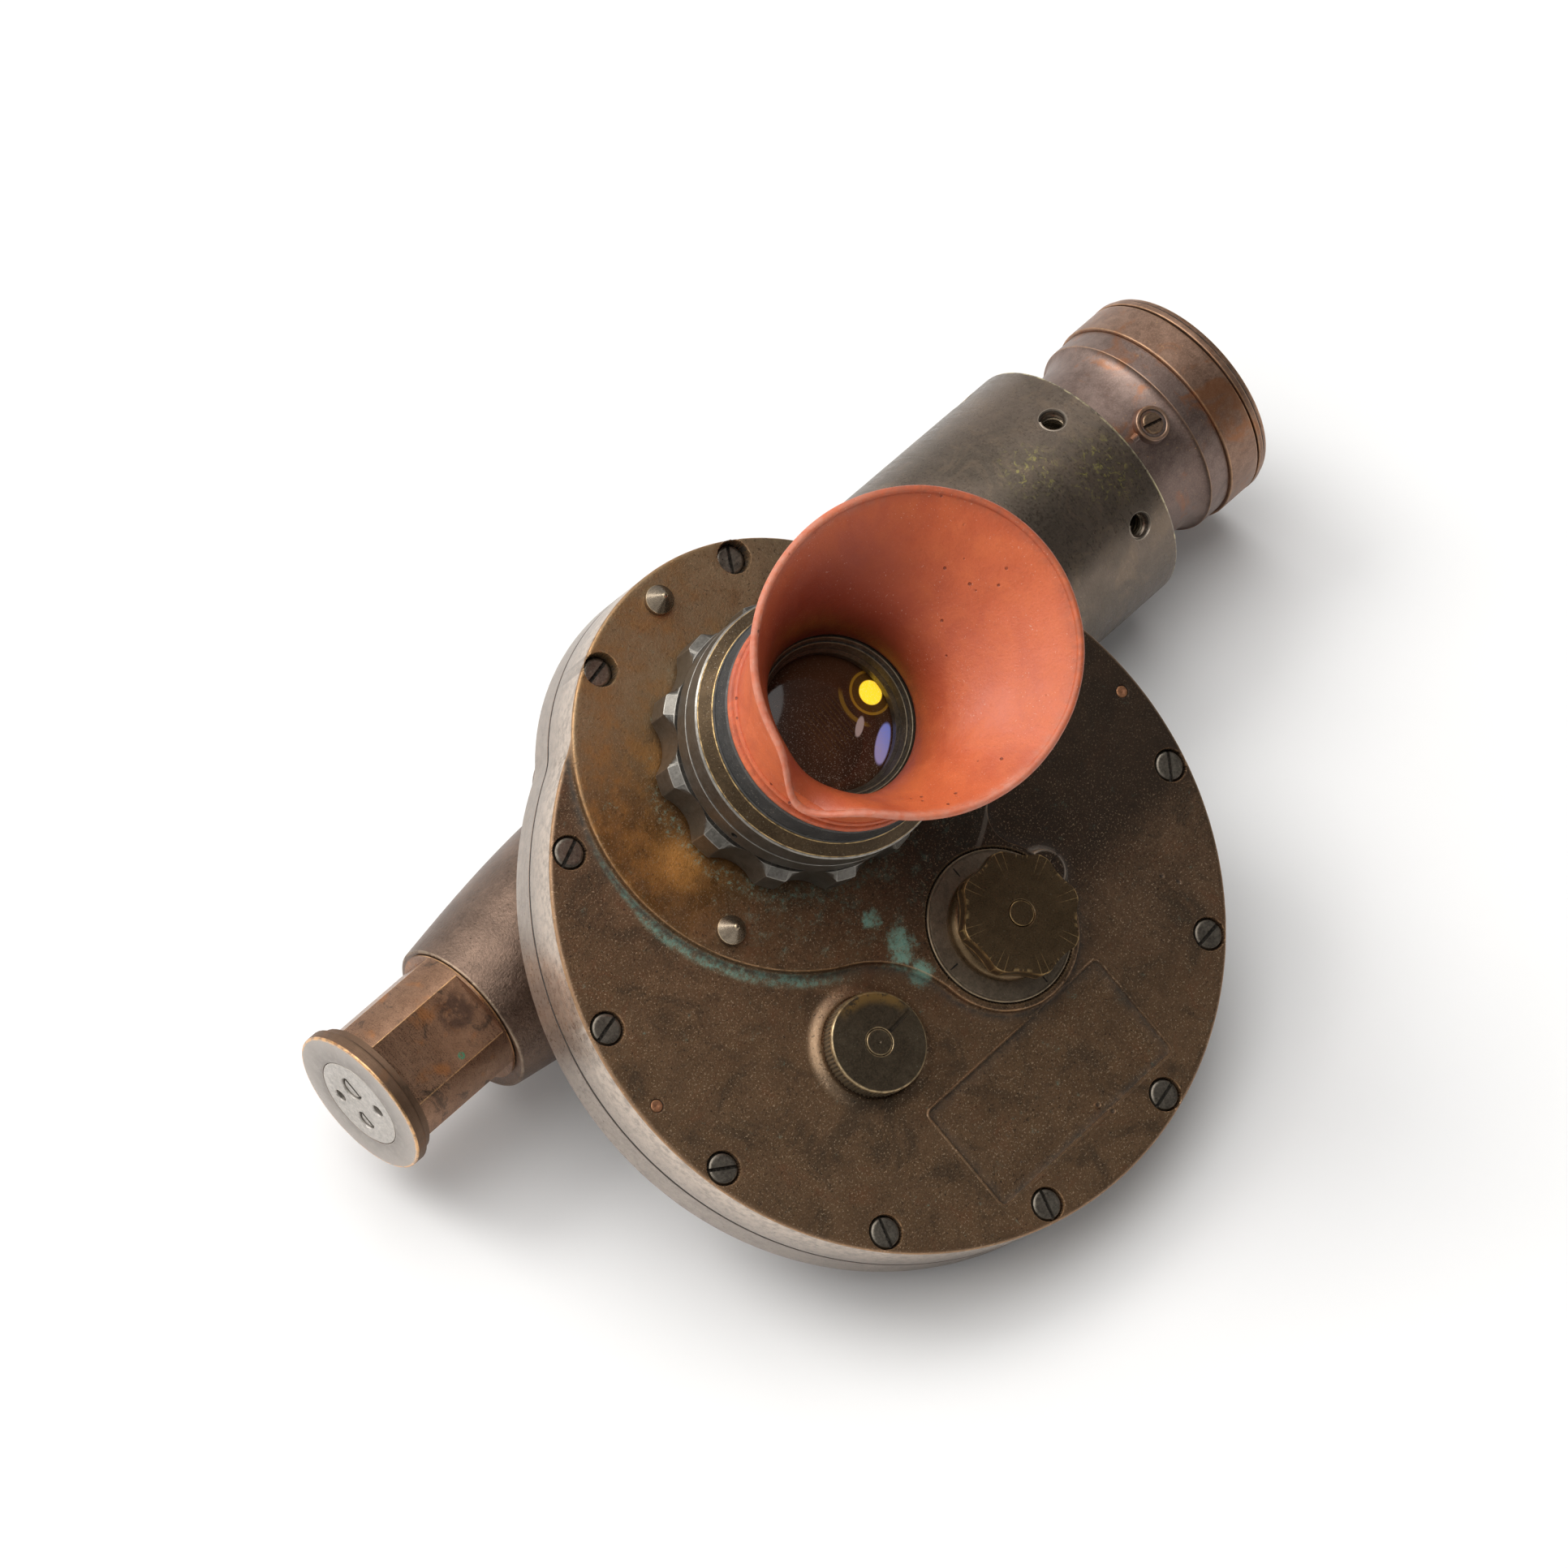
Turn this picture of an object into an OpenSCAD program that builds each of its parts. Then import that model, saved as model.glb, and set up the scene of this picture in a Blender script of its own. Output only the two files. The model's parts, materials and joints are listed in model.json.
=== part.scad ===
// Elbow telescope with a built-in filter housing, lying on its tube and its flange rim.
// Every piece is drawn in the instrument's own frame: the origin is the centre of the cover's main face,
// +X runs along the tube to the objective, +Y towards the eyepiece and +Z out of the cover.
// lie() then tips the finished instrument the way it rests on a bench, with the barrel's centre as origin.

/* [Cover] */
// Radius of the round cover and of the housing flange
disc_r = 89; // [86:0.5:92]
// Radius of the lobe that carries the eyepiece
lobe_r = 54.5; // [53:0.5:56]
// Distance from the cover's centre to the eyepiece axis
eye_y = 44; // [42:0.5:46]
// Radius of the hollow blend between the disc and the lobe
blend_r = 18; // [12:1:24]
// Thickness of the cover at its rim
cover_t = 15; // [14:0.5:17]
// Thickness of the cover over the filter space
cover_wall = 5; // [4.5:0.25:5.5]
// Height of the raised eyepiece boss above the main face
boss_h = 2.6; // [2:0.2:3.4]
// Radius of the fillet at the foot of the boss
foot_r = 1.6; // [0.8:0.2:2]
// Rounding of the cover's outer edges
edge_r = 0.8; // [0.4:0.2:1.2]
// Length of the sunk nameplate field
plate_l = 62; // [56:1:66]
// Width of the sunk nameplate field
plate_w = 29.5; // [26:0.5:31]
// Distance from the cover's rim to the nameplate field's centre
plate_in = 29.25; // [27:0.25:31]
// Depth of the nameplate field
plate_deep = 0.6; // [0.4:0.1:1]
// Radius of the fine raised lip round the nameplate field, also its corners
plate_lip = 0.7; // [0.5:0.1:1]

/* [Housing] */
// Thickness of the gasket under the cover
gasket_t = 0.5; // [0.4:0.1:0.8]
// Thickness of the housing's flange
flange_t = 10; // [9:0.5:11]
// Width of the solid rim round the space for the filter wheel
rim_w = 14; // [12:0.5:16]
// Width of the solid rim round the space in the lobe
lobe_rim_w = 11.5; // [9.5:0.5:13]
// Distance from the flange's rim to the flat floor of the dished back
dish_in = 17; // [15:0.5:20]
// Height of the dished back below the flange
dish_h = 7.5; // [6.5:0.25:8]
// Thickness of the housing's floor
floor_t = 4; // [3:0.25:4.5]
// Chamfer on the flange's lower edge
rim_break = 0.5; // [0.3:0.1:0.8]
// Radius of the neck that joins the dish to the tube
neck_cast_r = 31; // [28:0.5:33]
// Thickness of the neck's wall
neck_wall = 6; // [4:0.5:9]

/* [Cover screws, dowels and studs] */
// Distance of the rim screws in from the cover's rim
screw_in = 4.9; // [4.5:0.1:5.5]
// Angle between neighbouring rim screws
screw_step = 30; // [30:15:45]
// Distance of the two lobe screws in from the lobe's rim
lobe_screw_in = 4.5; // [4.3:0.1:5.5]
// Angle of the two lobe screws to each side of the far end
lobe_screw_a = 28; // [24:1:32]
// Radius of a cover screw's head
head_r = 3.9; // [3.5:0.1:4.1]
// Height of a cover screw's head
head_h = 3; // [2.4:0.1:3.4]
// Radius of a cover screw's shank
shank_r = 2.4; // [2:0.1:2.6]
// Length of a cover screw's shank
shank_l = 19; // [17:0.5:20]
// Width of the slot in a screw head
slot_w = 0.9; // [0.7:0.1:1.2]
// Radius of the two dowels in the cover's rim
dowel_r = 1.65; // [1.3:0.05:2]
// Distance of the three studs in from the lobe's rim
stud_in = 6.6; // [6:0.1:7.5]
// Radius of a stud
stud_r = 3.7; // [3.2:0.1:4]
// Straight height of a stud above the boss
stud_h = 1.5; // [1:0.25:3]
// Height of a stud's conical tip
stud_tip = 4; // [3:0.25:5]

/* [Tube] */
// Distance from the cover's main face down to the tube's axis
tube_drop = 61; // [60.5:0.25:62]
// Outer radius of the machined barrel sleeve, and of the machined band behind it
barrel_r = 35.4; // [35.2:0.1:36]
// Distance of the sleeve's rear face ahead of the eyepiece axis
barrel_x = 80; // [80:0.5:84]
// Length of the barrel sleeve
barrel_l = 65; // [60:1:67]
// Rounding of the sleeve's rear edge
barrel_edge = 4; // [2:0.5:5]
// Radius of the tapped holes round the sleeve
barrel_hole_r = 3.3; // [2.8:0.1:3.6]
// Distance of the tapped holes behind the sleeve's front face
barrel_hole_in = 10; // [8:0.5:14]
// Wall left under each tapped hole
barrel_hole_floor = 0.85; // [0.6:0.05:1.5]
// Number of tapped holes round the sleeve
barrel_holes = 6; // [4:1:6]
// Outer radius of the cast tube under the cover
tube_r = 34.6; // [34:0.1:34.9]
// Inner radius of the cast tube
tube_bore_r = 29; // [28.5:0.1:29.5]
// Distance of the machined band's rear face behind the eyepiece axis
band_x = 22; // [20:0.5:24]
// Width of the machined band
band_w = 14; // [10:1:18]

/* [Rear end] */
// Distance of the rear casting's end behind the eyepiece axis
rear_x = 83; // [80:0.5:86]
// Radius of the rear casting at its end
rear_r = 21; // [20.5:0.1:22]
// Radius of the rear casting where it leaves the band
rear_root_r = 27; // [25:0.5:28]
// Sideways offset of the rear casting from the tube's axis
rear_side = 1; // [0:0.25:1.5]
// Downward offset of the rear casting from the tube's axis
rear_down = 2.2; // [0:0.2:2.4]
// Radius of the turned shank
stem_r = 18.7; // [18.2:0.1:18.9]
// Distance from the axis to each flat of the shank
stem_flat = 16.4; // [15.8:0.1:17.2]
// Length of the shank behind the casting
stem_l = 32; // [28:0.5:36]
// Radius of the shank's end flange
stem_flange_r = 20.1; // [19.6:0.1:20.6]
// Thickness of the shank's end flange
stem_flange_t = 3.5; // [2.5:0.25:4.5]
// Radius of the plug in the shank's end
plug_r = 12.5; // [12.3:0.1:12.8]
// Thickness of the plug
plug_t = 6; // [5:0.5:8]
// Radius of the valve screw in the plug
valve_r = 3.2; // [3:0.1:3.4]
// Radius of the inlet screw in the plug
inlet_r = 2.5; // [2.2:0.1:2.6]
// Radius of the plug's two spanner holes
spanner_r = 1.7; // [1.4:0.1:1.8]

/* [Objective end] */
// Radius of the objective tube inside the sleeve
neck_r = 26.5; // [26:0.1:26.8]
// Length of the neck ahead of the sleeve, up to the collar
neck_l = 20.6; // [18:0.2:24]
// Length of the hollow flare behind the collar
flare_l = 8; // [6:0.5:10]
// Radius of the collar
collar_r = 29.4; // [29.2:0.1:30]
// Width of the collar
collar_w = 7; // [6.2:0.2:9]
// Radius of the objective cell
cell_r = 30.3; // [29.9:0.1:31]
// Width of the objective cell
cell_w = 10.6; // [10.4:0.1:12]
// Width of the dark gasket ahead of the cell
front_gasket_w = 0.5; // [0.4:0.1:0.8]
// Width of the front cap
cap_w = 3.7; // [3:0.1:4.5]
// Radius of the objective lenses
lens_r = 25; // [24.6:0.1:25.3]
// Clear radius inside the objective tube
clear_r = 22.5; // [21:0.25:23]
// Radius of the boss round the seal screw
seal_boss_r = 4.75; // [4.2:0.1:5.2]
// Radius of the seal screw
seal_r = 2.9; // [2.6:0.1:3.2]

/* [Eyepiece] */
// Thickness of the fixed eyepiece body's wall
body_wall = 2.5; // [2.2:0.1:3]
// Height of the fixed eyepiece body's top above the main face
body_top = 20; // [19:0.25:21]
// Outer radius of the sliding eyepiece barrel
slide_r = 27.5; // [27.2:0.1:27.7]
// Step from the focus ring's plain part out to its scalloped part
grip_out = 2.3; // [1.8:0.1:3]
// Number of scallops round the focus ring
grip_n = 12; // [10:1:14]
// Radius of each scallop's arc
scallop_r = 9.7; // [8.5:0.1:10.5]
// Depth of each scallop
scallop_deep = 3.2; // [2.4:0.1:3.4]
// Height of the scalloped part
grip_h = 11.1; // [10:0.1:11.6]
// Thickness of the focus ring's wall in its plain upper part
ring_wall = 3; // [2.6:0.1:3.4]
// Height of the focus ring's top above the main face
ring_top = 29.7; // [29:0.1:30.2]
// Height of the tapered cap above the focus ring
cap_h = 3.1; // [2.6:0.1:3.4]
// Step from the sliding barrel out to the clamp ring that holds the rubber
clamp_out = 2.3; // [2:0.1:2.9]
// Height of the clamp ring
clamp_h = 6.4; // [6:0.1:6.8]
// Distance from the sliding barrel's outside to the eye lens
eye_lens_in = 9; // [8.7:0.1:9.4]
// Distance from the sliding barrel's outside to the field lens
field_lens_in = 5.5; // [5:0.1:6]

/* [Rubber eyeguard] */
// Distance from the sliding barrel's outside in to the rubber's neck
guard_neck_in = 0.2; // [0:0.1:0.5]
// Height of the horn's rim above the main face, at its middle
guard_top = 67.5; // [64:0.5:70]
// Half length of the mouth, along the tube
guard_a = 42.5; // [40:0.5:44]
// Half width of the mouth, across the tube
guard_b = 39.3; // [37:0.1:41]
// Shift of the mouth towards the objective
guard_shift = 14; // [11:0.5:16]
// Rise of the rim from its middle to its far end
guard_rise = 4.5; // [3:0.5:6]
// Distance from the sliding barrel's outside in to the throat
guard_throat_in = 7.3; // [7:0.1:7.5]
// Thickness of the lip
guard_lip = 2; // [1.6:0.1:2.4]
// Outward throw of the pinched fold in the near lip
fold_out = 5; // [2:0.5:6]
// Droop of the pinched fold
fold_drop = 7; // [3:0.5:8]
// Direction of the pinched fold, from the objective's direction
fold_a = 195; // [180:1:205]

/* [Knobs] */
// Filter knob's place along the tube
filter_x = 15.2; // [14:0.2:16]
// Filter knob's place across the tube
filter_y = -22.7; // [-24:0.1:-22]
// Outer radius of the filter knob's lobes
filter_knob_r = 16; // [15:0.1:16.5]
// Number of lobes on the filter knob
filter_lobes = 8; // [7:1:10]
// Depth of the hollows between the lobes
lobe_deep = 1.7; // [1.2:0.1:2]
// Height of the filter knob's top above the main face
filter_knob_top = 16.3; // [15:0.1:17.5]
// Height of the filter knob's lobed part
filter_knob_h = 5.8; // [5:0.1:6.5]
// Radius of the filter dial
dial_r = 19.3; // [18.8:0.1:19.6]
// Radius of the pad round the filter dial
pad_r = 21.5; // [21.2:0.1:22]
// Density knob's place along the tube
density_x = -31.3; // [-32:0.1:-30]
// Density knob's place across the tube
density_y = -23.8; // [-25:0.1:-23]
// Outer radius of the density knob
density_knob_r = 12.6; // [12:0.1:13]
// Height of the density knob's top above the main face
density_knob_top = 6; // [5.5:0.1:7]
// Radius of the two knobs' shafts
shaft_r = 4; // [3.5:0.1:4.3]
// Outer radius of the shaft glands
gland_r = 7; // [6.5:0.1:7.4]

/* [Filter wheel and gears] */
// Width of the filter wheel's rim outside the filter cells
wheel_gap = 1.5; // [1:0.25:2]
// Thickness of the filter wheel
wheel_t = 3; // [2.5:0.25:3.5]
// Radius of each filter
filter_r = 15; // [14:0.25:15.5]
// Thickness of each filter
filter_t = 3; // [2:0.25:3.5]
// Radius of the wheel's axle
axle_r = 4; // [3.5:0.1:4.5]
// Teeth of the filter pinion and of the wheel's gear
filter_teeth = 28; // [24:1:32]
// Teeth of the density pinion
density_teeth = 20; // [18:1:22]
// Teeth of the idler gear
idler_teeth = 45; // [44:1:46]
// Teeth of the polarizer ring
polarizer_teeth = 40; // [39:1:42]
// Thickness of the gears
gear_t = 3; // [2.5:0.25:3.2]
// Radius of the turning polarizer's glass
polarizer_r = 13.5; // [13:0.25:14]

/* [Optics] */
// Side of the prism
prism_s = 30; // [27:0.5:32]
// Radius of the reticle glass
reticle_r = 14.5; // [13:0.25:15]

/* [Fits] */
// Radial clearance of running and sliding fits, and of seated pieces
fit = 0.05; // [0.03:0.01:0.08]
// Gap between pieces that move past each other
gap = 0.3; // [0.25:0.05:0.4]

/* [Hidden] */
$fn = 96;

// Radii that follow from the rims and walls
cavity_r = disc_r - rim_w;
lobe_cavity_r = lobe_r - lobe_rim_w;
dish_r = disc_r - dish_in;
plate_y = disc_r - plate_in;
screw_circle_r = disc_r - screw_in;
lobe_screw_r = lobe_r - lobe_screw_in;
stud_circle_r = lobe_r - stud_in;
body_r = slide_r + body_wall;
collar_top_r = body_r + ring_wall;
grip_r = collar_top_r + grip_out;
clamp_r = slide_r + clamp_out;
eye_lens_r = slide_r - eye_lens_in;
field_lens_r = slide_r - field_lens_in;
guard_neck_r = slide_r - guard_neck_in;
guard_throat = slide_r - guard_throat_in;

// Places in the instrument's own frame
centre = [0, 0];
eye = [0, eye_y];
filter_at = [filter_x, filter_y];
density_at = [density_x, density_y];
face_low = -cover_t;
flange_top = face_low - gasket_t;
flange_low = flange_top - flange_t;
dish_low = flange_low - dish_h;
floor_z = dish_low + floor_t;
roof_z = -cover_wall;

// Resting pose: the tube and the flange's lower rim touch the same plane
rim_y = eye_y + disc_r - rim_break;
rim_z = tube_drop + flange_low;
rest_tilt = atan(rim_z / rim_y) + asin(barrel_r / norm([rim_y, rim_z]));
barrel_mid = barrel_x + barrel_l / 2;

// Heights of the inner layers, from the cover's underside down
body_flange_t = 3;
density_top = roof_z - body_flange_t - 0.5;
density_low = density_top - gear_t;
clip_t = 0.7;
filter_gear_top = density_low - clip_t - 1.1;
filter_gear_low = filter_gear_top - gear_t - 0.5;
wheel_top = filter_gear_low - 0.7;
wheel_low = wheel_top - wheel_t;
cell_wall = 2.5;
cell_low = wheel_top - filter_t - 2;
wheel_r = eye_y + filter_r + cell_wall + wheel_gap;

// Gear trains: modules follow from the distances between the shafts
filter_mod = norm(filter_at) / filter_teeth;
train_v = eye - density_at;
train_l = norm(train_v);
density_mod = 2 * train_l / (density_teeth + 2 * idler_teeth + polarizer_teeth);
idler_at = density_at + train_v * (density_teeth + idler_teeth) * density_mod / 2 / train_l;
train_a = atan2(train_v[1], train_v[0]);
filter_a = atan2(filter_y, filter_x);
wheel_gear_a = 0;
function mesh_angle(a, own, beta, za, zb) = beta + 180 + 180 / zb + (beta - own) * za / zb;
filter_pinion_a = mesh_angle(0, wheel_gear_a, filter_a, filter_teeth, filter_teeth);
idler_a = mesh_angle(0, 0, train_a, density_teeth, idler_teeth);
polarizer_a = mesh_angle(0, idler_a, train_a, idler_teeth, polarizer_teeth);

// Places along the tube
collar_x = barrel_x + barrel_l + neck_l;
cell_x = collar_x + collar_w;
gasket_x = cell_x + cell_w;
cap_x = gasket_x + front_gasket_w;
cap_end = cap_x + cap_w;
stem_x = -rear_x - 0.3;
stem_end = stem_x - stem_l - stem_flange_t;
seal_x = collar_x - 7.1;
seal_top = neck_r + 2;

// Eyepiece heights
grip_low = boss_h + 1.3;
grip_top = grip_low + grip_h;
cap_top = ring_top + cap_h;
slide_top = cap_top;
clamp_low = cap_top + gap;
clamp_top = clamp_low + clamp_h;
barrel_top = clamp_top - 2.3;
seat_r = slide_r - 2.5;
holder_r = eye_lens_r + 2.05;
lens_seat = 24.5;

// The instrument tipped onto its tube and flange rim
module lie() rotate([rest_tilt, 0, 0]) translate([-barrel_mid, -eye_y, tube_drop]) children();

module at(p) translate([p[0], p[1], 0]) children();

// Turns a shape drawn along Z so that it runs along the tube's axis
module on_tube() translate([0, eye_y, -tube_drop]) rotate([0, 90, 0]) children();

// Plain ring, or a disc where the inner radius is 0
module ring(r_out, r_in, z0, z1) {
    translate([0, 0, z0]) difference() {
        cylinder(r = r_out, h = z1 - z0);
        if (r_in > 0) translate([0, 0, -1]) cylinder(r = r_in, h = z1 - z0 + 2);
    }
}

// Solid of revolution from a list of radius and height pairs
module turned(points) rotate_extrude() polygon(points);

// Points of an arc, for profiles
function arc(c, r, a0, a1, n) = [for (i = [0:n]) c + r * [cos(a0 + (a1 - a0) * i / n), sin(a0 + (a1 - a0) * i / n)]];

// Involute gear outline
function inv(a) = tan(a) * 180 / PI - a;
function tooth_half(z, m, r) = 90 / z - 0.08 * 180 / PI / (m * z) + inv(20) - inv(acos(min(1, m * z / 2 * cos(20) / r)));
function gear_points(z, m, turn) = let (rp = m * z / 2, ra = rp + 0.95 * m, rf = rp - 1.25 * m,
    rb = max(rf, rp * cos(20) + 0.01), h0 = tooth_half(z, m, rb), h1 = tooth_half(z, m, rp), h2 = tooth_half(z, m, ra))
    [for (i = [0:z - 1]) for (q = [[rf, -h0], [rp, -h1], [ra, -h2], [ra, h2], [rp, h1], [rf, h0]])
        q[0] * [cos(turn + i * 360 / z + q[1]), sin(turn + i * 360 / z + q[1])]];
module gear(z, m, turn, z0, z1) translate([0, 0, z0]) linear_extrude(z1 - z0) polygon(gear_points(z, m, turn));

// Centre of the circle that blends two circles, on one side of the line between them
function blend_centre(c1, r1, c2, r2, b, side) = let (d = c2 - c1, l = norm(d), u = d / l, p = r1 + b, q = r2 + b,
    a = (p * p - q * q + l * l) / (2 * l), h = sqrt(max(0, p * p - a * a))) c1 + a * u + side * h * [-u[1], u[0]];

// Web that fills the corner between two circles, drawn with a hollow arc
module blend_web(c1, r1, c2, r2, b, side, grow = 0) {
    f = blend_centre(c1, r1, c2, r2, b, side);
    difference() {
        polygon([c1, f, c2]);
        translate(f) circle(r = b - grow);
    }
}

// Outline shared by the cover, the gasket and the flange
module outline_webs(grow = 0) {
    for (side = [-1, 1]) blend_web(centre, disc_r, eye, lobe_r, blend_r, side, grow);
}

module outline(z0, z1) {
    translate([0, 0, z0]) {
        cylinder(r = disc_r, h = z1 - z0);
        at(eye) cylinder(r = lobe_r, h = z1 - z0);
        linear_extrude(z1 - z0) outline_webs();
    }
}

// The space for the wheel and the gears
module cavity(z0, z1, shrink = 0) {
    translate([0, 0, z0]) cylinder(r = cavity_r - shrink, h = z1 - z0);
    at(eye) translate([0, 0, z0]) cylinder(r = lobe_cavity_r - shrink, h = z1 - z0);
}

// Places of the cover screws: round the rim where the lobe is clear, and two on the lobe
rim_screw_a = [for (a = [screw_step / 2:screw_step:359]) if (abs(a - 90) > 30) a];
screw_places = concat([for (a = rim_screw_a) screw_circle_r * [cos(a), sin(a)]],
    [for (s = [-1, 1]) eye + lobe_screw_r * [sin(s * lobe_screw_a), cos(lobe_screw_a)]]);
stud_a = [90, 210, 330];
stud_places = [for (a = stud_a) eye + stud_circle_r * [cos(a), sin(a)]];
dowel_places = [[-screw_circle_r, 0], [screw_circle_r, 0]];
head_low = -head_h - 0.2;
counterbore_r = head_r + 0.35;

module screw_holes(z0, z1) {
    for (p = screw_places) at(p) translate([0, 0, z0]) cylinder(r = shank_r + fit, h = z1 - z0);
    for (p = dowel_places) at(p) translate([0, 0, z0]) cylinder(r = dowel_r, h = z1 - z0);
}

// Cast housing: flange, dished back, neck and tube in one casting
tube_front = barrel_x - 0.1;
rear_steps = 8;
band_end = -band_x + band_w;
rear_curve = [for (i = [0:rear_steps]) [rear_r + (rear_root_r - rear_r) * sin(90 * i / rear_steps),
    -rear_x + (rear_x - band_x - 2) * i / rear_steps]];
module housing() color([0.36, 0.24, 0.17]) difference() {
    union() {
        outline(flange_low + rim_break, flange_top);
        turned([[0, dish_low], [dish_r, dish_low], [dish_r + 2, dish_low + 0.6], [disc_r - 8, flange_low - 4],
            [disc_r - 5.5, flange_low - 1.5], [disc_r - 4.5, flange_low], [disc_r - rim_break, flange_low],
            [disc_r, flange_low + rim_break], [disc_r, flange_low + rim_break + 1], [0, flange_low + rim_break + 1]]);
        at(eye) turned([[0, dish_low], [lobe_cavity_r, dish_low], [lobe_r - 8.5, dish_low + 1.5], [lobe_r - 5.5, flange_low - 2],
            [lobe_r - 4.9, flange_low], [lobe_r - rim_break, flange_low], [lobe_r, flange_low + rim_break],
            [lobe_r, flange_low + rim_break + 1], [0, flange_low + rim_break + 1]]);
        at(eye) translate([0, 0, -tube_drop]) cylinder(r = neck_cast_r, h = tube_drop + dish_low + 1);
        on_tube() turned([[0, -band_x - 3], [rear_root_r + 2, -band_x - 3], [tube_r - 2, -band_x - 1.5],
            [barrel_r, -band_x], [barrel_r, band_end], [tube_r, band_end + 0.8], [tube_r, tube_front - 2],
            [tube_r - 1.5, tube_front], [0, tube_front]]);
        translate([0, -rear_side, -rear_down]) on_tube() turned(concat([[0, -rear_x]], rear_curve,
            [[rear_root_r, -band_x], [0, -band_x]]));
        for (a = [0:45:359]) intersection() {
            rotate([0, 0, a + 22.5]) translate([30, -1.5, dish_low - 1.6]) cube([dish_r - 30, 3, 3]);
            cylinder(r = dish_r - 1, h = 200, center = true);
            translate([-200, eye_y - 200 - 36, -100]) cube([400, 200, 200]);
        }
    }
    cavity(floor_z, flange_top + 1);
    at(eye) translate([0, 0, -tube_drop]) cylinder(r = reticle_r + 2.5 + fit, h = tube_drop + floor_z + 1);
    on_tube() translate([0, 0, -band_x + 2]) cylinder(r = tube_bore_r, h = tube_front + band_x + 10);
    at(eye) translate([0, 0, -tube_drop]) cylinder(r = neck_cast_r - neck_wall, h = tube_drop + dish_low);
    on_tube() translate([0, 0, -rear_x + 20]) cylinder(r1 = 15, r2 = rear_root_r - 6, h = rear_x - band_x - 16);
    on_tube() translate([0, 0, -rear_x - 1]) cylinder(r = 15 + fit, h = 22 + fit);
    screw_holes(flange_top - 9, flange_top + 1);
    translate([0, 0, floor_z - 2]) cylinder(r = axle_r, h = 4);
}

// Machined sleeve that a mounting bracket clamps
module barrel() color([0.23, 0.22, 0.19]) difference() {
    on_tube() turned(concat([[neck_r + fit, barrel_x], [barrel_r - barrel_edge, barrel_x]],
        arc([barrel_r - barrel_edge, barrel_x + barrel_edge], barrel_edge, -90, 0, 6),
        [[barrel_r, barrel_x + barrel_l - 0.4], [barrel_r - 0.4, barrel_x + barrel_l], [neck_r + fit, barrel_x + barrel_l]]));
    for (i = [0:barrel_holes - 1]) translate([0, eye_y, -tube_drop]) rotate([30 + i * 360 / barrel_holes, 0, 0])
        translate([barrel_x + barrel_l - barrel_hole_in, 0, neck_r + fit + barrel_hole_floor]) cylinder(r = barrel_hole_r, h = barrel_r);
}

// Cast objective tube with its flare, collar and seal-screw boss
module objective_tube() color([0.33, 0.21, 0.16]) difference() {
    union() {
        on_tube() turned(concat([[clear_r, barrel_x - 30], [tube_bore_r - fit, barrel_x - 30],
            [tube_bore_r - fit, barrel_x - 0.1], [neck_r, barrel_x - 0.1], [neck_r, collar_x - flare_l]],
            [for (i = [1:8]) [neck_r + (collar_r - neck_r) * (1 - cos(90 * i / 8)), collar_x - flare_l + flare_l * sin(90 * i / 8)]],
            [[collar_r, cell_x - 0.3], [collar_r - 0.3, cell_x], [neck_r, cell_x], [neck_r, collar_x + 0.2],
            [clear_r, collar_x + 0.2]]));
        translate([seal_x, eye_y, -tube_drop + clear_r + 1]) cylinder(r = seal_boss_r, h = seal_top - clear_r - 1);
        translate([seal_x - seal_boss_r - 2.2, eye_y - 1.1, -tube_drop + clear_r + 1]) cube([4, 2.2, seal_top - clear_r - 1.6]);
    }
    translate([seal_x, eye_y, -tube_drop + seal_top - 2.5]) cylinder(r = seal_r + fit, h = 5);
    translate([seal_x, eye_y, -tube_drop]) cylinder(r = seal_r / 2 + fit, h = 40);
}

module slotted(r, z, angle, wide, deep) rotate([0, 0, angle]) translate([-r - 1, -wide / 2, z - deep]) cube([2 * r + 2, wide, deep + 2]);

module seal_screw() color([0.45, 0.36, 0.24]) translate([seal_x, eye_y, -tube_drop]) difference() {
    union() {
        ring(seal_r, 0, seal_top - 2.5, seal_top + 0.2);
        ring(seal_r / 2, 0, clear_r + 0.5, seal_top - 2.4);
    }
    slotted(seal_r, seal_top + 0.2, 48, 0.8, 1.2);
}

// Objective cell, its two lenses and the rings that hold them
seat_x = cell_x - 1.1;
flint_x = seat_x + 3;
crown_x = flint_x + 0.8;
crown_end = crown_x + 5;
module objective_cell() color([0.42, 0.25, 0.16]) on_tube() turned([[lens_r - 1.5, collar_x + 0.6],
    [neck_r - fit, collar_x + 0.6], [neck_r - fit, cell_x], [cell_r - 0.3, cell_x], [cell_r, cell_x + 0.3],
    [cell_r, gasket_x - 0.3], [cell_r - 0.3, gasket_x], [lens_r + fit, gasket_x], [lens_r + fit, seat_x], [lens_r - 1.5, seat_x]]);
module objective_flint() color([0.8, 0.85, 0.85, 0.4]) on_tube() difference() {
    ring(lens_r, 0, seat_x, flint_x);
    translate([0, 0, flint_x + 6 * lens_r - 0.7]) sphere(r = 6 * lens_r);
}
module objective_spacer() color([0.2, 0.2, 0.2]) on_tube() ring(lens_r, lens_r - 1.6, flint_x, crown_x);
module objective_crown() color([0.8, 0.85, 0.85, 0.4]) on_tube() intersection() {
    ring(lens_r, 0, crown_x, crown_end + 3);
    translate([0, 0, crown_end + 1.5 - 4.4 * lens_r]) sphere(r = 4.4 * lens_r);
}
module objective_retainer() color([0.2, 0.18, 0.16]) on_tube() turned([[lens_r - 2.2, crown_end + 0.2],
    [lens_r, crown_end - 1.2], [lens_r, gasket_x], [lens_r - 1, gasket_x]]);
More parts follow.
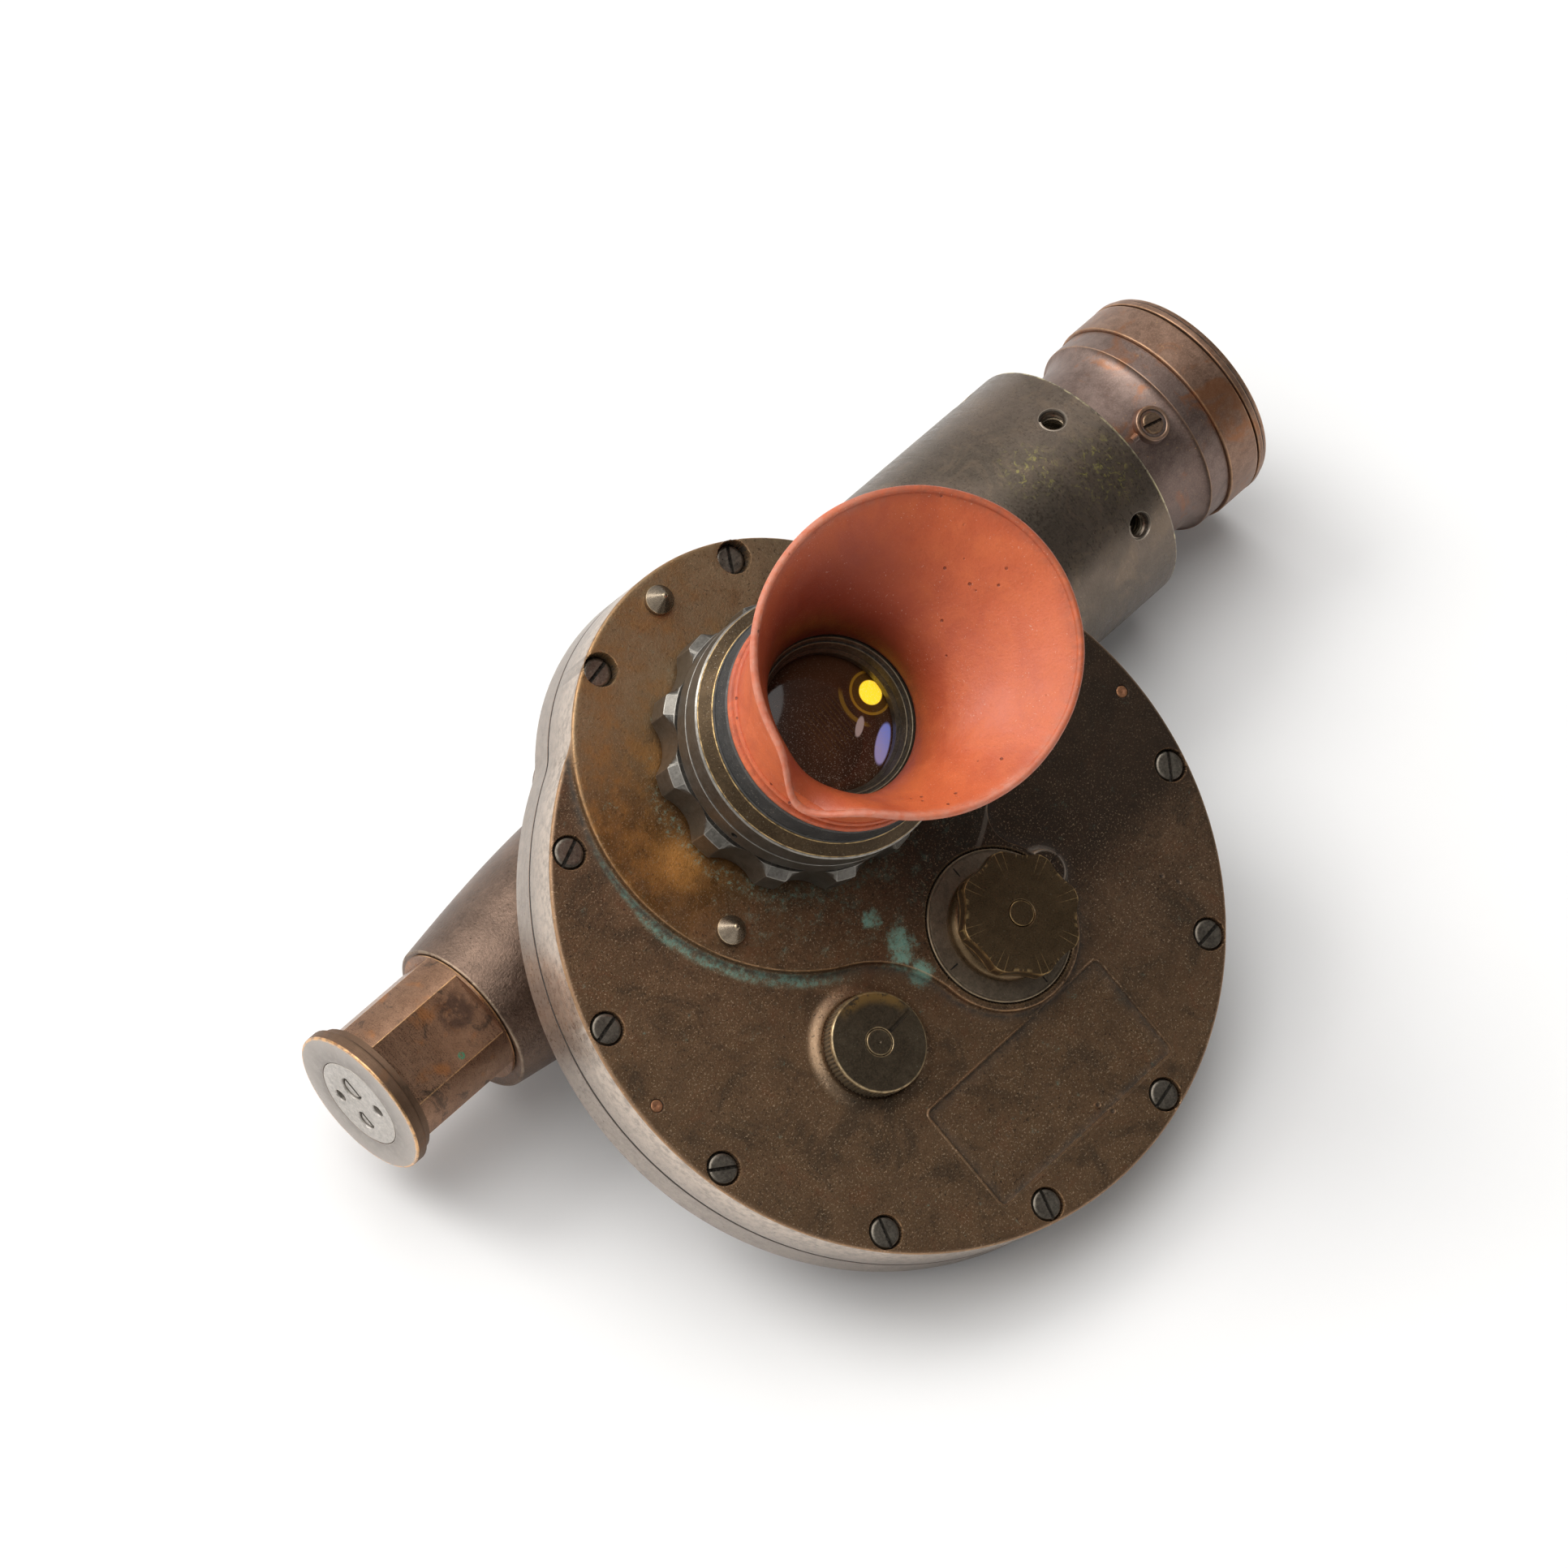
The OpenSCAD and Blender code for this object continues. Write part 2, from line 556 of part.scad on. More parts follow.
module objective_gasket() color([0.08, 0.08, 0.08]) on_tube() ring(cell_r - 1.1, lens_r + 0.2, gasket_x, cap_x);
module objective_cap() color([0.42, 0.26, 0.14]) on_tube() turned([[lens_r - 1.4, cap_x], [cell_r + 0.1, cap_x],
    [cell_r + 0.1, cap_x + 1.2], [cell_r - 0.5, cap_end - 0.4], [cell_r - 0.9, cap_end], [lens_r + 1, cap_end], [lens_r - 1.4, cap_end - 1.6]]);

// Roof prism that turns the light up to the eyepiece, and its cradle
prism_half = prism_s / 2;
roof_out = 5;
module prism() color([0.8, 0.85, 0.85, 0.4]) translate([0, eye_y, -tube_drop]) intersection() {
    cube(prism_s, center = true);
    rotate([0, -45, 0]) translate([-roof_out, 0, 0]) rotate([0, 0, -45]) translate([0, 0, -prism_s]) cube([60, 60, 2 * prism_s]);
}
module prism_bracket() color([0.2, 0.2, 0.2]) translate([0, eye_y, -tube_drop]) difference() {
    translate([-prism_half - 3, 0, 0]) rotate([0, 90, 0]) cylinder(r = tube_bore_r - fit, h = prism_s + 3.1);
    translate([-prism_half - fit, -prism_half - fit, -prism_half - fit]) cube([prism_s + 20, prism_s + 2 * fit, 100]);
    rotate([90, 0, 0]) cylinder(r = prism_s * 0.28, h = 100, center = true);
    translate([-prism_half, -tube_bore_r - 1, prism_half + 1]) cube([100, 2 * tube_bore_r + 2, 100]);
}
module prism_frame() color([0.25, 0.24, 0.22]) on_tube() ring(tube_bore_r - fit, prism_half - 1.5, prism_half + 0.2, prism_half + 2.4);

// Reticle under the filter wheel
cell_foot = -tube_drop + tube_bore_r + gap;
module reticle_cell() color([0.3, 0.3, 0.28]) at(eye) turned([[reticle_r - 1.5, cell_foot], [reticle_r + 2.5, cell_foot],
    [reticle_r + 2.5, floor_z], [reticle_r + 5.5, floor_z], [reticle_r + 5.5, floor_z + 1.5], [reticle_r + fit, floor_z + 1.5],
    [reticle_r + fit, floor_z - 1], [reticle_r - 1.5, floor_z - 1]]);
module reticle() color([0.8, 0.85, 0.85, 0.4]) at(eye) difference() {
    ring(reticle_r, 0, floor_z - 1, floor_z + 1);
    for (a = [0, 90]) rotate([0, 0, a]) translate([-6, -0.1, floor_z + 0.8]) cube([12, 0.2, 1]);
}

// Filter wheel with a cell for each of its four filters
filter_places = [for (a = [0:90:270]) eye_y * [sin(a), cos(a)]];
hub_r = 8;
module filter_wheel() color([0.55, 0.5, 0.4]) difference() {
    union() {
        ring(wheel_r, 0, wheel_low, wheel_top);
        for (p = filter_places) at(p) translate([0, 0, cell_low]) cylinder(r = filter_r + cell_wall, h = wheel_top - cell_low);
        translate([0, 0, cell_low]) cylinder(r = hub_r, h = wheel_top - cell_low);
    }
    for (p = filter_places) at(p) {
        translate([0, 0, wheel_top - filter_t - 0.2]) cylinder(r = filter_r + fit, h = 20);
        translate([0, 0, cell_low - 1]) cylinder(r = filter_r - 1.5, h = 20);
    }
    translate([0, 0, cell_low - 1]) cylinder(r = axle_r + fit, h = 20);
    for (a = [45:90:359]) rotate([0, 0, a]) translate([wheel_r * 0.62, 0, cell_low - 1]) cylinder(r = wheel_r * 0.15, h = 20);
}
module filter_gear() color([0.7, 0.55, 0.25]) difference() {
    union() {
        gear(filter_teeth, filter_mod, wheel_gear_a, filter_gear_low, filter_gear_top);
        translate([0, 0, wheel_top]) cylinder(r = hub_r, h = 1);
    }
    translate([0, 0, wheel_top - 1]) cylinder(r = axle_r + fit, h = 20);
}
module wheel_axle() color([0.5, 0.5, 0.5]) {
    ring(axle_r, 0, floor_z - 2, filter_gear_top + gap + 0.2);
    ring(axle_r + 2, 0, floor_z, cell_low - gap);
    ring(axle_r - 1, 0, filter_gear_top + gap, filter_gear_top + gap + clip_t);
}
module wheel_clip() color([0.5, 0.5, 0.5]) ring(axle_r + 2, axle_r - 1, filter_gear_top + gap + 0.2, filter_gear_top + gap + clip_t);
module filter_disc(i) at(filter_places[i]) ring(filter_r, 0, wheel_top - filter_t - 0.2, wheel_top - 1.2);
module filter_clear() color([0.85, 0.88, 0.88, 0.4]) filter_disc(1);
module filter_yellow() color([0.9, 0.75, 0.1, 0.5]) filter_disc(2);
module filter_red() color([0.8, 0.1, 0.05, 0.5]) filter_disc(3);
module filter_polarizer() color([0.35, 0.38, 0.35, 0.6]) filter_disc(0);
module filter_rings() color([0.25, 0.24, 0.22]) for (p = filter_places) at(p)
    ring(filter_r, filter_r - 1.5, wheel_top - 1.2, wheel_top - 0.1);

// Filter knob's train: shaft, gland and pinion
dial_low = boss_h - 1;
dial_top = boss_h + 0.2;
gland_low = roof_z - 2;
module filter_shaft() color([0.5, 0.5, 0.5]) at(filter_at) {
    ring(shaft_r, 0, filter_gear_low, filter_knob_top - 2);
}
module filter_pinion() color([0.7, 0.55, 0.25]) at(filter_at) difference() {
    union() {
        gear(filter_teeth, filter_mod, filter_pinion_a, filter_gear_low, filter_gear_top);
        ring(hub_r, 0, filter_gear_top - 0.5, filter_gear_top + 2);
    }
    translate([0, 0, filter_gear_low - 1]) cylinder(r = shaft_r + fit, h = 20);
}
module gland(low, high) difference() {
    union() {
        ring(gland_r, 0, low + 1.5, high);
        ring(gland_r + 1.5, 0, low, low + 2);
    }
    translate([0, 0, low - 1]) cylinder(r = shaft_r + fit, h = 40);
}
module filter_gland() color([0.6, 0.5, 0.3]) at(filter_at) gland(gland_low, dial_low - gap);
module density_gland() color([0.6, 0.5, 0.3]) at(density_at) gland(gland_low, -gap);

// Dial under the filter knob, with a skirt that the knob stands on
skirt_r = 14.5;
skirt_top = filter_knob_top - filter_knob_h;
module filter_dial() color([0.3, 0.25, 0.17]) at(filter_at) difference() {
    turned([[shaft_r + fit, dial_low], [dial_r - 0.2, dial_low], [dial_r, dial_low + 0.2], [dial_r, dial_top - 0.2],
        [dial_r - 0.2, dial_top], [dial_r - 0.5, dial_top], [dial_r - 0.6, dial_top - 0.15], [dial_r - 0.8, dial_top - 0.15],
        [dial_r - 0.9, dial_top], [shaft_r + fit, dial_top]]);
    for (a = [0:90:270]) rotate([0, 0, a]) translate([skirt_r + 1, -0.2, dial_top - 0.2]) cube([2.6, 0.4, 1]);
}

// Lobed filter knob on a turned skirt
function lobe_wave(r, n, deep, turn) = [for (i = [0:12 * n - 1]) let (a = i * 360 / (12 * n))
    (r - deep / 2 + deep / 2 * cos(n * (a - turn))) * [cos(a), sin(a)]];
module filter_knob() color([0.33, 0.25, 0.13]) at(filter_at) difference() {
    union() {
        intersection() {
            translate([0, 0, skirt_top]) linear_extrude(filter_knob_h)
                polygon(lobe_wave(filter_knob_r, filter_lobes, lobe_deep, 33));
            turned([[0, skirt_top], [filter_knob_r - 1.6, skirt_top], [filter_knob_r + 0.2, skirt_top + 1.6],
                [filter_knob_r + 0.2, filter_knob_top - 0.5], [filter_knob_r - 0.5, filter_knob_top], [0, filter_knob_top]]);
        }
        turned(concat([[0, dial_top + 0.05], [skirt_r - 0.3, dial_top + 0.05]],
            arc([skirt_r - 2.4, dial_top + 1.6], 2.4, -30, 70, 8), [[skirt_r - 3.2, skirt_top], [0, skirt_top]]));
    }
    translate([0, 0, dial_top - 1]) cylinder(r = shaft_r + fit, h = filter_knob_top - 2 - dial_top + 1 + fit);
    translate([0, 0, filter_knob_top - 1.5]) cylinder(r = 3.2 + fit, h = 3);
}
module filter_knob_plug() color([0.35, 0.27, 0.15]) at(filter_at) ring(3.2, 0, filter_knob_top - 1.5, filter_knob_top);

// Straight-knurled density knob
knurls = 72;
index_a = 10.5;
module density_knob() color([0.33, 0.25, 0.13]) at(density_at) difference() {
    turned([[0, gap], [density_knob_r - 0.5, gap], [density_knob_r, gap + 0.5], [density_knob_r, density_knob_top - 0.7],
        [density_knob_r - 0.25, density_knob_top - 0.25], [density_knob_r - 0.7, density_knob_top], [0, density_knob_top]]);
    translate([0, 0, gap - 1]) cylinder(r = shaft_r + fit, h = density_knob_top - 1.8 - gap + 1);
    translate([0, 0, density_knob_top - 1.4]) cylinder(r = 3.3 + fit, h = 3);
    for (i = [0:knurls - 1]) rotate([0, 0, (i + 0.5) * 360 / knurls]) translate([density_knob_r, 0, gap - 1])
        rotate([0, 0, 45]) cube([0.5, 0.5, 2 * (density_knob_top - 1.6)], center = true);
    rotate([0, 0, index_a]) translate([4, -0.25, density_knob_top - 0.3]) cube([20, 0.5, 1]);
}
module density_knob_plug() color([0.35, 0.27, 0.15]) at(density_at) ring(3.3, 0, density_knob_top - 1.4, density_knob_top);
module density_shaft() color([0.5, 0.5, 0.5]) at(density_at) ring(shaft_r, 0, density_low, density_knob_top - 1.9);
module density_pinion() color([0.7, 0.55, 0.25]) at(density_at) difference() {
    gear(density_teeth, density_mod, 0, density_low, density_top);
    translate([0, 0, density_low - 1]) cylinder(r = shaft_r + fit, h = 20);
}

// Idler gear on a post that hangs from the cover
post_r = 2.5;
module idler_gear() color([0.7, 0.55, 0.25]) at(idler_at) difference() {
    gear(idler_teeth, density_mod, idler_a, density_low, density_top);
    translate([0, 0, density_low - 1]) cylinder(r = post_r + fit, h = 20);
    for (a = [30:60:359]) rotate([0, 0, a]) translate([density_mod * idler_teeth * 0.3, 0, density_low - 1]) cylinder(r = 4, h = 20);
}
module idler_post() color([0.5, 0.5, 0.5]) at(idler_at) {
    ring(post_r, 0, density_low - gap - clip_t, roof_z + 2);
    ring(post_r + 2, 0, density_low - gap - clip_t, density_low - gap);
    ring(post_r + 2, 0, density_top + gap, roof_z);
}

// Turning polarizer round the eyepiece body's lower spigot
spigot_r = polarizer_r + 1.4;
polarizer_clip_r = density_mod * (polarizer_teeth / 2 + 1) + gap + 2.4;
module polarizer_ring() color([0.7, 0.55, 0.25]) at(eye) difference() {
    gear(polarizer_teeth, density_mod, polarizer_a, density_low, density_top);
    translate([0, 0, density_low + 0.8]) cylinder(r = spigot_r + fit, h = 20);
    translate([0, 0, density_low - 1]) cylinder(r = polarizer_r - 1.5, h = 20);
}
module polarizer_glass() color([0.3, 0.33, 0.3, 0.6]) at(eye) ring(polarizer_r, 0, density_low + 0.8, density_low + 1.8);
module polarizer_clip() color([0.5, 0.5, 0.5]) at(eye) difference() {
    union() {
        ring(polarizer_clip_r, polarizer_clip_r - 2, density_low - gap - clip_t, roof_z - body_flange_t);
        ring(polarizer_clip_r, spigot_r + 3.2, density_low - gap - clip_t, density_low - gap);
    }
    rotate([0, 0, train_a + 180]) translate([10, -22, density_low - gap]) cube([30, 44, density_top - density_low + 2 * gap]);
}

// Raised boss, filter pad, webs and index ear on the cover's face
ear_at = [19.5, 2.5];
ear_r = 5.5;
web_left_r = 30;
web_right_r = 8;
module foot_of(r) turned(concat([[r - 3, -0.5], [r + foot_r, -0.5]], arc([r + foot_r, foot_r], foot_r, -90, -180, 6), [[r - 3, foot_r]]));
module face_web(b, side) {
    for (step = [[0, boss_h], [foot_r * 0.12, foot_r * 0.5], [foot_r * 0.45, foot_r * 0.18]])
        translate([0, 0, -0.5]) linear_extrude(step[1] + 0.5) blend_web(filter_at, pad_r, eye, lobe_r, b, side, step[0]);
}
module raised_face() {
    intersection() {
        union() {
            at(eye) foot_of(lobe_r);
            at(filter_at) foot_of(pad_r);
            at(filter_at + ear_at) foot_of(ear_r);
            at(density_at) translate([0, 0, -0.5]) cylinder(r1 = 17.4, r2 = 13.3, h = 1.2);
        }
        cylinder(r = disc_r - 1.5, h = 100, center = true);
    }
    at(filter_at) ring(pad_r, 0, -0.5, boss_h);
    at(filter_at + ear_at) ring(ear_r, 0, -0.5, boss_h);
    face_web(web_left_r, 1);
    face_web(web_right_r, -1);
}

// Rounded bar frame for the nameplate field
module field(l, w, r, z0, z1) translate([0, 0, z0]) linear_extrude(z1 - z0) {
    square([l - 2 * r, w], center = true);
    square([l, w - 2 * r], center = true);
    for (x = [-1, 1], y = [-1, 1]) translate([x * (l / 2 - r), y * (w / 2 - r)]) circle(r = r);
}

// Cast cover: plate, lobe, raised boss, pads and the sunk nameplate field
module cover_blank() {
    turned(concat([[0, face_low], [disc_r - 0.3, face_low], [disc_r, face_low + 0.3]],
        arc([disc_r - edge_r, -edge_r], edge_r, 0, 90, 5), [[0, 0]]));
    at(eye) turned(concat([[0, face_low], [lobe_r - 0.3, face_low], [lobe_r, face_low + 0.3]],
        arc([lobe_r - edge_r, boss_h - edge_r], edge_r, 0, 90, 5), [[0, boss_h]]));
    translate([0, 0, face_low]) linear_extrude(cover_t - edge_r) outline_webs();
    translate([0, 0, face_low]) linear_extrude(cover_t) outline_webs(-edge_r);
    raised_face();
    translate([0, -plate_y, 0]) difference() {
        field(plate_l + 2 * plate_lip, plate_w + 2 * plate_lip, 2, -0.5, 0.25);
        field(plate_l, plate_w, 1.4, -1, 1);
    }
}
punch_places = [for (q = [[-34.4, 72.2], [-35.7, 76.6], [-85.3, 72.1], [-84, 75.9]])
    (disc_r - 89 + q[1]) * [cos(q[0]), sin(q[0])]];
module cover() color([0.29, 0.2, 0.13]) difference() {
    cover_blank();
    difference() {
        cavity(face_low - 1, roof_z);
        at(filter_at) cylinder(r = gland_r + 4, h = 2 * (cover_wall + 2), center = true);
        at(density_at) cylinder(r = gland_r + 3, h = 2 * (cover_wall + 2), center = true);
    }
    at(eye) translate([0, 0, face_low - 1]) cylinder(r = body_r + fit, h = cover_t + boss_h + 5);
    for (p = [filter_at, density_at]) at(p) translate([0, 0, face_low - 1]) {
        cylinder(r = gland_r + fit, h = 40);
        cylinder(r = gland_r + 1.5 + fit, h = gland_low + 2 - face_low + 1);
    }
    at(filter_at) translate([0, 0, dial_low - gap]) cylinder(r = dial_r + gap, h = 10);
    at(density_at) cylinder(r = density_knob_r + gap, h = 10);
    for (p = punch_places) at(p) translate([0, 0, -0.4]) cylinder(r1 = 0.4, r2 = 0.8, h = 0.5);
    at(filter_at) rotate([0, 0, 8]) translate([dial_r - 1, -0.2, boss_h - 0.3]) cube([8, 0.4, 2]);
    at(idler_at) translate([0, 0, roof_z - 1]) cylinder(r = post_r, h = 3 + fit);
    screw_holes(face_low - 1, boss_h + 1);
    for (p = screw_places) at(p) translate([0, 0, head_low]) cylinder(r = counterbore_r, h = 20);
    for (p = stud_places) at(p) translate([0, 0, boss_h - 4]) cylinder(r = stud_r - 1, h = 10);
    translate([0, -plate_y, 0]) field(plate_l, plate_w, 1.4, -plate_deep, 2);
}
module cover_gasket() color([0.08, 0.08, 0.08]) difference() {
    outline(flange_top, face_low);
    cavity(flange_top - 1, face_low + 1);
    screw_holes(flange_top - 1, face_low + 1);
}
module cover_screws() color([0.3, 0.28, 0.22]) for (i = [0:len(screw_places) - 1]) at(screw_places[i]) difference() {
    union() {
        turned(concat([[0, head_low], [head_r, head_low], [head_r, head_low + head_h - 0.9]],
            [for (k = [1:4]) [head_r * cos(90 * k / 4), head_low + head_h - 0.9 + 0.9 * sin(90 * k / 4)]]));
        ring(shank_r, 0, head_low - shank_l, head_low + 0.5);
    }
    slotted(head_r, head_low + head_h, i * 67, slot_w, 1.3);
}
module dowels() color([0.55, 0.35, 0.22]) for (p = dowel_places) at(p) ring(dowel_r, 0, flange_top - 8, -0.2);
module studs() color([0.3, 0.27, 0.22]) for (p = stud_places) at(p) turned([[0, boss_h - 3.8], [stud_r - 1, boss_h - 3.8],
    [stud_r - 1, boss_h], [stud_r, boss_h], [stud_r, boss_h + stud_h], [0.6, boss_h + stud_h + stud_tip], [0, boss_h + stud_h + stud_tip]]);

// Fixed eyepiece body, held against the cover's underside
module eyepiece_body() color([0.4, 0.33, 0.2]) at(eye) turned([[polarizer_r - 1.5, density_low + 2.1], [spigot_r, density_low + 2.1],
    [spigot_r, roof_z - body_flange_t], [body_r + 6, roof_z - body_flange_t], [body_r + 6, roof_z], [body_r, roof_z],
    [body_r, body_top], [slide_r + fit, body_top], [slide_r + fit, roof_z], [polarizer_r - 1.5, roof_z]]);

// Scalloped focus ring, its plain upper part and its tapered cap
scallop_at = grip_r - scallop_deep + scallop_r;
module focus_ring() color([0.2, 0.19, 0.18]) at(eye) difference() {
    union() {
        intersection() {
            translate([0, 0, grip_low]) linear_extrude(grip_h) difference() {
                circle(r = grip_r);
                for (i = [0:grip_n - 1]) rotate(7 + (i + 0.5) * 360 / grip_n) translate([scallop_at, 0]) circle(r = scallop_r);
            }
            turned([[0, grip_low], [grip_r - 0.8, grip_low], [grip_r, grip_low + 0.8], [grip_r, grip_top - 1.4],
                [grip_r - 1.5, grip_top], [0, grip_top]]);
        }
        turned([[0, grip_low + 1], [collar_top_r - 1.4, grip_low + 1], [collar_top_r - 1.4, grip_top + 1.4], [collar_top_r - 0.4, grip_top + 1.9],
            [collar_top_r, grip_top + 2.3], [collar_top_r, grip_top + 7.6], [collar_top_r - 0.35, grip_top + 7.8],
            [collar_top_r - 0.35, grip_top + 8.2], [collar_top_r, grip_top + 8.4], [collar_top_r, ring_top - 0.4],
            [collar_top_r - 0.4, ring_top], [0, ring_top]]);
    }
    translate([0, 0, grip_low - 1]) cylinder(r = body_r + fit, h = body_top + gap - grip_low + 1);
    translate([0, 0, grip_low]) cylinder(r = slide_r + gap, h = 60);
    rotate([0, 0, 191]) translate([collar_top_r + 1, 0, grip_top + 5]) rotate([0, -90, 0]) cylinder(r = 0.9, h = 3);
}
module focus_cap() color([0.38, 0.28, 0.18]) at(eye) turned([[slide_r + gap, ring_top], [collar_top_r - 0.6, ring_top],
    [collar_top_r - 0.3, ring_top + 0.4], [clamp_r, cap_top], [slide_r + gap, cap_top]]);

// Sliding eyepiece barrel and its lenses
module eyepiece_barrel() color([0.25, 0.23, 0.2]) at(eye) turned([[field_lens_r - 2, roof_z + gap], [slide_r, roof_z + gap],
    [slide_r, slide_top], [seat_r, slide_top], [seat_r, barrel_top], [holder_r + fit, barrel_top], [holder_r + fit, 33], [eye_lens_r + fit, 33],
    [eye_lens_r + fit, lens_seat], [eye_lens_r - 1.5, lens_seat], [eye_lens_r - 1.5, lens_seat - 3], [field_lens_r - 2, lens_seat - 6],
    [field_lens_r - 2, 5], [field_lens_r + fit, 5], [field_lens_r + fit, -2.5], [field_lens_r - 2, -2.5]]);
module field_lens() color([0.8, 0.85, 0.85, 0.4]) at(eye) intersection() {
    ring(field_lens_r, 0, -2.5, 5);
    translate([0, 0, 4.5 - 60]) sphere(r = 60);
}
module eye_lens() color([0.45, 0.4, 0.35, 0.5]) at(eye) intersection() {
    ring(eye_lens_r, 0, lens_seat, lens_seat + 12);
    translate([0, 0, lens_seat + 8 - 60]) sphere(r = 60);
}
module eye_lens_retainer() color([0.15, 0.14, 0.13]) at(eye) turned([[eye_lens_r - 1.3, lens_seat + 6.4], [eye_lens_r - 0.3, lens_seat + 5.5],
    [eye_lens_r - 0.3, 33.1], [holder_r, 33.1], [holder_r, barrel_top - 0.3], [holder_r - 0.75, barrel_top], [holder_r - 1.35, barrel_top - 1.2],
    [holder_r - 1.85, barrel_top - 1], [eye_lens_r - 0.6, 34.2], [eye_lens_r - 1.3, 33]]);

// Rubber eyeguard and the clamp ring that it turns on
guard_seat = clamp_low + 1.5;
module eyeguard_clamp() color([0.16, 0.16, 0.16]) at(eye) turned([[seat_r + fit, clamp_low], [clamp_r, clamp_low],
    [clamp_r, clamp_low + 0.6], [clamp_r - 0.3, clamp_low + 0.9], [clamp_r - 0.9, clamp_top - 0.4], [clamp_r - 1.3, clamp_top],
    [guard_neck_r + 0.3, clamp_top], [guard_neck_r + 0.3, guard_seat], [seat_r + fit, guard_seat]]);

guard_sides = 44;
guard_rows = 8;
throat_z = barrel_top + gap;
horn_z = clamp_top + 4.5;
foot_ring = [[seat_r + gap, guard_seat + 0.05], [guard_neck_r + 0.2, guard_seat + 0.05], [guard_neck_r + 0.2, clamp_top + 0.1],
    [clamp_r - 1.1, clamp_top + 0.3], [clamp_r - 1.1, clamp_top + 1.9], [guard_neck_r - 0.3, clamp_top + 2.7]];
function fold(th, t) = exp(-pow((th - fold_a) / 13, 2)) * pow(t, 4);
function horn(th, t, e, r0, a1, b1, z0, lift) = let (f = pow(t, e), w = fold(th, t),
    rim = guard_top + guard_rise * cos(th) + lift, a = r0 + (a1 - r0) * f, b = r0 + (b1 - r0) * f)
    [guard_shift * f + (a + fold_out * w) * cos(th), 2 * f + (b + fold_out * w) * sin(th), z0 + (rim - z0) * t - fold_drop * w];
function plain(q, th) = [q[0] * cos(th), q[0] * sin(th), q[1]];
function guard_row(th) = concat([for (q = foot_ring) plain(q, th)],
    [for (i = [0:guard_rows]) horn(th, i / guard_rows, 1.8, guard_neck_r, guard_a, guard_b, horn_z, 0)],
    [horn(th, 1, 1, 0, guard_a - guard_lip * 0.3, guard_b - guard_lip * 0.3, horn_z, 0.7)],
    [horn(th, 1, 1, 0, guard_a - guard_lip * 0.7, guard_b - guard_lip * 0.7, horn_z, 0.7)],
    [for (i = [guard_rows:-1:1]) horn(th, i / guard_rows, 1.9, guard_throat, guard_a - guard_lip, guard_b - guard_lip, throat_z + 0.8, 0)],
    [plain([guard_throat, throat_z + 0.8], th), plain([guard_throat, throat_z], th), plain([seat_r + gap, throat_z], th)]);
guard_n = len(guard_row(0));
module eyeguard() color([0.72, 0.27, 0.16]) at(eye) polyhedron(
    points = [for (k = [0:guard_sides - 1]) for (q = guard_row(k * 360 / guard_sides)) q],
    faces = [for (k = [0:guard_sides - 1]) for (j = [0:guard_n - 1]) let (k2 = (k + 1) % guard_sides, j2 = (j + 1) % guard_n)
        for (f = [[k * guard_n + j, k * guard_n + j2, k2 * guard_n + j], [k * guard_n + j2, k2 * guard_n + j2, k2 * guard_n + j]]) f]);

// Turned shank at the rear end, its plug and the plug's screws
module rear_shank() color([0.45, 0.28, 0.16]) difference() {
    on_tube() turned([[9, stem_x + 20], [15, stem_x + 20], [15, stem_x], [stem_r, stem_x], [stem_r, stem_x - stem_l],
        [stem_flange_r, stem_x - stem_l], [stem_flange_r, stem_end + 0.3], [stem_flange_r - 0.3, stem_end],
        [plug_r + fit, stem_end], [plug_r + fit, stem_end + plug_t], [9, stem_end + plug_t]]);
    for (i = [0:3]) translate([0, eye_y, -tube_drop]) rotate([i * 90, 0, 0])
        translate([stem_x - stem_l + 2.2, -30, stem_flat]) cube([stem_l + 3, 60, 30]);
}
valve_at = [3.9, 2.1];
inlet_at = [-4.5, -3.8];
spanner_at = [4.1, -6.3];
module on_plug(p) translate([stem_end, eye_y + p[0], -tube_drop + p[1]]) rotate([0, 90, 0]) children();
module rear_plug() color([0.62, 0.58, 0.53]) difference() {
    on_tube() ring(plug_r, 0, stem_end, stem_end + plug_t);
    on_plug(valve_at) translate([0, 0, -1]) cylinder(r = valve_r + fit, h = 5);
    on_plug(inlet_at) translate([0, 0, -1]) cylinder(r = inlet_r + fit, h = 5);
    for (s = [-1, 1]) on_plug([s * spanner_at[0], s * spanner_at[1]]) translate([0, 0, -1]) cylinder(r = spanner_r, h = 3.5);
}
module plug_screw(p, r, a) on_plug(p) difference() {
    ring(r, 0, 0.1, 4);
    rotate([0, 0, a]) translate([-r - 1, -0.45, -1]) cube([2 * r + 2, 0.9, 2.2]);
}
module valve_screw() color([0.6, 0.55, 0.5]) plug_screw(valve_at, valve_r, 40);
module inlet_screw() color([0.6, 0.55, 0.5]) plug_screw(inlet_at, inlet_r, 40);

lie() housing();
lie() barrel();
lie() objective_tube();
lie() seal_screw();
lie() objective_cell();
lie() objective_flint();
lie() objective_spacer();
lie() objective_crown();
lie() objective_retainer();
lie() objective_gasket();
lie() objective_cap();
lie() prism();
lie() prism_bracket();
lie() prism_frame();
lie() reticle();
lie() reticle_cell();
lie() filter_wheel();
lie() filter_gear();
lie() wheel_axle();
lie() wheel_clip();
lie() filter_clear();
lie() filter_yellow();
lie() filter_red();
lie() filter_polarizer();
lie() filter_rings();
lie() filter_shaft();
lie() filter_pinion();
lie() filter_gland();
lie() filter_knob();
lie() filter_knob_plug();
lie() filter_dial();
lie() density_knob();
lie() density_knob_plug();
lie() density_shaft();
lie() density_pinion();
lie() density_gland();
lie() idler_gear();
lie() idler_post();
lie() polarizer_ring();
lie() polarizer_glass();
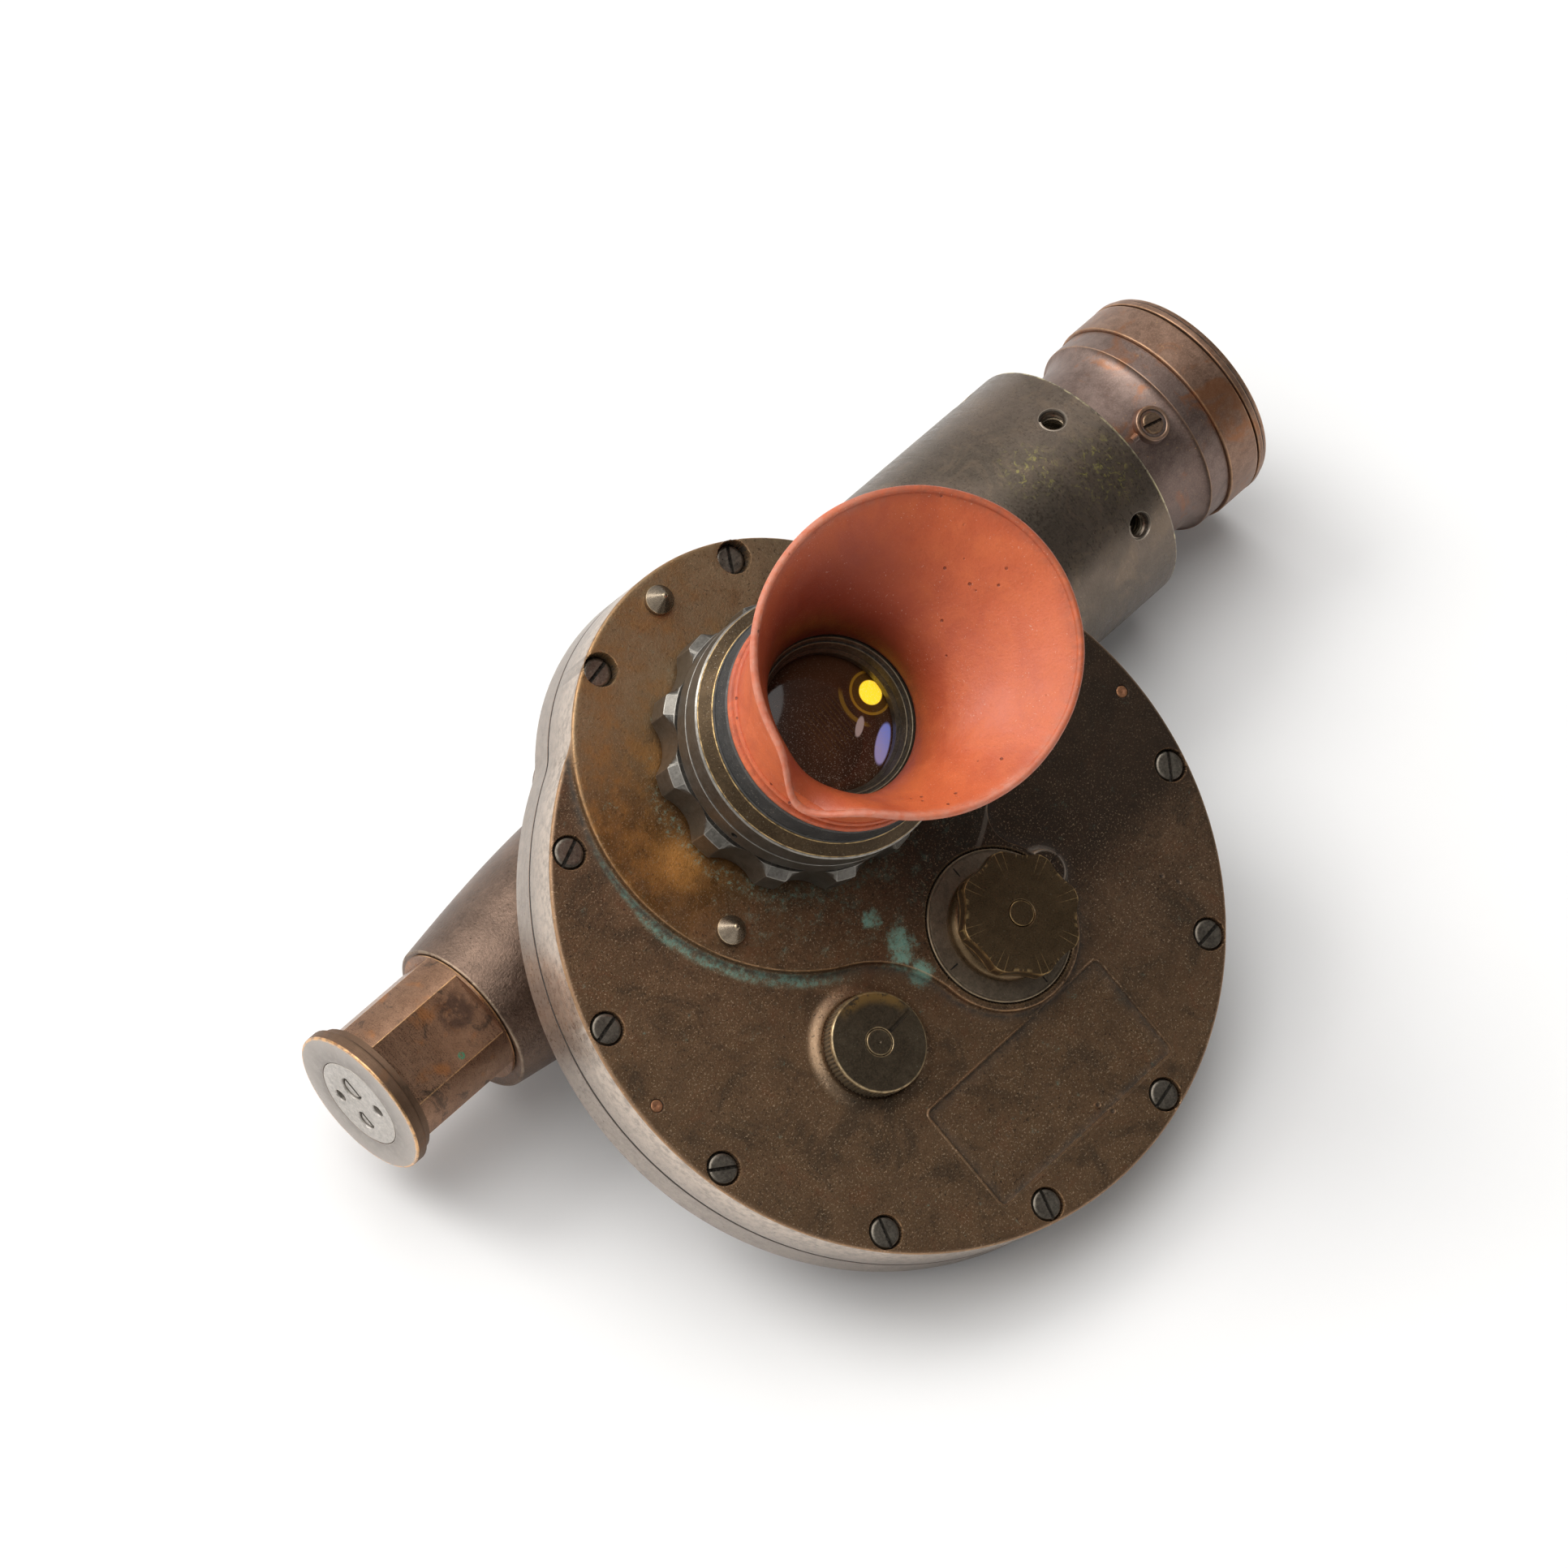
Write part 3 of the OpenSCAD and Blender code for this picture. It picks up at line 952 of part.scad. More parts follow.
lie() polarizer_clip();
lie() cover();
lie() cover_gasket();
lie() cover_screws();
lie() dowels();
lie() studs();
lie() eyepiece_body();
lie() focus_ring();
lie() focus_cap();
lie() eyepiece_barrel();
lie() field_lens();
lie() eye_lens();
lie() eye_lens_retainer();
lie() eyeguard_clamp();
lie() eyeguard();
lie() rear_shank();
lie() rear_plug();
lie() valve_screw();
lie() inlet_screw();
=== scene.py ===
# Elbow telescope with a built-in filter housing: its looks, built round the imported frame.
# Every piece is drawn in millimetres in the instrument's own frame: the origin is the centre of the
# cover's main face, +X runs along the tube to the objective, +Y towards the eyepiece, +Z out of the cover.
# SETTLE then lays it down the way the frame lies, in metres.
import json
import math

import bmesh
import bpy
import numpy as np
from mathutils import Matrix, Vector, kdtree, noise
from mathutils.geometry import delaunay_2d_cdt

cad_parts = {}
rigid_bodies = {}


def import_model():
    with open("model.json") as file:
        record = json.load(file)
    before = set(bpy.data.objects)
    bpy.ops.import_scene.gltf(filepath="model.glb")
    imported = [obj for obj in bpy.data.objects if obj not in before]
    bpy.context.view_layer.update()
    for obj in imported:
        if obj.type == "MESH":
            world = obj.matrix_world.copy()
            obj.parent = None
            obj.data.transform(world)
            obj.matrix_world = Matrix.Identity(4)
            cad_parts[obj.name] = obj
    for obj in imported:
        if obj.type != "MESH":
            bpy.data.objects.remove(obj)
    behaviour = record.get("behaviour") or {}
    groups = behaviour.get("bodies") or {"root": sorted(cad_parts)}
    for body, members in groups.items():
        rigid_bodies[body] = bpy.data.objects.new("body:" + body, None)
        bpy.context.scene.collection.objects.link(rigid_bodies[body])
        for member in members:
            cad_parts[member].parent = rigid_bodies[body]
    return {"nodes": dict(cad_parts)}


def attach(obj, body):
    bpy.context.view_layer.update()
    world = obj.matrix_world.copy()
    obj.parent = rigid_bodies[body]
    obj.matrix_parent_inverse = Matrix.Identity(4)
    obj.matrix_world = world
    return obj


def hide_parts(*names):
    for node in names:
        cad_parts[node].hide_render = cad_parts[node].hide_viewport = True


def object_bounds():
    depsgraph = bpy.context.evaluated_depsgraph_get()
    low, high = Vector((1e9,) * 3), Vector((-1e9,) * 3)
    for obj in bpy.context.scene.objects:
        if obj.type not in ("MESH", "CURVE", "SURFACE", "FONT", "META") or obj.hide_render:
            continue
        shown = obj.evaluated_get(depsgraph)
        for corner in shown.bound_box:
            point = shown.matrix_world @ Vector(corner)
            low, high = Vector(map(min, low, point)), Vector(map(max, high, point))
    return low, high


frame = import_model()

bl_info = {"name": "Elbow telescope", "version": (1, 0, 0), "blender": (4, 5, 0),
    "location": "3D View > Sidebar > Telescope",
    "description": "Dresses the frame of a bronze elbow telescope with finished pieces",
    "category": "Object",}

CAD_BOX = [list(corner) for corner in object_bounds()]

# Resting pose and main places, as the frame has them
TILT = math.radians(29.954125)
EYE_Y = 44.0
TUBE_DROP = 61.0
ORIGIN = Vector((112.5, EYE_Y, -TUBE_DROP))
SETTLE = Matrix.Rotation(TILT, 4, "X") @ Matrix.Scale(0.001, 4) @ Matrix.Translation(-ORIGIN)
ON_EYE = Matrix.Translation((0.0, EYE_Y, 0.0))
ON_TUBE = Matrix.Translation((0.0, EYE_Y, -TUBE_DROP)) @ Matrix.Rotation(math.pi / 2, 4, "Y")
FILTER_AT = (15.2, -22.7)
DENSITY_AT = (-31.3, -23.8)
AT_FILTER = Matrix.Translation((*FILTER_AT, 0.0))
AT_DENSITY = Matrix.Translation((*DENSITY_AT, 0.0))

# Cover and housing
DISC_R = 89.0
LOBE_R = 54.5
BLEND_R = 18.0
COVER_T = 15.0
BOSS_H = 2.6
PAD_R = 21.5
EAR_AT = (FILTER_AT[0] + 19.5, FILTER_AT[1] + 2.5)
EAR_R = 5.5
CAVITY_R = 75.0
LOBE_CAVITY_R = 43.0
GASKET_T = 0.5
FLANGE_TOP = -COVER_T - GASKET_T
FLANGE_LOW = FLANGE_TOP - 10.0
DISH_LOW = FLANGE_LOW - 7.5
FLOOR_Z = DISH_LOW + 4.0
ROOF_Z = -5.0
SCREW_CIRCLE_R = 84.1
LOBE_SCREW_R = 50.0
LOBE_SCREW_A = 28.0
STUD_CIRCLE_R = 47.9
HEAD_LOW = -3.2
SHANK_L = 19.0
HEAD_R = 3.9
COUNTERBORE_R = 4.2

# Tube and objective
BARREL_R = 35.4
BARREL_X = 80.0
BARREL_L = 65.0
BARREL_BORE_R = 26.55
HOLE_X = 135.0
HOLE_R = 3.3
NECK_R = 26.5
COLLAR_X = 165.6
CELL_X = 172.6
GASKET_X = 183.2
CAP_X = 183.7
CAP_END = 187.4
SEAL_X = 158.5
SEAL_TOP = NECK_R + 2.0

# Rear end
REAR_X = 83.0
STEM_X = -83.3
STEM_END = -118.8
STEM_R = 18.7
STEM_FLAT = 16.4
STEM_FLANGE_X = -115.3
STEM_FLANGE_R = 20.1
PLUG_R = 12.5

# Eyepiece
GRIP_LOW = 3.9
GRIP_TOP = 15.0
GRIP_R = 35.3
RING_TOP = 29.7
CAP_TOP = 32.8
CLAMP_LOW = 33.1
CLAMP_TOP = 39.5
LENS_SEAT = 24.5
LENS_R = 18.5
DOME_R = 60.0
FOCUS_BORE_R = 30.05


def spin_points(radius, angle):
    """A point on a circle, from its radius and its angle in degrees."""
    return (radius * math.cos(math.radians(angle)), radius * math.sin(math.radians(angle)))


RIM_SCREWS = [spin_points(SCREW_CIRCLE_R, a) for a in range(15, 360, 30) if abs(a - 90) > 30]
LOBE_SCREWS = [(s * LOBE_SCREW_R * math.sin(math.radians(LOBE_SCREW_A)), EYE_Y + LOBE_SCREW_R
    * math.cos(math.radians(LOBE_SCREW_A))) for s in (-1, 1)]
SCREW_PLACES = RIM_SCREWS + LOBE_SCREWS
STUD_PLACES = [(spin_points(STUD_CIRCLE_R, a)[0], EYE_Y + spin_points(STUD_CIRCLE_R, a)[1])
    for a in (90, 210, 330)]
DOWEL_PLACES = [(-SCREW_CIRCLE_R, 0.0), (SCREW_CIRCLE_R, 0.0)]


class TelescopeSizes(bpy.types.PropertyGroup):
    """Sizes of the finishing details, in millimetres."""

    edge_round: bpy.props.FloatProperty(name="Edge rounding",
        description="Rounding of the turned pieces' edges", default=0.35, min=0.1, max=0.6)
    foot_round: bpy.props.FloatProperty(name="Boss fillet",
        description="Radius of the fillet at the foot of the boss", default=1.6, min=0.8, max=2.0)
    slot_wide: bpy.props.FloatProperty(name="Screw slot",
        description="Width of the slot in a cover screw's head", default=0.9, min=0.5, max=1.3)
    slot_deep: bpy.props.FloatProperty(name="Slot depth",
        description="Depth of the slot in a cover screw's head", default=1.3, min=0.5, max=1.8)
    thread_pitch: bpy.props.FloatProperty(name="Thread pitch",
        description="Pitch of the threads in the barrel's holes", default=1.1, min=0.6, max=1.5)
    knurl_deep: bpy.props.FloatProperty(name="Knurl depth",
        description="Depth of the density knob's knurling", default=0.38, min=0.1, max=0.6)
    knurl_count: bpy.props.IntProperty(name="Knurls", description="Number of ridges round the density knob",
        default=72, min=36, max=96)
    cast_swell: bpy.props.FloatProperty(name="Casting swell",
        description="Height of the slow waves in the cast faces", default=0.05, min=0.0, max=0.15)


class TelescopeColours(bpy.types.PropertyGroup):
    """Colours of the main finishes."""

    cast_brown: bpy.props.FloatVectorProperty(name="Cast bronze", description="Dark patina of the cover",
        subtype="COLOR", size=3, default=(0.118, 0.070, 0.040))
    boss_gold: bpy.props.FloatVectorProperty(name="Handled bronze",
        description="Warm patina of the eyepiece boss", subtype="COLOR", size=3,
        default=(0.29, 0.132, 0.034))
    rim_satin: bpy.props.FloatVectorProperty(name="Machined rim",
        description="Pale satin of the machined rims", subtype="COLOR", size=3,
        default=(0.42, 0.355, 0.305))
    verdigris: bpy.props.FloatVectorProperty(name="Verdigris", description="Green bloom in the corners",
        subtype="COLOR", size=3, default=(0.22, 0.42, 0.33))
    rubber: bpy.props.FloatVectorProperty(name="Rubber", description="Terracotta of the eyeguard",
        subtype="COLOR", size=3, default=(0.66, 0.140, 0.048))
    barrel_grey: bpy.props.FloatVectorProperty(name="Barrel", description="Grey-brown of the barrel sleeve",
        subtype="COLOR", size=3, default=(0.190, 0.145, 0.113))
    copper_edge: bpy.props.FloatVectorProperty(name="Worn edge",
        description="Bright metal on the worn edges", subtype="COLOR", size=3, default=(0.58, 0.33, 0.16))


# Node trees

class Value:
    """Output of a node, with the sums that can be written on it."""

    def __init__(self, owner, socket):
        self.owner, self.socket = owner, socket

    def __add__(self, other):
        return self.owner.math("ADD", self, other)

    def __sub__(self, other):
        return self.owner.math("SUBTRACT", self, other)

    def __rsub__(self, other):
        return self.owner.math("SUBTRACT", other, self)

    def __mul__(self, other):
        return self.owner.math("MULTIPLY", self, other)

    def __truediv__(self, other):
        return self.owner.math("DIVIDE", self, other)


class Finish:
    """Node tree of one material, with short calls for what its finish is mixed from."""

    def __init__(self, name, metallic=0.9, roughness=0.45):
        self.material = bpy.data.materials.new(name)
        self.material.use_nodes = True
        self.tree = self.material.node_tree
        self.skin = next(n for n in self.tree.nodes if n.type == "BSDF_PRINCIPLED")
        self.skin.inputs["Metallic"].default_value = metallic
        self.skin.inputs["Roughness"].default_value = roughness
        coords = self.tree.nodes.new("ShaderNodeTexCoord")
        place = self.tree.nodes.new("ShaderNodeMapping")
        place.inputs["Location"].default_value = ORIGIN
        place.inputs["Rotation"].default_value = (-TILT, 0.0, 0.0)
        place.inputs["Scale"].default_value = (1000.0, 1000.0, 1000.0)
        self.tree.links.new(coords.outputs["Object"], place.inputs["Vector"])
        self.here = place.outputs["Vector"]
        split = self.tree.nodes.new("ShaderNodeSeparateXYZ")
        self.tree.links.new(self.here, split.inputs[0])
        self.x, self.y, self.z = (Value(self, socket) for socket in split.outputs)

    def put(self, socket, value):
        value = getattr(value, "socket", value)
        if isinstance(value, bpy.types.NodeSocket):
            self.tree.links.new(value, socket)
        elif value is not None:
            if isinstance(value, (tuple, list)) and len(value) == 3 and len(socket.default_value) == 4:
                value = (*value, 1.0)
            socket.default_value = value

    def math(self, operation, a, b=None, clamp=False):
        node = self.tree.nodes.new("ShaderNodeMath")
        node.operation = operation
        node.use_clamp = clamp
        for socket, value in zip(node.inputs, (a, b)):
            self.put(socket, value)
        return Value(self, node.outputs[0])

    def noise(self, scale, detail=3.0, rough=0.55, twist=0.0, stretch=None):
        node = self.tree.nodes.new("ShaderNodeTexNoise")
        at = self.here
        if stretch:
            mapping = self.tree.nodes.new("ShaderNodeMapping")
            mapping.inputs["Scale"].default_value = stretch
            self.tree.links.new(at, mapping.inputs["Vector"])
            at = mapping.outputs["Vector"]
        self.tree.links.new(at, node.inputs["Vector"])
        node.inputs["Scale"].default_value = scale
        node.inputs["Detail"].default_value = detail
        node.inputs["Roughness"].default_value = rough
        node.inputs["Distortion"].default_value = twist
        return Value(self, node.outputs[0])

    def cells(self, scale):
        node = self.tree.nodes.new("ShaderNodeTexVoronoi")
        self.tree.links.new(self.here, node.inputs["Vector"])
        node.inputs["Scale"].default_value = scale
        return Value(self, node.outputs[0])

    def span(self, value, low, high, to_low=0.0, to_high=1.0):
        node = self.tree.nodes.new("ShaderNodeMapRange")
        node.interpolation_type = "SMOOTHSTEP"
        for name, given in (("Value", value), ("From Min", low), ("From Max", high), ("To Min", to_low),
                ("To Max", to_high)):
            self.put(node.inputs[name], given)
        return Value(self, node.outputs[0])

    def band(self, value, low, high, soft):
        """1 between low and high, fading over soft on each side."""
        rise = self.span(value, low - soft, low)
        fall = self.span(value, high, high + soft, 1.0, 0.0)
        return rise * fall

    def blend(self, share, a, b):
        node = self.tree.nodes.new("ShaderNodeMix")
        node.data_type = "RGBA"
        node.clamp_factor = True
        self.put(node.inputs[0], share)
        self.put(node.inputs[6], a)
        self.put(node.inputs[7], b)
        return node.outputs[2]

    def fade(self, share, a, b):
        node = self.tree.nodes.new("ShaderNodeMix")
        node.data_type = "FLOAT"
        self.put(node.inputs[0], share)
        self.put(node.inputs[2], a)
        self.put(node.inputs[3], b)
        return Value(self, node.outputs[0])

    def mark(self, name):
        node = self.tree.nodes.new("ShaderNodeAttribute")
        node.attribute_name = name
        return Value(self, node.outputs["Fac"])

    def radius(self, x, y, plane="XY"):
        """Distance from an axis that crosses the named plane at x, y."""
        first, second = {"XY": (self.x, self.y), "YZ": (self.y, self.z)}[plane]
        dx, dy = first - x, second - y
        return self.math("SQRT", dx * dx + dy * dy)

    def round_tube(self):
        """Angle about the tube's axis, in turns of the circle by 2 pi."""
        return self.math("ARCTAN2", self.y - EYE_Y, self.z + TUBE_DROP)

    def bump(self, height, distance, on=None):
        node = self.tree.nodes.new("ShaderNodeBump")
        self.put(node.inputs["Height"], height)
        node.inputs["Distance"].default_value = distance * 0.001
        node.inputs["Strength"].default_value = 1.0
        if on:
            self.tree.links.new(on, node.inputs["Normal"])
        return node.outputs["Normal"]

    def set(self, **sockets):
        names = {"colour": "Base Color", "rough": "Roughness", "metal": "Metallic", "normal": "Normal",
            "ior": "IOR", "glow": "Emission Color", "glow_strength": "Emission Strength",
            "clear": "Transmission Weight", "specular": "Specular IOR Level"}
        for name, value in sockets.items():
            self.put(self.skin.inputs[names[name]], value)
        return self.material


def aged_metal(name, body, patch, edge, dirt, metal=0.85, rough=0.42, patch_scale=0.08, grain_scale=1.6,
        grain=0.03, speckle=0.25, speckle_colour=(0.45, 0.26, 0.12), dust=0.15, worn=0.75, extra=None,
        brushed=None):
    """Patinated metal: two tones, fine grain, bright worn edges, dirt in the corners and dust."""
    f = Finish(name, metal, rough)
    slow = f.noise(patch_scale, 4.0, 0.62, twist=0.6)
    middle = f.noise(patch_scale * 6.0, 4.0, 0.6)
    fine = f.noise(grain_scale, 5.0, 0.7)
    sand = f.noise(grain_scale * 1.25, 2.0, 0.6)
    colour = f.blend(f.span(slow, 0.36, 0.66), body, patch)
    colour = f.blend(f.span(middle, 0.35, 0.72, 0.0, 0.5), colour, tuple(c * 0.6 for c in body))
    colour = f.blend(f.span(fine, 0.45, 0.72, 0.0, 0.4), colour, tuple(min(1.0, c * 1.55) for c in patch))
    colour = f.blend(f.span(fine, 0.46, 0.30, 0.0, 0.45), colour, tuple(c * 0.45 for c in body))
    bright = f.span(sand, 0.60, 0.70) * f.span(middle, 0.38, 0.62, 0.15, 1.0)
    colour = f.blend(bright * speckle, colour, speckle_colour)
    roughness = f.span(fine, 0.3, 0.75, rough - 0.07, rough + 0.11)
    metalness = metal
    if extra:
        colour, roughness, metalness = extra(f, colour, roughness, metalness)
    grime = f.math("MULTIPLY", f.mark("grime"), f.span(middle, 0.25, 0.6, 0.45, 1.0), clamp=True)
    colour = f.blend(grime, colour, dirt)
    roughness = f.fade(grime, roughness, 0.85)
    motes = f.span(f.noise(2.1, 2.0, 0.7), 0.64, 0.7) * f.span(f.noise(0.05, 2.0), 0.40, 0.60)
    colour = f.blend(motes * dust, colour, (0.52, 0.45, 0.36))
    rubbed = f.math("MULTIPLY", f.span(f.mark("wear"), 0.5, 1.0), f.span(f.noise(0.5, 3.0, 0.65), 0.33,
        0.62, 0.15, worn), clamp=True)
    colour = f.blend(rubbed, colour, edge)
    roughness = f.fade(rubbed, roughness, 0.3)
    metalness = f.fade(grime, metalness, 0.15)
    height = fine * 0.7 + sand * 0.3
    normal = f.bump(height, grain * 4.0)
    if brushed:
        lines = f.noise(brushed[0], 2.0, 0.6, stretch=brushed[1])
        normal = f.bump(lines, brushed[2], on=normal)
        roughness = roughness + f.span(lines, 0.35, 0.7, -0.05, 0.08)
    return f.set(colour=colour, rough=roughness, metal=metalness, normal=normal)


# Mesh code

def rounded(corners, steps=4, reach=0.45, closed=True):
    """Corners as (radius, height, rounding) made into points as (radius, height, wear, grime).
    Outward corners are worn and inward ones dirty, and guard points keep that near the corner."""
    area = sum(a[0] * b[1] - b[0] * a[1] for a, b in zip(corners, corners[1:] + corners[:1]))
    turn = 1.0 if area > 0 else -1.0
    made = []
    n = len(corners)
    for i, (r, z, *given) in enumerate(corners):
        size = given[0] if given else 0.0
        here = np.array((r, z), float)
        if not closed and i in (0, n - 1) or size <= 0.0:
            made.append((r, z, 0.0, 0.0))
            continue
        back = np.array(corners[i - 1][:2], float) - here
        ahead = np.array(corners[(i + 1) % n][:2], float) - here
        length_back, length_ahead = np.hypot(*back), np.hypot(*ahead)
        back, ahead = back / length_back, ahead / length_ahead
        angle = math.acos(max(-1.0, min(1.0, float(back @ ahead))))
        if angle > 3.05:
            made.append((r, z, 0.0, 0.0))
            continue
        reach_in = min(size / math.tan(angle / 2), 0.46 * length_back, 0.46 * length_ahead)
        size = reach_in * math.tan(angle / 2)
        middle = here + (back + ahead) / np.hypot(*(back + ahead)) * size / math.sin(angle / 2)
        outward = turn * (-back[0] * ahead[1] + back[1] * ahead[0]) > 0
        wear, grime = (1.0, 0.0) if outward else (0.0, 1.0)
        if reach_in + reach < 0.5 * length_back:
            made.append((*(here + back * (reach_in + reach)), 0.0, 0.0))
        start, end = here + back * reach_in - middle, here + ahead * reach_in - middle
        a0 = math.atan2(start[1], start[0])
        sweep = (math.atan2(end[1], end[0]) - a0 + math.pi) % (2 * math.pi) - math.pi
        for k in range(steps + 1):
            a = a0 + sweep * k / steps
            made.append((middle[0] + size * math.cos(a), middle[1] + size * math.sin(a), wear, grime))
        if reach_in + reach < 0.5 * length_ahead:
            made.append((*(here + ahead * (reach_in + reach)), 0.0, 0.0))
    return made


class Piece:
    """One visible piece: points in millimetres, faces, and how worn and how dirty each point is."""

    def __init__(self, name):
        self.name = name
        self.points, self.faces, self.kinds = [], [], []
        self.wear, self.grime = [], []

    def add(self, points, faces, wear=None, grime=None, place=None, kind=0):
        start = len(self.points)
        moved = [place @ Vector(p) for p in points] if place else [Vector(p) for p in points]
        self.points += moved
        self.faces += [[start + i for i in face] for face in faces]
        self.kinds += [kind] * len(faces)
        self.wear += list(wear) if wear is not None else [0.0] * len(points)
        self.grime += list(grime) if grime is not None else [0.0] * len(points)

    def turn(self, corners, sides=144, place=None, angles=None, shape=None, steps=4, reach=0.45):
        """Adds a turned shape. The corners go round a closed section, or from the axis to the axis."""
        closed = not (corners[0][0] < 1e-6 and corners[-1][0] < 1e-6)
        section = rounded(list(corners), steps, reach, closed)
        angles = angles if angles is not None else [2 * math.pi * k / sides for k in range(sides)]
        points, wear, grime, rows = [], [], [], []
        for r, z, w, g in section:
            if r < 1e-6:
                rows.append([len(points)] * len(angles))
                points.append((0.0, 0.0, z))
                wear.append(w)
                grime.append(g)
                continue
            row = []
            for a in angles:
                r1, z1, w1, g1 = shape(r, z, a, w, g) if shape else (r, z, w, g)
                row.append(len(points))
                points.append((r1 * math.cos(a), r1 * math.sin(a), z1))
                wear.append(w1)
                grime.append(g1)
            rows.append(row)
        faces = []
        pairs = list(zip(rows, rows[1:] + rows[:1])) if closed else list(zip(rows, rows[1:]))
        for low, high in pairs:
            for k in range(len(angles)):
                m = (k + 1) % len(angles)
                face = [low[k], low[m], high[m], high[k]]
                face = [v for j, v in enumerate(face) if v != face[j - 1]]
                if len(face) > 2:
                    faces.append(face)
        self.add(points, faces, wear, grime, place)
        return self

    def mesh(self, keen=32.0):
        """The piece as a mesh laid down in the frame, with edges sharper than keen left sharp."""
        mesh = bpy.data.meshes.new(self.name)
        mesh.from_pydata([SETTLE @ p for p in self.points], [], self.faces)
        mesh.polygons.foreach_set("material_index", self.kinds)
        store(mesh, wear=self.wear, grime=self.grime)
        return tidy_mesh(mesh, keen)


def store(mesh, **values):
    """Keeps one number for each point of a mesh under each name."""
    for name, given in values.items():
        mesh.attributes.new(name, "FLOAT", "POINT").data.foreach_set("value", np.array(given, np.float32))


def tidy_mesh(mesh, keen=32.0, merge=2e-6):
    bm = bmesh.new()
    bm.from_mesh(mesh)
    bmesh.ops.remove_doubles(bm, verts=bm.verts, dist=merge)
    bmesh.ops.recalc_face_normals(bm, faces=bm.faces)
    bm.to_mesh(mesh)
    bm.free()
    mesh.polygons.foreach_set("use_smooth", [True] * len(mesh.polygons))
    mesh.set_sharp_from_angle(angle=math.radians(keen))
    mesh.update()
    return mesh


def stand_in(mesh, name, body, materials, nodes=()):
    """Makes a mesh the piece that rides on a body and stands for the named nodes."""
    piece = bpy.data.objects.new(name, mesh)
    bpy.context.scene.collection.objects.link(piece)
    if len(materials) == 1:
        mesh.materials.clear()
    for i, material in enumerate(materials):
        if i < len(mesh.materials):
            mesh.materials[i] = material
        else:
            mesh.materials.append(material)
    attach(piece, body)
    if nodes:
        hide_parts(*nodes)
    return piece


def loose_object(mesh, name="scratch"):
    made = bpy.data.objects.new(name, mesh)
    bpy.context.scene.collection.objects.link(made)
    return made


def evaluated_mesh(made, name):
    """Plain mesh of an object with its modifiers taken in; the object is removed."""
    graph = bpy.context.evaluated_depsgraph_get()
    graph.update()
    mesh = bpy.data.meshes.new_from_object(made.evaluated_get(graph), preserve_all_data_layers=True,
        depsgraph=graph)
    mesh.name = name
    bpy.data.objects.remove(made)
    return mesh


def combine(base, others, operation, name):
    """Joins meshes to a base mesh or cuts them from it."""
    made = loose_object(base)
    tools = [loose_object(mesh, f"tool{i}") for i, mesh in enumerate(others)]
    for tool in tools:
        step = made.modifiers.new("step", "BOOLEAN")
        step.operation = operation
        step.solver = "MANIFOLD"
        step.object = tool
    mesh = evaluated_mesh(made, name)
    for tool in tools:
        bpy.data.objects.remove(tool)
    return mesh


def box_cutter(xs, ys, zs, place):
    """Dirty-walled box that cuts a mark or a pointer line."""
    corners = [(x, y, z) for x in xs for y in ys for z in zs]
    faces = [(0, 1, 3, 2), (4, 6, 7, 5), (0, 4, 5, 1), (2, 3, 7, 6), (0, 2, 6, 4), (1, 5, 7, 3)]
    cut = Piece("cut")
    cut.add(corners, faces, grime=[1.0] * 8, place=place)
    return cut.mesh()


class Outline:
    """Union of round discs with hollow arcs that blend pairs of them. depth() is positive inside."""

    def __init__(self, discs, blends=()):
        self.discs = [(np.array(c, float), float(r)) for c, r in discs]
        self.blends = []
        for i, j, b, side in blends:
            (c1, r1), (c2, r2) = self.discs[i], self.discs[j]
            d = c2 - c1
            length = np.hypot(*d)
            u = d / length
            p, q = r1 + b, r2 + b
            a = (p * p - q * q + length * length) / (2 * length)
            h = math.sqrt(max(0.0, p * p - a * a))
            self.blends.append((c1, c2, c1 + a * u + side * h * np.array((-u[1], u[0])), b))

    def depth(self, p):
        p = np.asarray(p, float).reshape(-1, 2)
        best = np.max([r - np.hypot(*(p - c).T) for c, r in self.discs], axis=0)
        for c1, c2, f, b in self.blends:
            corners = [c1, f, c2]
            signs = []
            for k in range(3):
                s, e = corners[k], corners[(k + 1) % 3]
                signs.append((e[0] - s[0]) * (p[:, 1] - s[1]) - (e[1] - s[1]) * (p[:, 0] - s[0]))
            signs = np.array(signs)
            inside = np.all(signs >= -1e-7, axis=0) | np.all(signs <= 1e-7, axis=0)
            web = np.hypot(*(p - f).T) - b
            best = np.where(inside, np.maximum(best, web), best)
        return best

    def row(self, depth, step):
        """Points along the outline at one depth, in step with every other depth."""
        arcs = []
        for c, r in self.discs:
            n = max(24, int(2 * math.pi * r / step))
            angles = [2 * math.pi * i / n for i in range(n)]
            for c1, c2, f, b in self.blends:
                if np.allclose(c, c1) or np.allclose(c, c2):
                    angles.append(math.atan2(f[1] - c[1], f[0] - c[0]))
            arcs.append((c, r - depth, np.array(angles)))
        for c1, c2, f, b in self.blends:
            n = max(24, int(2 * math.pi * b / step))
            arcs.append((f, b + depth, np.arange(n) * 2 * math.pi / n))
        rows = []
        for c, r, angles in arcs:
            points = c + r * np.stack([np.cos(angles), np.sin(angles)], 1)
            rows.append(points[np.abs(self.depth(points) - depth) < 1e-6])
        return np.concatenate(rows)


def circle_row(c, r, step=0.8, least=24):
    n = max(least, int(2 * math.pi * r / step))
    a = np.arange(n) * 2 * math.pi / n
    return np.array(c) + r * np.stack([np.cos(a), np.sin(a)], 1)


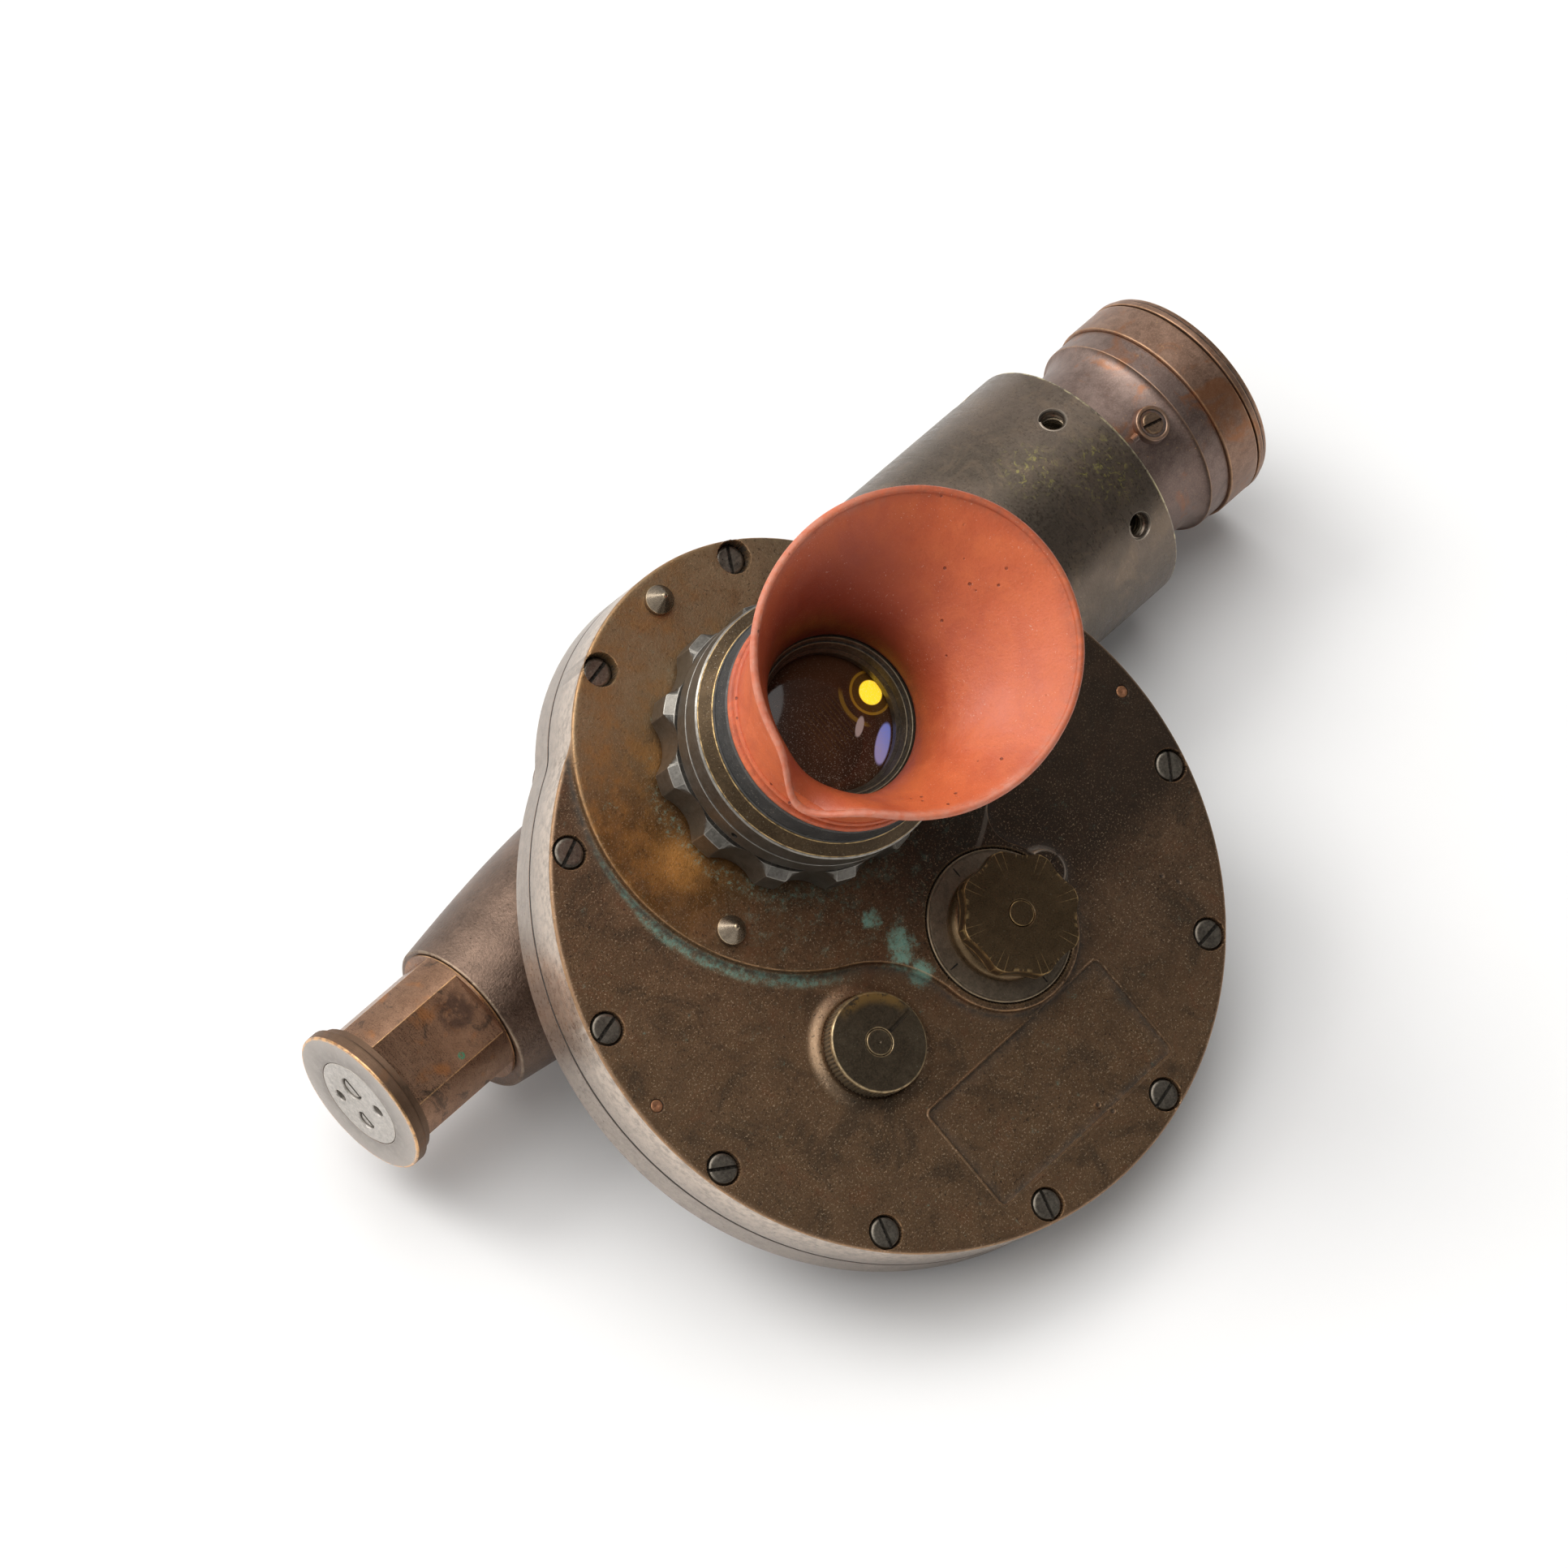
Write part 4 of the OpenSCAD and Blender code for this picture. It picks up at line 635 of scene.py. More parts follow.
def box_depth(p, c, half, r):
    """Depth inside a rectangle with rounded corners."""
    q = np.abs(np.asarray(p) - np.array(c)) - (np.array(half) - r)
    outside = np.hypot(np.maximum(q[:, 0], 0), np.maximum(q[:, 1], 0))
    return r - outside - np.minimum(np.maximum(q[:, 0], q[:, 1]), 0)


def box_row(c, half, r, depth, step=0.9):
    """Points along a rectangle with rounded corners, at one depth inside it."""
    made = []
    hx, hy = half[0] - r, half[1] - r
    rr = max(r - depth, 0.0)
    shrink = max(depth - r, 0.0)
    hx, hy = hx - shrink, hy - shrink
    for k, (sx, sy) in enumerate(((1, 1), (-1, 1), (-1, -1), (1, -1))):
        for j in range(5):
            a = math.pi / 2 * (k + j / 4)
            made.append((c[0] + sx * hx + rr * math.cos(a), c[1] + sy * hy + rr * math.sin(a)))
        start = np.array(made[-1])
        nx, ny = ((-1, 1), (-1, -1), (1, -1), (1, 1))[k]
        a = math.pi / 2 * (k + 1)
        end = np.array((c[0] + nx * hx + rr * math.cos(a), c[1] + ny * hy + rr * math.sin(a)))
        n = int(np.hypot(*(end - start)) / step)
        made += [tuple(start + (end - start) * i / n) for i in range(1, n)]
    return np.array(made)


def scatter(outline, rows, spacing, clear, rim):
    """Even points inside an outline, kept clear of the feature rows."""
    tree = kdtree.KDTree(len(rows))
    for i, p in enumerate(rows):
        tree.insert((p[0], p[1], 0.0), i)
    tree.balance()
    made = []
    for j in range(int(240 / (spacing * 0.866))):
        for i in range(int(220 / spacing)):
            p = (-110 + i * spacing + (j % 2) * spacing / 2, -110 + j * spacing * 0.866)
            made.append(p)
    made = np.array(made)
    made = made[outline.depth(made) > rim]
    return np.array([p for p in made if tree.find((p[0], p[1], 0.0))[2] > clear])


def sheet(rows, keep):
    """Triangles over scattered points, kept where their middle passes the test."""
    points = np.concatenate(rows)
    key = np.round(points, 4)
    points = points[np.unique(key, axis=0, return_index=True)[1]]
    found = delaunay_2d_cdt([Vector(p) for p in points], [], [], 0, 1e-5)
    flat = np.array([tuple(v) for v in found[0]])
    faces = np.array([list(f) for f in found[2]])
    middle = flat[faces].mean(axis=1)
    a, b, c = (flat[faces[:, k]] for k in range(3))
    area = np.abs((b[:, 0] - a[:, 0]) * (c[:, 1] - a[:, 1]) - (b[:, 1] - a[:, 1]) * (c[:, 0] - a[:, 0]))
    return flat, faces[keep(middle) & (area > 1e-7)]


def open_edges(faces):
    """Directed edges that only one face has."""
    seen = {}
    for face in faces:
        for k in range(len(face)):
            a, b = int(face[k]), int(face[(k + 1) % len(face)])
            seen[(a, b)] = True
    return [(a, b) for a, b in seen if (b, a) not in seen]


def slab(piece, top, low, kinds=(0, 1, 0)):
    """Closes a top and an underside, each (flat points, heights, faces, wear, grime), with walls."""
    (tp, tz, tf, tw, tg), (lp, lz, lf, lw, lg) = top, low
    start = len(piece.points)
    piece.add([(x, y, z) for (x, y), z in zip(tp, tz)], tf, tw, tg, kind=kinds[0])
    base = len(piece.points) - start
    piece.add([(x, y, z) for (x, y), z in zip(lp, lz)], lf, lw, lg, kind=kinds[2])
    below = {(round(x, 3), round(y, 3)): i for i, (x, y) in enumerate(lp)}
    walls = []
    for a, b in open_edges(tf):
        ka, kb = (tuple(round(float(v), 3) for v in tp[i]) for i in (a, b))
        if ka in below and kb in below:
            walls.append([start + a, start + base + below[ka], start + base + below[kb], start + b])
    piece.faces += walls
    piece.kinds += [kinds[1]] * len(walls)


def swell(p, height, scale=0.045, seed=3.0):
    """Slow waves of a casting's face."""
    return np.array([noise.noise(Vector((x * scale, y * scale, seed))) + 0.5
        * noise.noise(Vector((x * scale * 2.7, y * scale * 2.7, seed + 7))) for x, y in p]) * height


# Geometry Nodes

class Recipe:
    """Geometry Nodes tree of one repeated feature, with named inputs for its sizes."""

    def __init__(self, name, inputs):
        self.tree = bpy.data.node_groups.new(name, "GeometryNodeTree")
        face = self.tree.interface
        face.new_socket("Geometry", in_out="INPUT", socket_type="NodeSocketGeometry")
        self.ids = {}
        for label, value in inputs.items():
            kind = "Material" if isinstance(value, bpy.types.Material) else "Int" if isinstance(value,
                int) else "Float"
            self.ids[label] = face.new_socket(label, in_out="INPUT",
                socket_type=f"NodeSocket{kind}").identifier
        face.new_socket("Geometry", in_out="OUTPUT", socket_type="NodeSocketGeometry")
        self.values = inputs
        entry = self.tree.nodes.new("NodeGroupInput")
        self.given = {label: Value(self, entry.outputs[label]) for label in ("Geometry", *inputs)}
        self.out = self.tree.nodes.new("NodeGroupOutput")

    def add(self, kind, values=None, **settings):
        node = self.tree.nodes.new(kind)
        for name, value in settings.items():
            setattr(node, name, value)
        for name, value in (values or {}).items():
            socket = node.inputs[name]
            value = self.given[value] if isinstance(value, str) else value
            value = getattr(value, "socket", value)
            if isinstance(value, bpy.types.NodeSocket):
                self.tree.links.new(value, socket)
            else:
                socket.default_value = value
        return node

    def math(self, operation, a, b=0.0):
        return Value(self, self.add("ShaderNodeMath", {0: a, 1: b}, operation=operation).outputs[0])

    def position(self):
        """The three coordinates of each point."""
        here = self.add("GeometryNodeInputPosition").outputs[0]
        return [Value(self, side) for side in self.add("ShaderNodeSeparateXYZ", {0: here}).outputs]

    def finish(self, shape, material_label):
        real = self.add("GeometryNodeRealizeInstances", {"Geometry": shape})
        dressed = self.add("GeometryNodeSetMaterial", {"Geometry": real.outputs[0],
            "Material": material_label})
        self.tree.links.new(dressed.outputs[0], self.out.inputs[0])

    def grow(self, mesh, name):
        """Runs the tree on a mesh and gives the plain result."""
        made = loose_object(mesh)
        step = made.modifiers.new("recipe", "NODES")
        step.node_group = self.tree
        for label, identifier in self.ids.items():
            step[identifier] = self.values[label]
        return evaluated_mesh(made, name)


def points_mesh(places, turns, name="places"):
    """Loose points with the turn of what stands on each."""
    mesh = bpy.data.meshes.new(name)
    mesh.from_pydata([Vector(p) for p in places], [], [])
    mesh.attributes.new("turn", "FLOAT_VECTOR", "POINT").data.foreach_set("vector",
        np.array(turns, np.float32).ravel())
    return mesh


def instanced(recipe, shape):
    """Puts a shape on every point, turned as the point says."""
    turn = recipe.add("GeometryNodeInputNamedAttribute", data_type="FLOAT_VECTOR")
    turn.inputs["Name"].default_value = "turn"
    on = recipe.add("GeometryNodeInstanceOnPoints", {"Points": "Geometry", "Instance": shape,
        "Rotation": turn.outputs[0]})
    return on.outputs[0]


# Finishes

FINISH = {}


def cover_extra(f, colour, roughness, metalness):
    """Golden handled boss, stains, sandy specks partly painted as glints, green bloom at the foot of the
    boss, and painted light and shade: lit towards the rear, painted shade towards the objective and by the
    pads, the density knob's painted shadow, and painted highlights and sheen on the boss, its edge and the
    ear.
    """
    tints = bpy.context.scene.telescope_colours
    gold, green = tuple(tints.boss_gold), tuple(tints.verdigris)
    from_eye = f.radius(0.0, EYE_Y)
    from_middle = f.radius(0.0, 0.0)
    from_filter = f.radius(*FILTER_AT)
    patches = f.noise(0.045, 4.0, 0.6, twist=1.2)
    cloud = f.noise(0.16, 5.0, 0.65)
    # Painted light: the cover lighter towards the rear end and away from the eyepiece.
    lit = f.span(f.x + f.y, 30.0, -50.0) * f.span(cloud, 0.25, 0.75, 0.4, 1.0)
    colour = f.blend(lit * 0.5, colour, (0.25, 0.145, 0.070))
    stain = f.noise(0.07, 6.0, 0.72, twist=0.9)
    colour = f.blend(f.span(stain, 0.50, 0.64, 0.0, 0.5), colour, (0.052, 0.040, 0.027))
    colour = f.blend(f.span(stain, 0.46, 0.34, 0.0, 0.45), colour, (0.20, 0.088, 0.042))
    on_boss = f.span(from_eye, LOBE_R - 0.4, LOBE_R + 0.4, 1.0, 0.0)
    handled = on_boss * f.span(f.x - f.y * 0.25, 14.0, -26.0)
    handled *= f.span(patches, 0.25, 0.6, 0.5, 1.0)
    handled *= f.span(f.y + cloud * 20.0, 26.0, 46.0, 0.15, 1.0)
    colour = f.blend(handled, colour, f.blend(f.span(cloud, 0.36, 0.62), gold, tuple(c * 0.5 for c in gold)))
    # Painted sheen on the far end of the boss, beyond the eyepiece.
    sheen = on_boss * f.span(f.y, 52.0, 84.0)
    colour = f.blend(sheen * f.span(cloud, 0.3, 0.65, 0.35, 0.85), colour, (0.30, 0.205, 0.115))
    # Painted highlight: a soft bright warm spot on the rear side of the boss.
    glow = f.band(f.radius(-40.0, 40.0), 0.0, 1.5, 8.0) * f.span(cloud, 0.3, 0.5, 0.3, 1.0)
    colour = f.blend(glow * 0.8, colour, (0.66, 0.30, 0.075))
    from_density = f.radius(*DENSITY_AT)
    # Painted highlight on the fillet round the density knob, on its side towards the rear and the eyepiece.
    toward = f.y * 0.65 - f.x * 0.76
    gleam = f.band(from_density, 14.0, 15.2, 2.0) * f.span(toward, 10.0, 24.0)
    colour = f.blend(gleam * 0.5, colour, (0.70, 0.48, 0.30))
    # Painted shadow of the density knob on the cover, on its side away from the eyepiece.
    below = f.x * -0.68 + f.y * -0.73
    shadow = f.band(from_density, 12.9, 14.0, 4.5) * f.span(below, 42.0, 50.0)
    colour = f.blend(shadow * 0.55, colour, (0.035, 0.026, 0.018))
    # Painted shade: the cover darker towards the objective end, across the filter knob's pad.
    shade = f.span(f.x, -8.0, 24.0) * f.band(f.y, -22.0, 14.0, 14.0)
    colour = f.blend(shade * 0.8, colour, (0.034, 0.023, 0.016))
    # Painted shade on the boss's objective side.
    reach = on_boss * f.span(f.x + f.y * -0.4, -16.0, 16.0)
    colour = f.blend(reach * 0.45, colour, (0.055, 0.048, 0.036))
    pits = f.span(f.noise(1.3, 3.0, 0.7), 0.42, 0.34) * f.span(handled, 0.0, 0.8, 0.7, 0.35)
    colour = f.blend(pits, colour, (0.030, 0.022, 0.015))
    # Bright sandy specks, partly painted glints of light off the grains, more of them towards the rear and
    # away from the eyepiece.
    specks = f.span(f.noise(1.9, 2.0, 0.65), 0.585, 0.66) * f.span(cloud, 0.35, 0.6, 0.4, 1.0)
    specks *= f.span(handled, 0.0, 0.8, 0.65, 0.3)
    specks *= f.span(f.x + f.y, 75.0, 5.0, 0.3, 1.0)
    colour = f.blend(specks, colour, (0.60, 0.43, 0.28))
    around = f.math("ARCTAN2", EYE_Y - f.y, f.x * -1.0)
    side = f.span(around, -0.35, 0.0) * f.span(around, 0.9, 1.25, 1.0, 0.0)
    side *= f.span(from_middle, DISC_R - 1.0, DISC_R - 4.0)
    wide = f.span(around, -0.1, 0.3, LOBE_R + 1.2, LOBE_R + 2.4)
    outside = (from_eye - (LOBE_R + 0.3)) / (wide - (LOBE_R + 0.3))
    ring = f.span(from_eye, LOBE_R + 0.1, LOBE_R + 0.7) * f.span(outside, 0.9, 1.9, 1.0, 0.0)
    bloom = ring * side * f.span(f.noise(0.5, 6.0, 0.8), 0.42, 0.60, 0.12, 1.0)
    pad = f.math("MAXIMUM", f.band(f.radius(-9.3, -10.0), 0.0, 0.5, 8.5),
        f.band(f.radius(-8.6, -18.5), 0.0, 0.5, 5.5))
    pad = f.math("MAXIMUM", pad, f.band(f.radius(-10.4, -1.0), 0.0, 0.5, 5.0) * 0.7)
    ragged = (f.noise(0.22, 7.0, 0.82) - 0.52) * 3.4
    pad = f.span(pad + ragged, 0.25, 0.95) * f.span(from_filter, 20.2, 21.5)
    near_grip = f.band(from_eye, 34.5, 37.0, 2.0) * f.span(f.noise(0.7, 6.0, 0.85), 0.50, 0.64, 0.0, 0.7)
    near_grip = near_grip * (f.span(around, -0.6, -0.2) * f.span(around, 1.9, 2.3, 1.0, 0.0))
    film = f.band(from_eye, 36.0, 49.0, 5.0) * f.span(f.noise(0.3, 6.0, 0.8), 0.52, 0.66, 0.0, 0.3)
    film = film * (f.span(around, 0.3, 0.7) * f.span(around, 1.9, 2.4, 1.0, 0.0))
    bloom = f.math("MAXIMUM", f.math("MAXIMUM", bloom, pad), f.math("MAXIMUM", near_grip, film))
    powder = f.noise(1.4, 4.0, 0.7)
    colour = f.blend(bloom * f.span(powder, 0.36, 0.56, 0.55, 1.0), colour,
        f.blend(f.span(powder, 0.4, 0.7), green, tuple(c * 0.55 for c in green)))
    roughness = f.fade(bloom, roughness, 0.9)
    metalness = f.fade(bloom, metalness, 0.0)
    edge = f.span(from_middle, DISC_R - 1.1, DISC_R - 0.3) * f.span(from_eye, LOBE_R - 0.5, LOBE_R + 0.5,
        0.0, 0.4)
    colour = f.blend(edge, colour, (0.40, 0.25, 0.15))
    # Painted highlights: a pale line along the boss's edge on its objective side and a pale ring round the
    # ear's edge.
    line = f.band(from_eye, LOBE_R - 0.5, LOBE_R + 0.3, 0.4) * (f.span(around, 1.9, 2.1)
        * f.span(f.x, 10.0, 20.0))
    ear = f.band(f.radius(*EAR_AT), EAR_R - 0.3, EAR_R + 0.9, 0.7) * f.span(from_filter, 20.5, 21.5)
    colour = f.blend(f.math("MAXIMUM", line * 0.3, ear * 0.6), colour, (0.50, 0.43, 0.36))
    ring_gold = f.band(from_filter, 19.8, 20.1, 0.25)
    colour = f.blend(ring_gold * 0.3, colour, (0.3, 0.2, 0.1))
    return colour, roughness, metalness


def density_extra(f, colour, roughness, metalness):
    """Rubbed golden crescent on the far edge of the density knob's dark top."""
    across = f.y - DENSITY_AT[1]
    along = f.x - DENSITY_AT[0]
    turned = f.math("ARCTAN2", across, along) - math.radians(52.0)
    share = f.span(f.radius(*DENSITY_AT), 8.6, 11.4) * f.band(turned, -0.35, 0.55, 0.6)
    share *= f.span(f.noise(0.45, 4.0, 0.7), 0.36, 0.52)
    colour = f.blend(share * 0.85, colour, (0.42, 0.25, 0.08))
    side = f.span(f.z, 5.5, 5.1) * f.span(f.radius(*DENSITY_AT), 11.6, 12.0)
    return f.blend(side, colour, (0.30, 0.235, 0.155)), roughness, metalness


def barrel_extra(f, colour, roughness, metalness):
    """Handling marks, yellow flecks, the bright front edge, the bright lips of the tapped holes, and painted
    shade towards the bore and deep in the holes.
    """
    marks = f.noise(0.075, 6.0, 0.72, twist=1.8)
    colour = f.blend(f.span(marks, 0.46, 0.66, 0.0, 0.75), colour, (0.21, 0.155, 0.110))
    place = f.math("MAXIMUM", f.band(f.radius(134.0, 43.0), 0.0, 3.0, 11.0),
        f.band(f.radius(119.0, 55.0), 0.0, 2.0, 9.0))
    flecks = f.span(f.noise(0.5, 6.0, 0.85, twist=1.0), 0.54, 0.62) * (place * f.span(f.z, -45.0, -38.0))
    colour = f.blend(flecks * 0.75, colour, (0.52, 0.47, 0.13))
    front = f.span(f.x, 144.2, 144.75) * f.span(f.noise(0.12, 4.0, 0.8), 0.44, 0.60)
    colour = f.blend(front, colour, (0.85, 0.74, 0.42))
    around = f.math("PINGPONG", f.round_tube() + math.radians(390.0), math.radians(30.0)) * BARREL_R
    along = f.x - HOLE_X
    away = f.math("SQRT", around * around + along * along)
    lip = f.band(away, HOLE_R + 0.1, HOLE_R + 0.4, 0.2)
    colour = f.blend(lip * 0.7, colour, (0.42, 0.36, 0.29))
    # Painted shade: darker towards the bore, on the inner end faces and the threads deep in the tapped holes.
    deep = f.span(f.radius(EYE_Y, -TUBE_DROP, "YZ"), 34.4, 31.5)
    colour = f.blend(deep * 0.6, colour, (0.09, 0.07, 0.035))
    return colour, roughness, metalness


def stem_extra(f, colour, roughness, metalness):
    """Dark flange and band on the shank's side, stains on the flats, pale end face."""
    stain = f.span(f.noise(0.14, 5.0, 0.7, twist=0.8), 0.56, 0.66)
    colour = f.blend(stain * 0.75, colour, (0.075, 0.055, 0.042))
    warm = f.span(f.noise(0.11, 3.0, 0.6), 0.54, 0.68)
    colour = f.blend(warm * 0.6, colour, (0.46, 0.18, 0.055))
    smudge = f.band(f.radius(-90.5, 46.5), 0.0, 3.0, 3.5) * f.span(f.noise(0.3, 4.0, 0.7), 0.4, 0.55)
    colour = f.blend(smudge * 0.8, colour, (0.075, 0.045, 0.035))
    speck = f.span(f.radius(-96.6, 37.3), 1.1, 0.7) * f.span(f.noise(0.9, 4.0, 0.8), 0.42, 0.52)
    speck *= f.span(f.z, -55.0, -50.0)
    colour = f.blend(speck, colour, (0.07, 0.34, 0.20))
    band = f.band(f.x, STEM_END + 0.7, STEM_FLANGE_X + 2.1, 0.25)
    colour = f.blend(band * 0.7, colour, (0.13, 0.085, 0.055))
    end = f.span(f.x, STEM_END + 0.25, STEM_END - 0.05)
    colour = f.blend(end, colour, (0.46, 0.42, 0.385))
    return colour, f.fade(band, roughness, 0.55), metalness


def tube_extra(f, colour, roughness, metalness):
    """Reddish rubbed places and gold scratches on the objective's bronze."""
    red = f.span(f.noise(0.075, 4.0, 0.65, twist=1.0), 0.52, 0.66)
    colour = f.blend(red * 0.6, colour, (0.33, 0.125, 0.045))
    gold = f.span(f.noise(0.9, 4.0, 0.8), 0.62, 0.70) * f.span(f.noise(0.1, 2.0), 0.54, 0.64)
    return f.blend(gold * 0.7, colour, (0.75, 0.44, 0.17)), roughness, metalness


def rubber_finish(name):
    """Old terracotta rubber: painted shade on the inner wall and deep in the throat, dusty and rubbed on the
    lip, with small nicks.
    """
    base = tuple(bpy.context.scene.telescope_colours.rubber)
    f = Finish(name, 0.0, 0.5)
    slow = f.noise(0.035, 4.0, 0.6, twist=0.8)
    middle = f.noise(0.16, 5.0, 0.65)
    fine = f.noise(1.7, 4.0, 0.7)
    colour = f.blend(f.span(slow, 0.35, 0.68), base, (base[0] * 0.80, base[1] * 0.72, base[2] * 0.8))
    colour = f.blend(f.span(middle, 0.4, 0.72, 0.0, 0.35), colour, (min(1.0, base[0] * 1.12), base[1] * 1.3,
        base[2] * 1.1))
    colour = f.blend(f.span(fine, 0.45, 0.75, 0.0, 0.25), colour, (base[0] * 0.55, base[1] * 0.45, base[2]
        * 0.5))
    y = f.y - EYE_Y
    # Painted shade: the inside of the horn darker on its eyepiece side and lower down.
    far = f.span(f.x * 0.35 - y, 22.0, -34.0)
    dim = far * f.mark("inside") * f.span(f.z, 72.0, 53.0, 0.05, 1.0)
    colour = f.blend(dim, colour, (base[0] * 0.25, base[1] * 0.14, base[2] * 0.18))
    # Painted shade deep in the throat, above the eye lens.
    deep = f.span(f.z, 56.0, 41.0) * f.mark("inside") * f.span(y, -16.0, 14.0, 0.15, 0.9)
    colour = f.blend(deep, colour, (base[0] * 0.14, base[1] * 0.05, base[2] * 0.05))
    streak = f.noise(0.5, 3.0, 0.6, stretch=(1.0, 1.0, 0.25))
    rubbed = f.mark("wear") * f.span(streak, 0.30, 0.72, 0.15, 0.55)
    colour = f.blend(rubbed, colour, f.blend(f.span(f.x, 12.0, 42.0), (0.62, 0.32, 0.24),
        (0.24, 0.085, 0.050)))
    soot = f.mark("grime") * f.span(f.noise(0.3, 4.0, 0.7), 0.35, 0.62)
    colour = f.blend(soot * 0.7, colour, (0.12, 0.035, 0.022))
    motes = f.span(f.noise(2.0, 2.0, 0.6), 0.66, 0.71) * f.span(f.noise(0.09, 2.0), 0.4, 0.62)
    colour = f.blend(motes * 0.5, colour, (0.80, 0.52, 0.40))
    pits = f.span(f.cells(0.30), 0.15, 0.08) * f.span(f.noise(0.055, 2.0), 0.56, 0.62)
    colour = f.blend(pits * 0.75, colour, (0.14, 0.025, 0.015))
    roughness = f.fade(rubbed, f.span(middle, 0.3, 0.7, 0.36, 0.48), 0.6)
    height = fine * 0.25 + middle * 0.75 - pits * 0.6
    return f.set(colour=colour, rough=roughness, normal=f.bump(height, 0.35))


def eye_lens_finish(name):
    """Dark brown glass with dust on it, and painted reflections and a painted glowing yellow spot for the
    filter and the prism inside it.
    """
    f = Finish(name, 0.0, 0.06)
    y = f.y - EYE_Y

    def spot(x0, y0, turn, half_x, half_y, soft):
        """Distance from a place on the lens in units of an oval, and the soft oval itself."""
        dx, dy = f.x - x0, y - y0
        c, s = math.cos(math.radians(turn)), math.sin(math.radians(turn))
        along = (dx * c + dy * s) / half_x
        across = (dy * c - dx * s) / half_y
        size = f.math("SQRT", along * along + across * across)
        return size, f.span(size, 1.0, 1.0 - soft)

    base = f.blend(f.span(f.noise(0.08, 3.0), 0.35, 0.65), (0.045, 0.017, 0.008), (0.075, 0.030, 0.014))
    # Painted reflections on the glass: a yellow spot with a halo and rings, arcs, faint stripes, a blue patch
    # and a pink fleck.
    size, yellow = spot(14.6, -1.3, 0.0, 3.6, 3.3, 0.12)
    halo = f.span(size, 2.0, 1.25) * 0.55
    rings = f.band(size, 1.52, 1.66, 0.06)
    colour = f.blend(halo, base, (0.16, 0.072, 0.008))
    colour = f.blend(rings * 0.9, colour, (0.42, 0.21, 0.02))
    arc_size = spot(13.6, -1.4, 0.0, 8.6, 8.2, 0.1)[0]
    arcs = f.band(arc_size, 0.86, 0.94, 0.05) * f.span(f.x, 9.0, 7.0)
    colour = f.blend(arcs * 0.55, colour, (0.38, 0.20, 0.02))
    lines = f.math("SINE", f.x * 5.2)
    stripes = f.span(lines, 0.2, 1.0) * f.band(y - -1.2, -4.2, 4.2, 3.0)
    stripes *= f.band(f.x, -4.0, 5.0, 4.0)
    colour = f.blend(stripes * 0.14, colour, (0.24, 0.12, 0.02))
    grain = f.span(f.noise(3.2, 2.0, 0.7), 0.56, 0.66)
    colour = f.blend(yellow, colour, f.blend(grain, (0.92, 0.58, 0.022), (0.95, 0.72, 0.16)))
    blue = spot(8.6, -12.6, 33.0, 6.0, 2.4, 0.2)[1]
    blue *= f.span(f.radius(0.0, EYE_Y), 17.2, 16.7)
    colour = f.blend(blue, colour, f.blend(f.span(f.x, 5.0, 13.0), (0.33, 0.27, 0.50), (0.20, 0.23, 0.62)))
    pink = spot(5.9, -5.7, 31.0, 3.1, 1.15, 0.25)[1]
    colour = f.blend(pink, colour, (0.52, 0.40, 0.37))
    motes = f.span(f.noise(2.6, 2.0, 0.75), 0.58, 0.66)
    thick = f.span(f.x, 12.0, -16.0, 0.12, 0.62)
    dusty = f.math("MULTIPLY", motes, thick + f.span(y, -2.0, -14.0, 0.0, 0.35), clamp=True)
    colour = f.blend(dusty, colour, (0.36, 0.28, 0.22))
    # Painted glow: the yellow spot and, faintly, the blue patch give off light.
    light = f.math("MAXIMUM", yellow * 0.95, blue * 0.30)
    return f.set(colour=colour, rough=f.fade(dusty, 0.06, 0.5), glow=colour, glow_strength=light,
        specular=0.35)


def clear_finish(name, colour=(1.0, 1.0, 1.0), rough=0.02):
    """Glass of an optical part, very slightly uneven in its polish."""
    f = Finish(name, 0.0, rough)
    smear = f.noise(0.12, 4.0, 0.6)
    return f.set(colour=f.blend(f.span(smear, 0.3, 0.8, 0.0, 0.12), colour, tuple(c * 0.8 for c in colour)),
        rough=f.span(smear, 0.35, 0.8, rough, rough + 0.05), clear=1.0, ior=1.5)


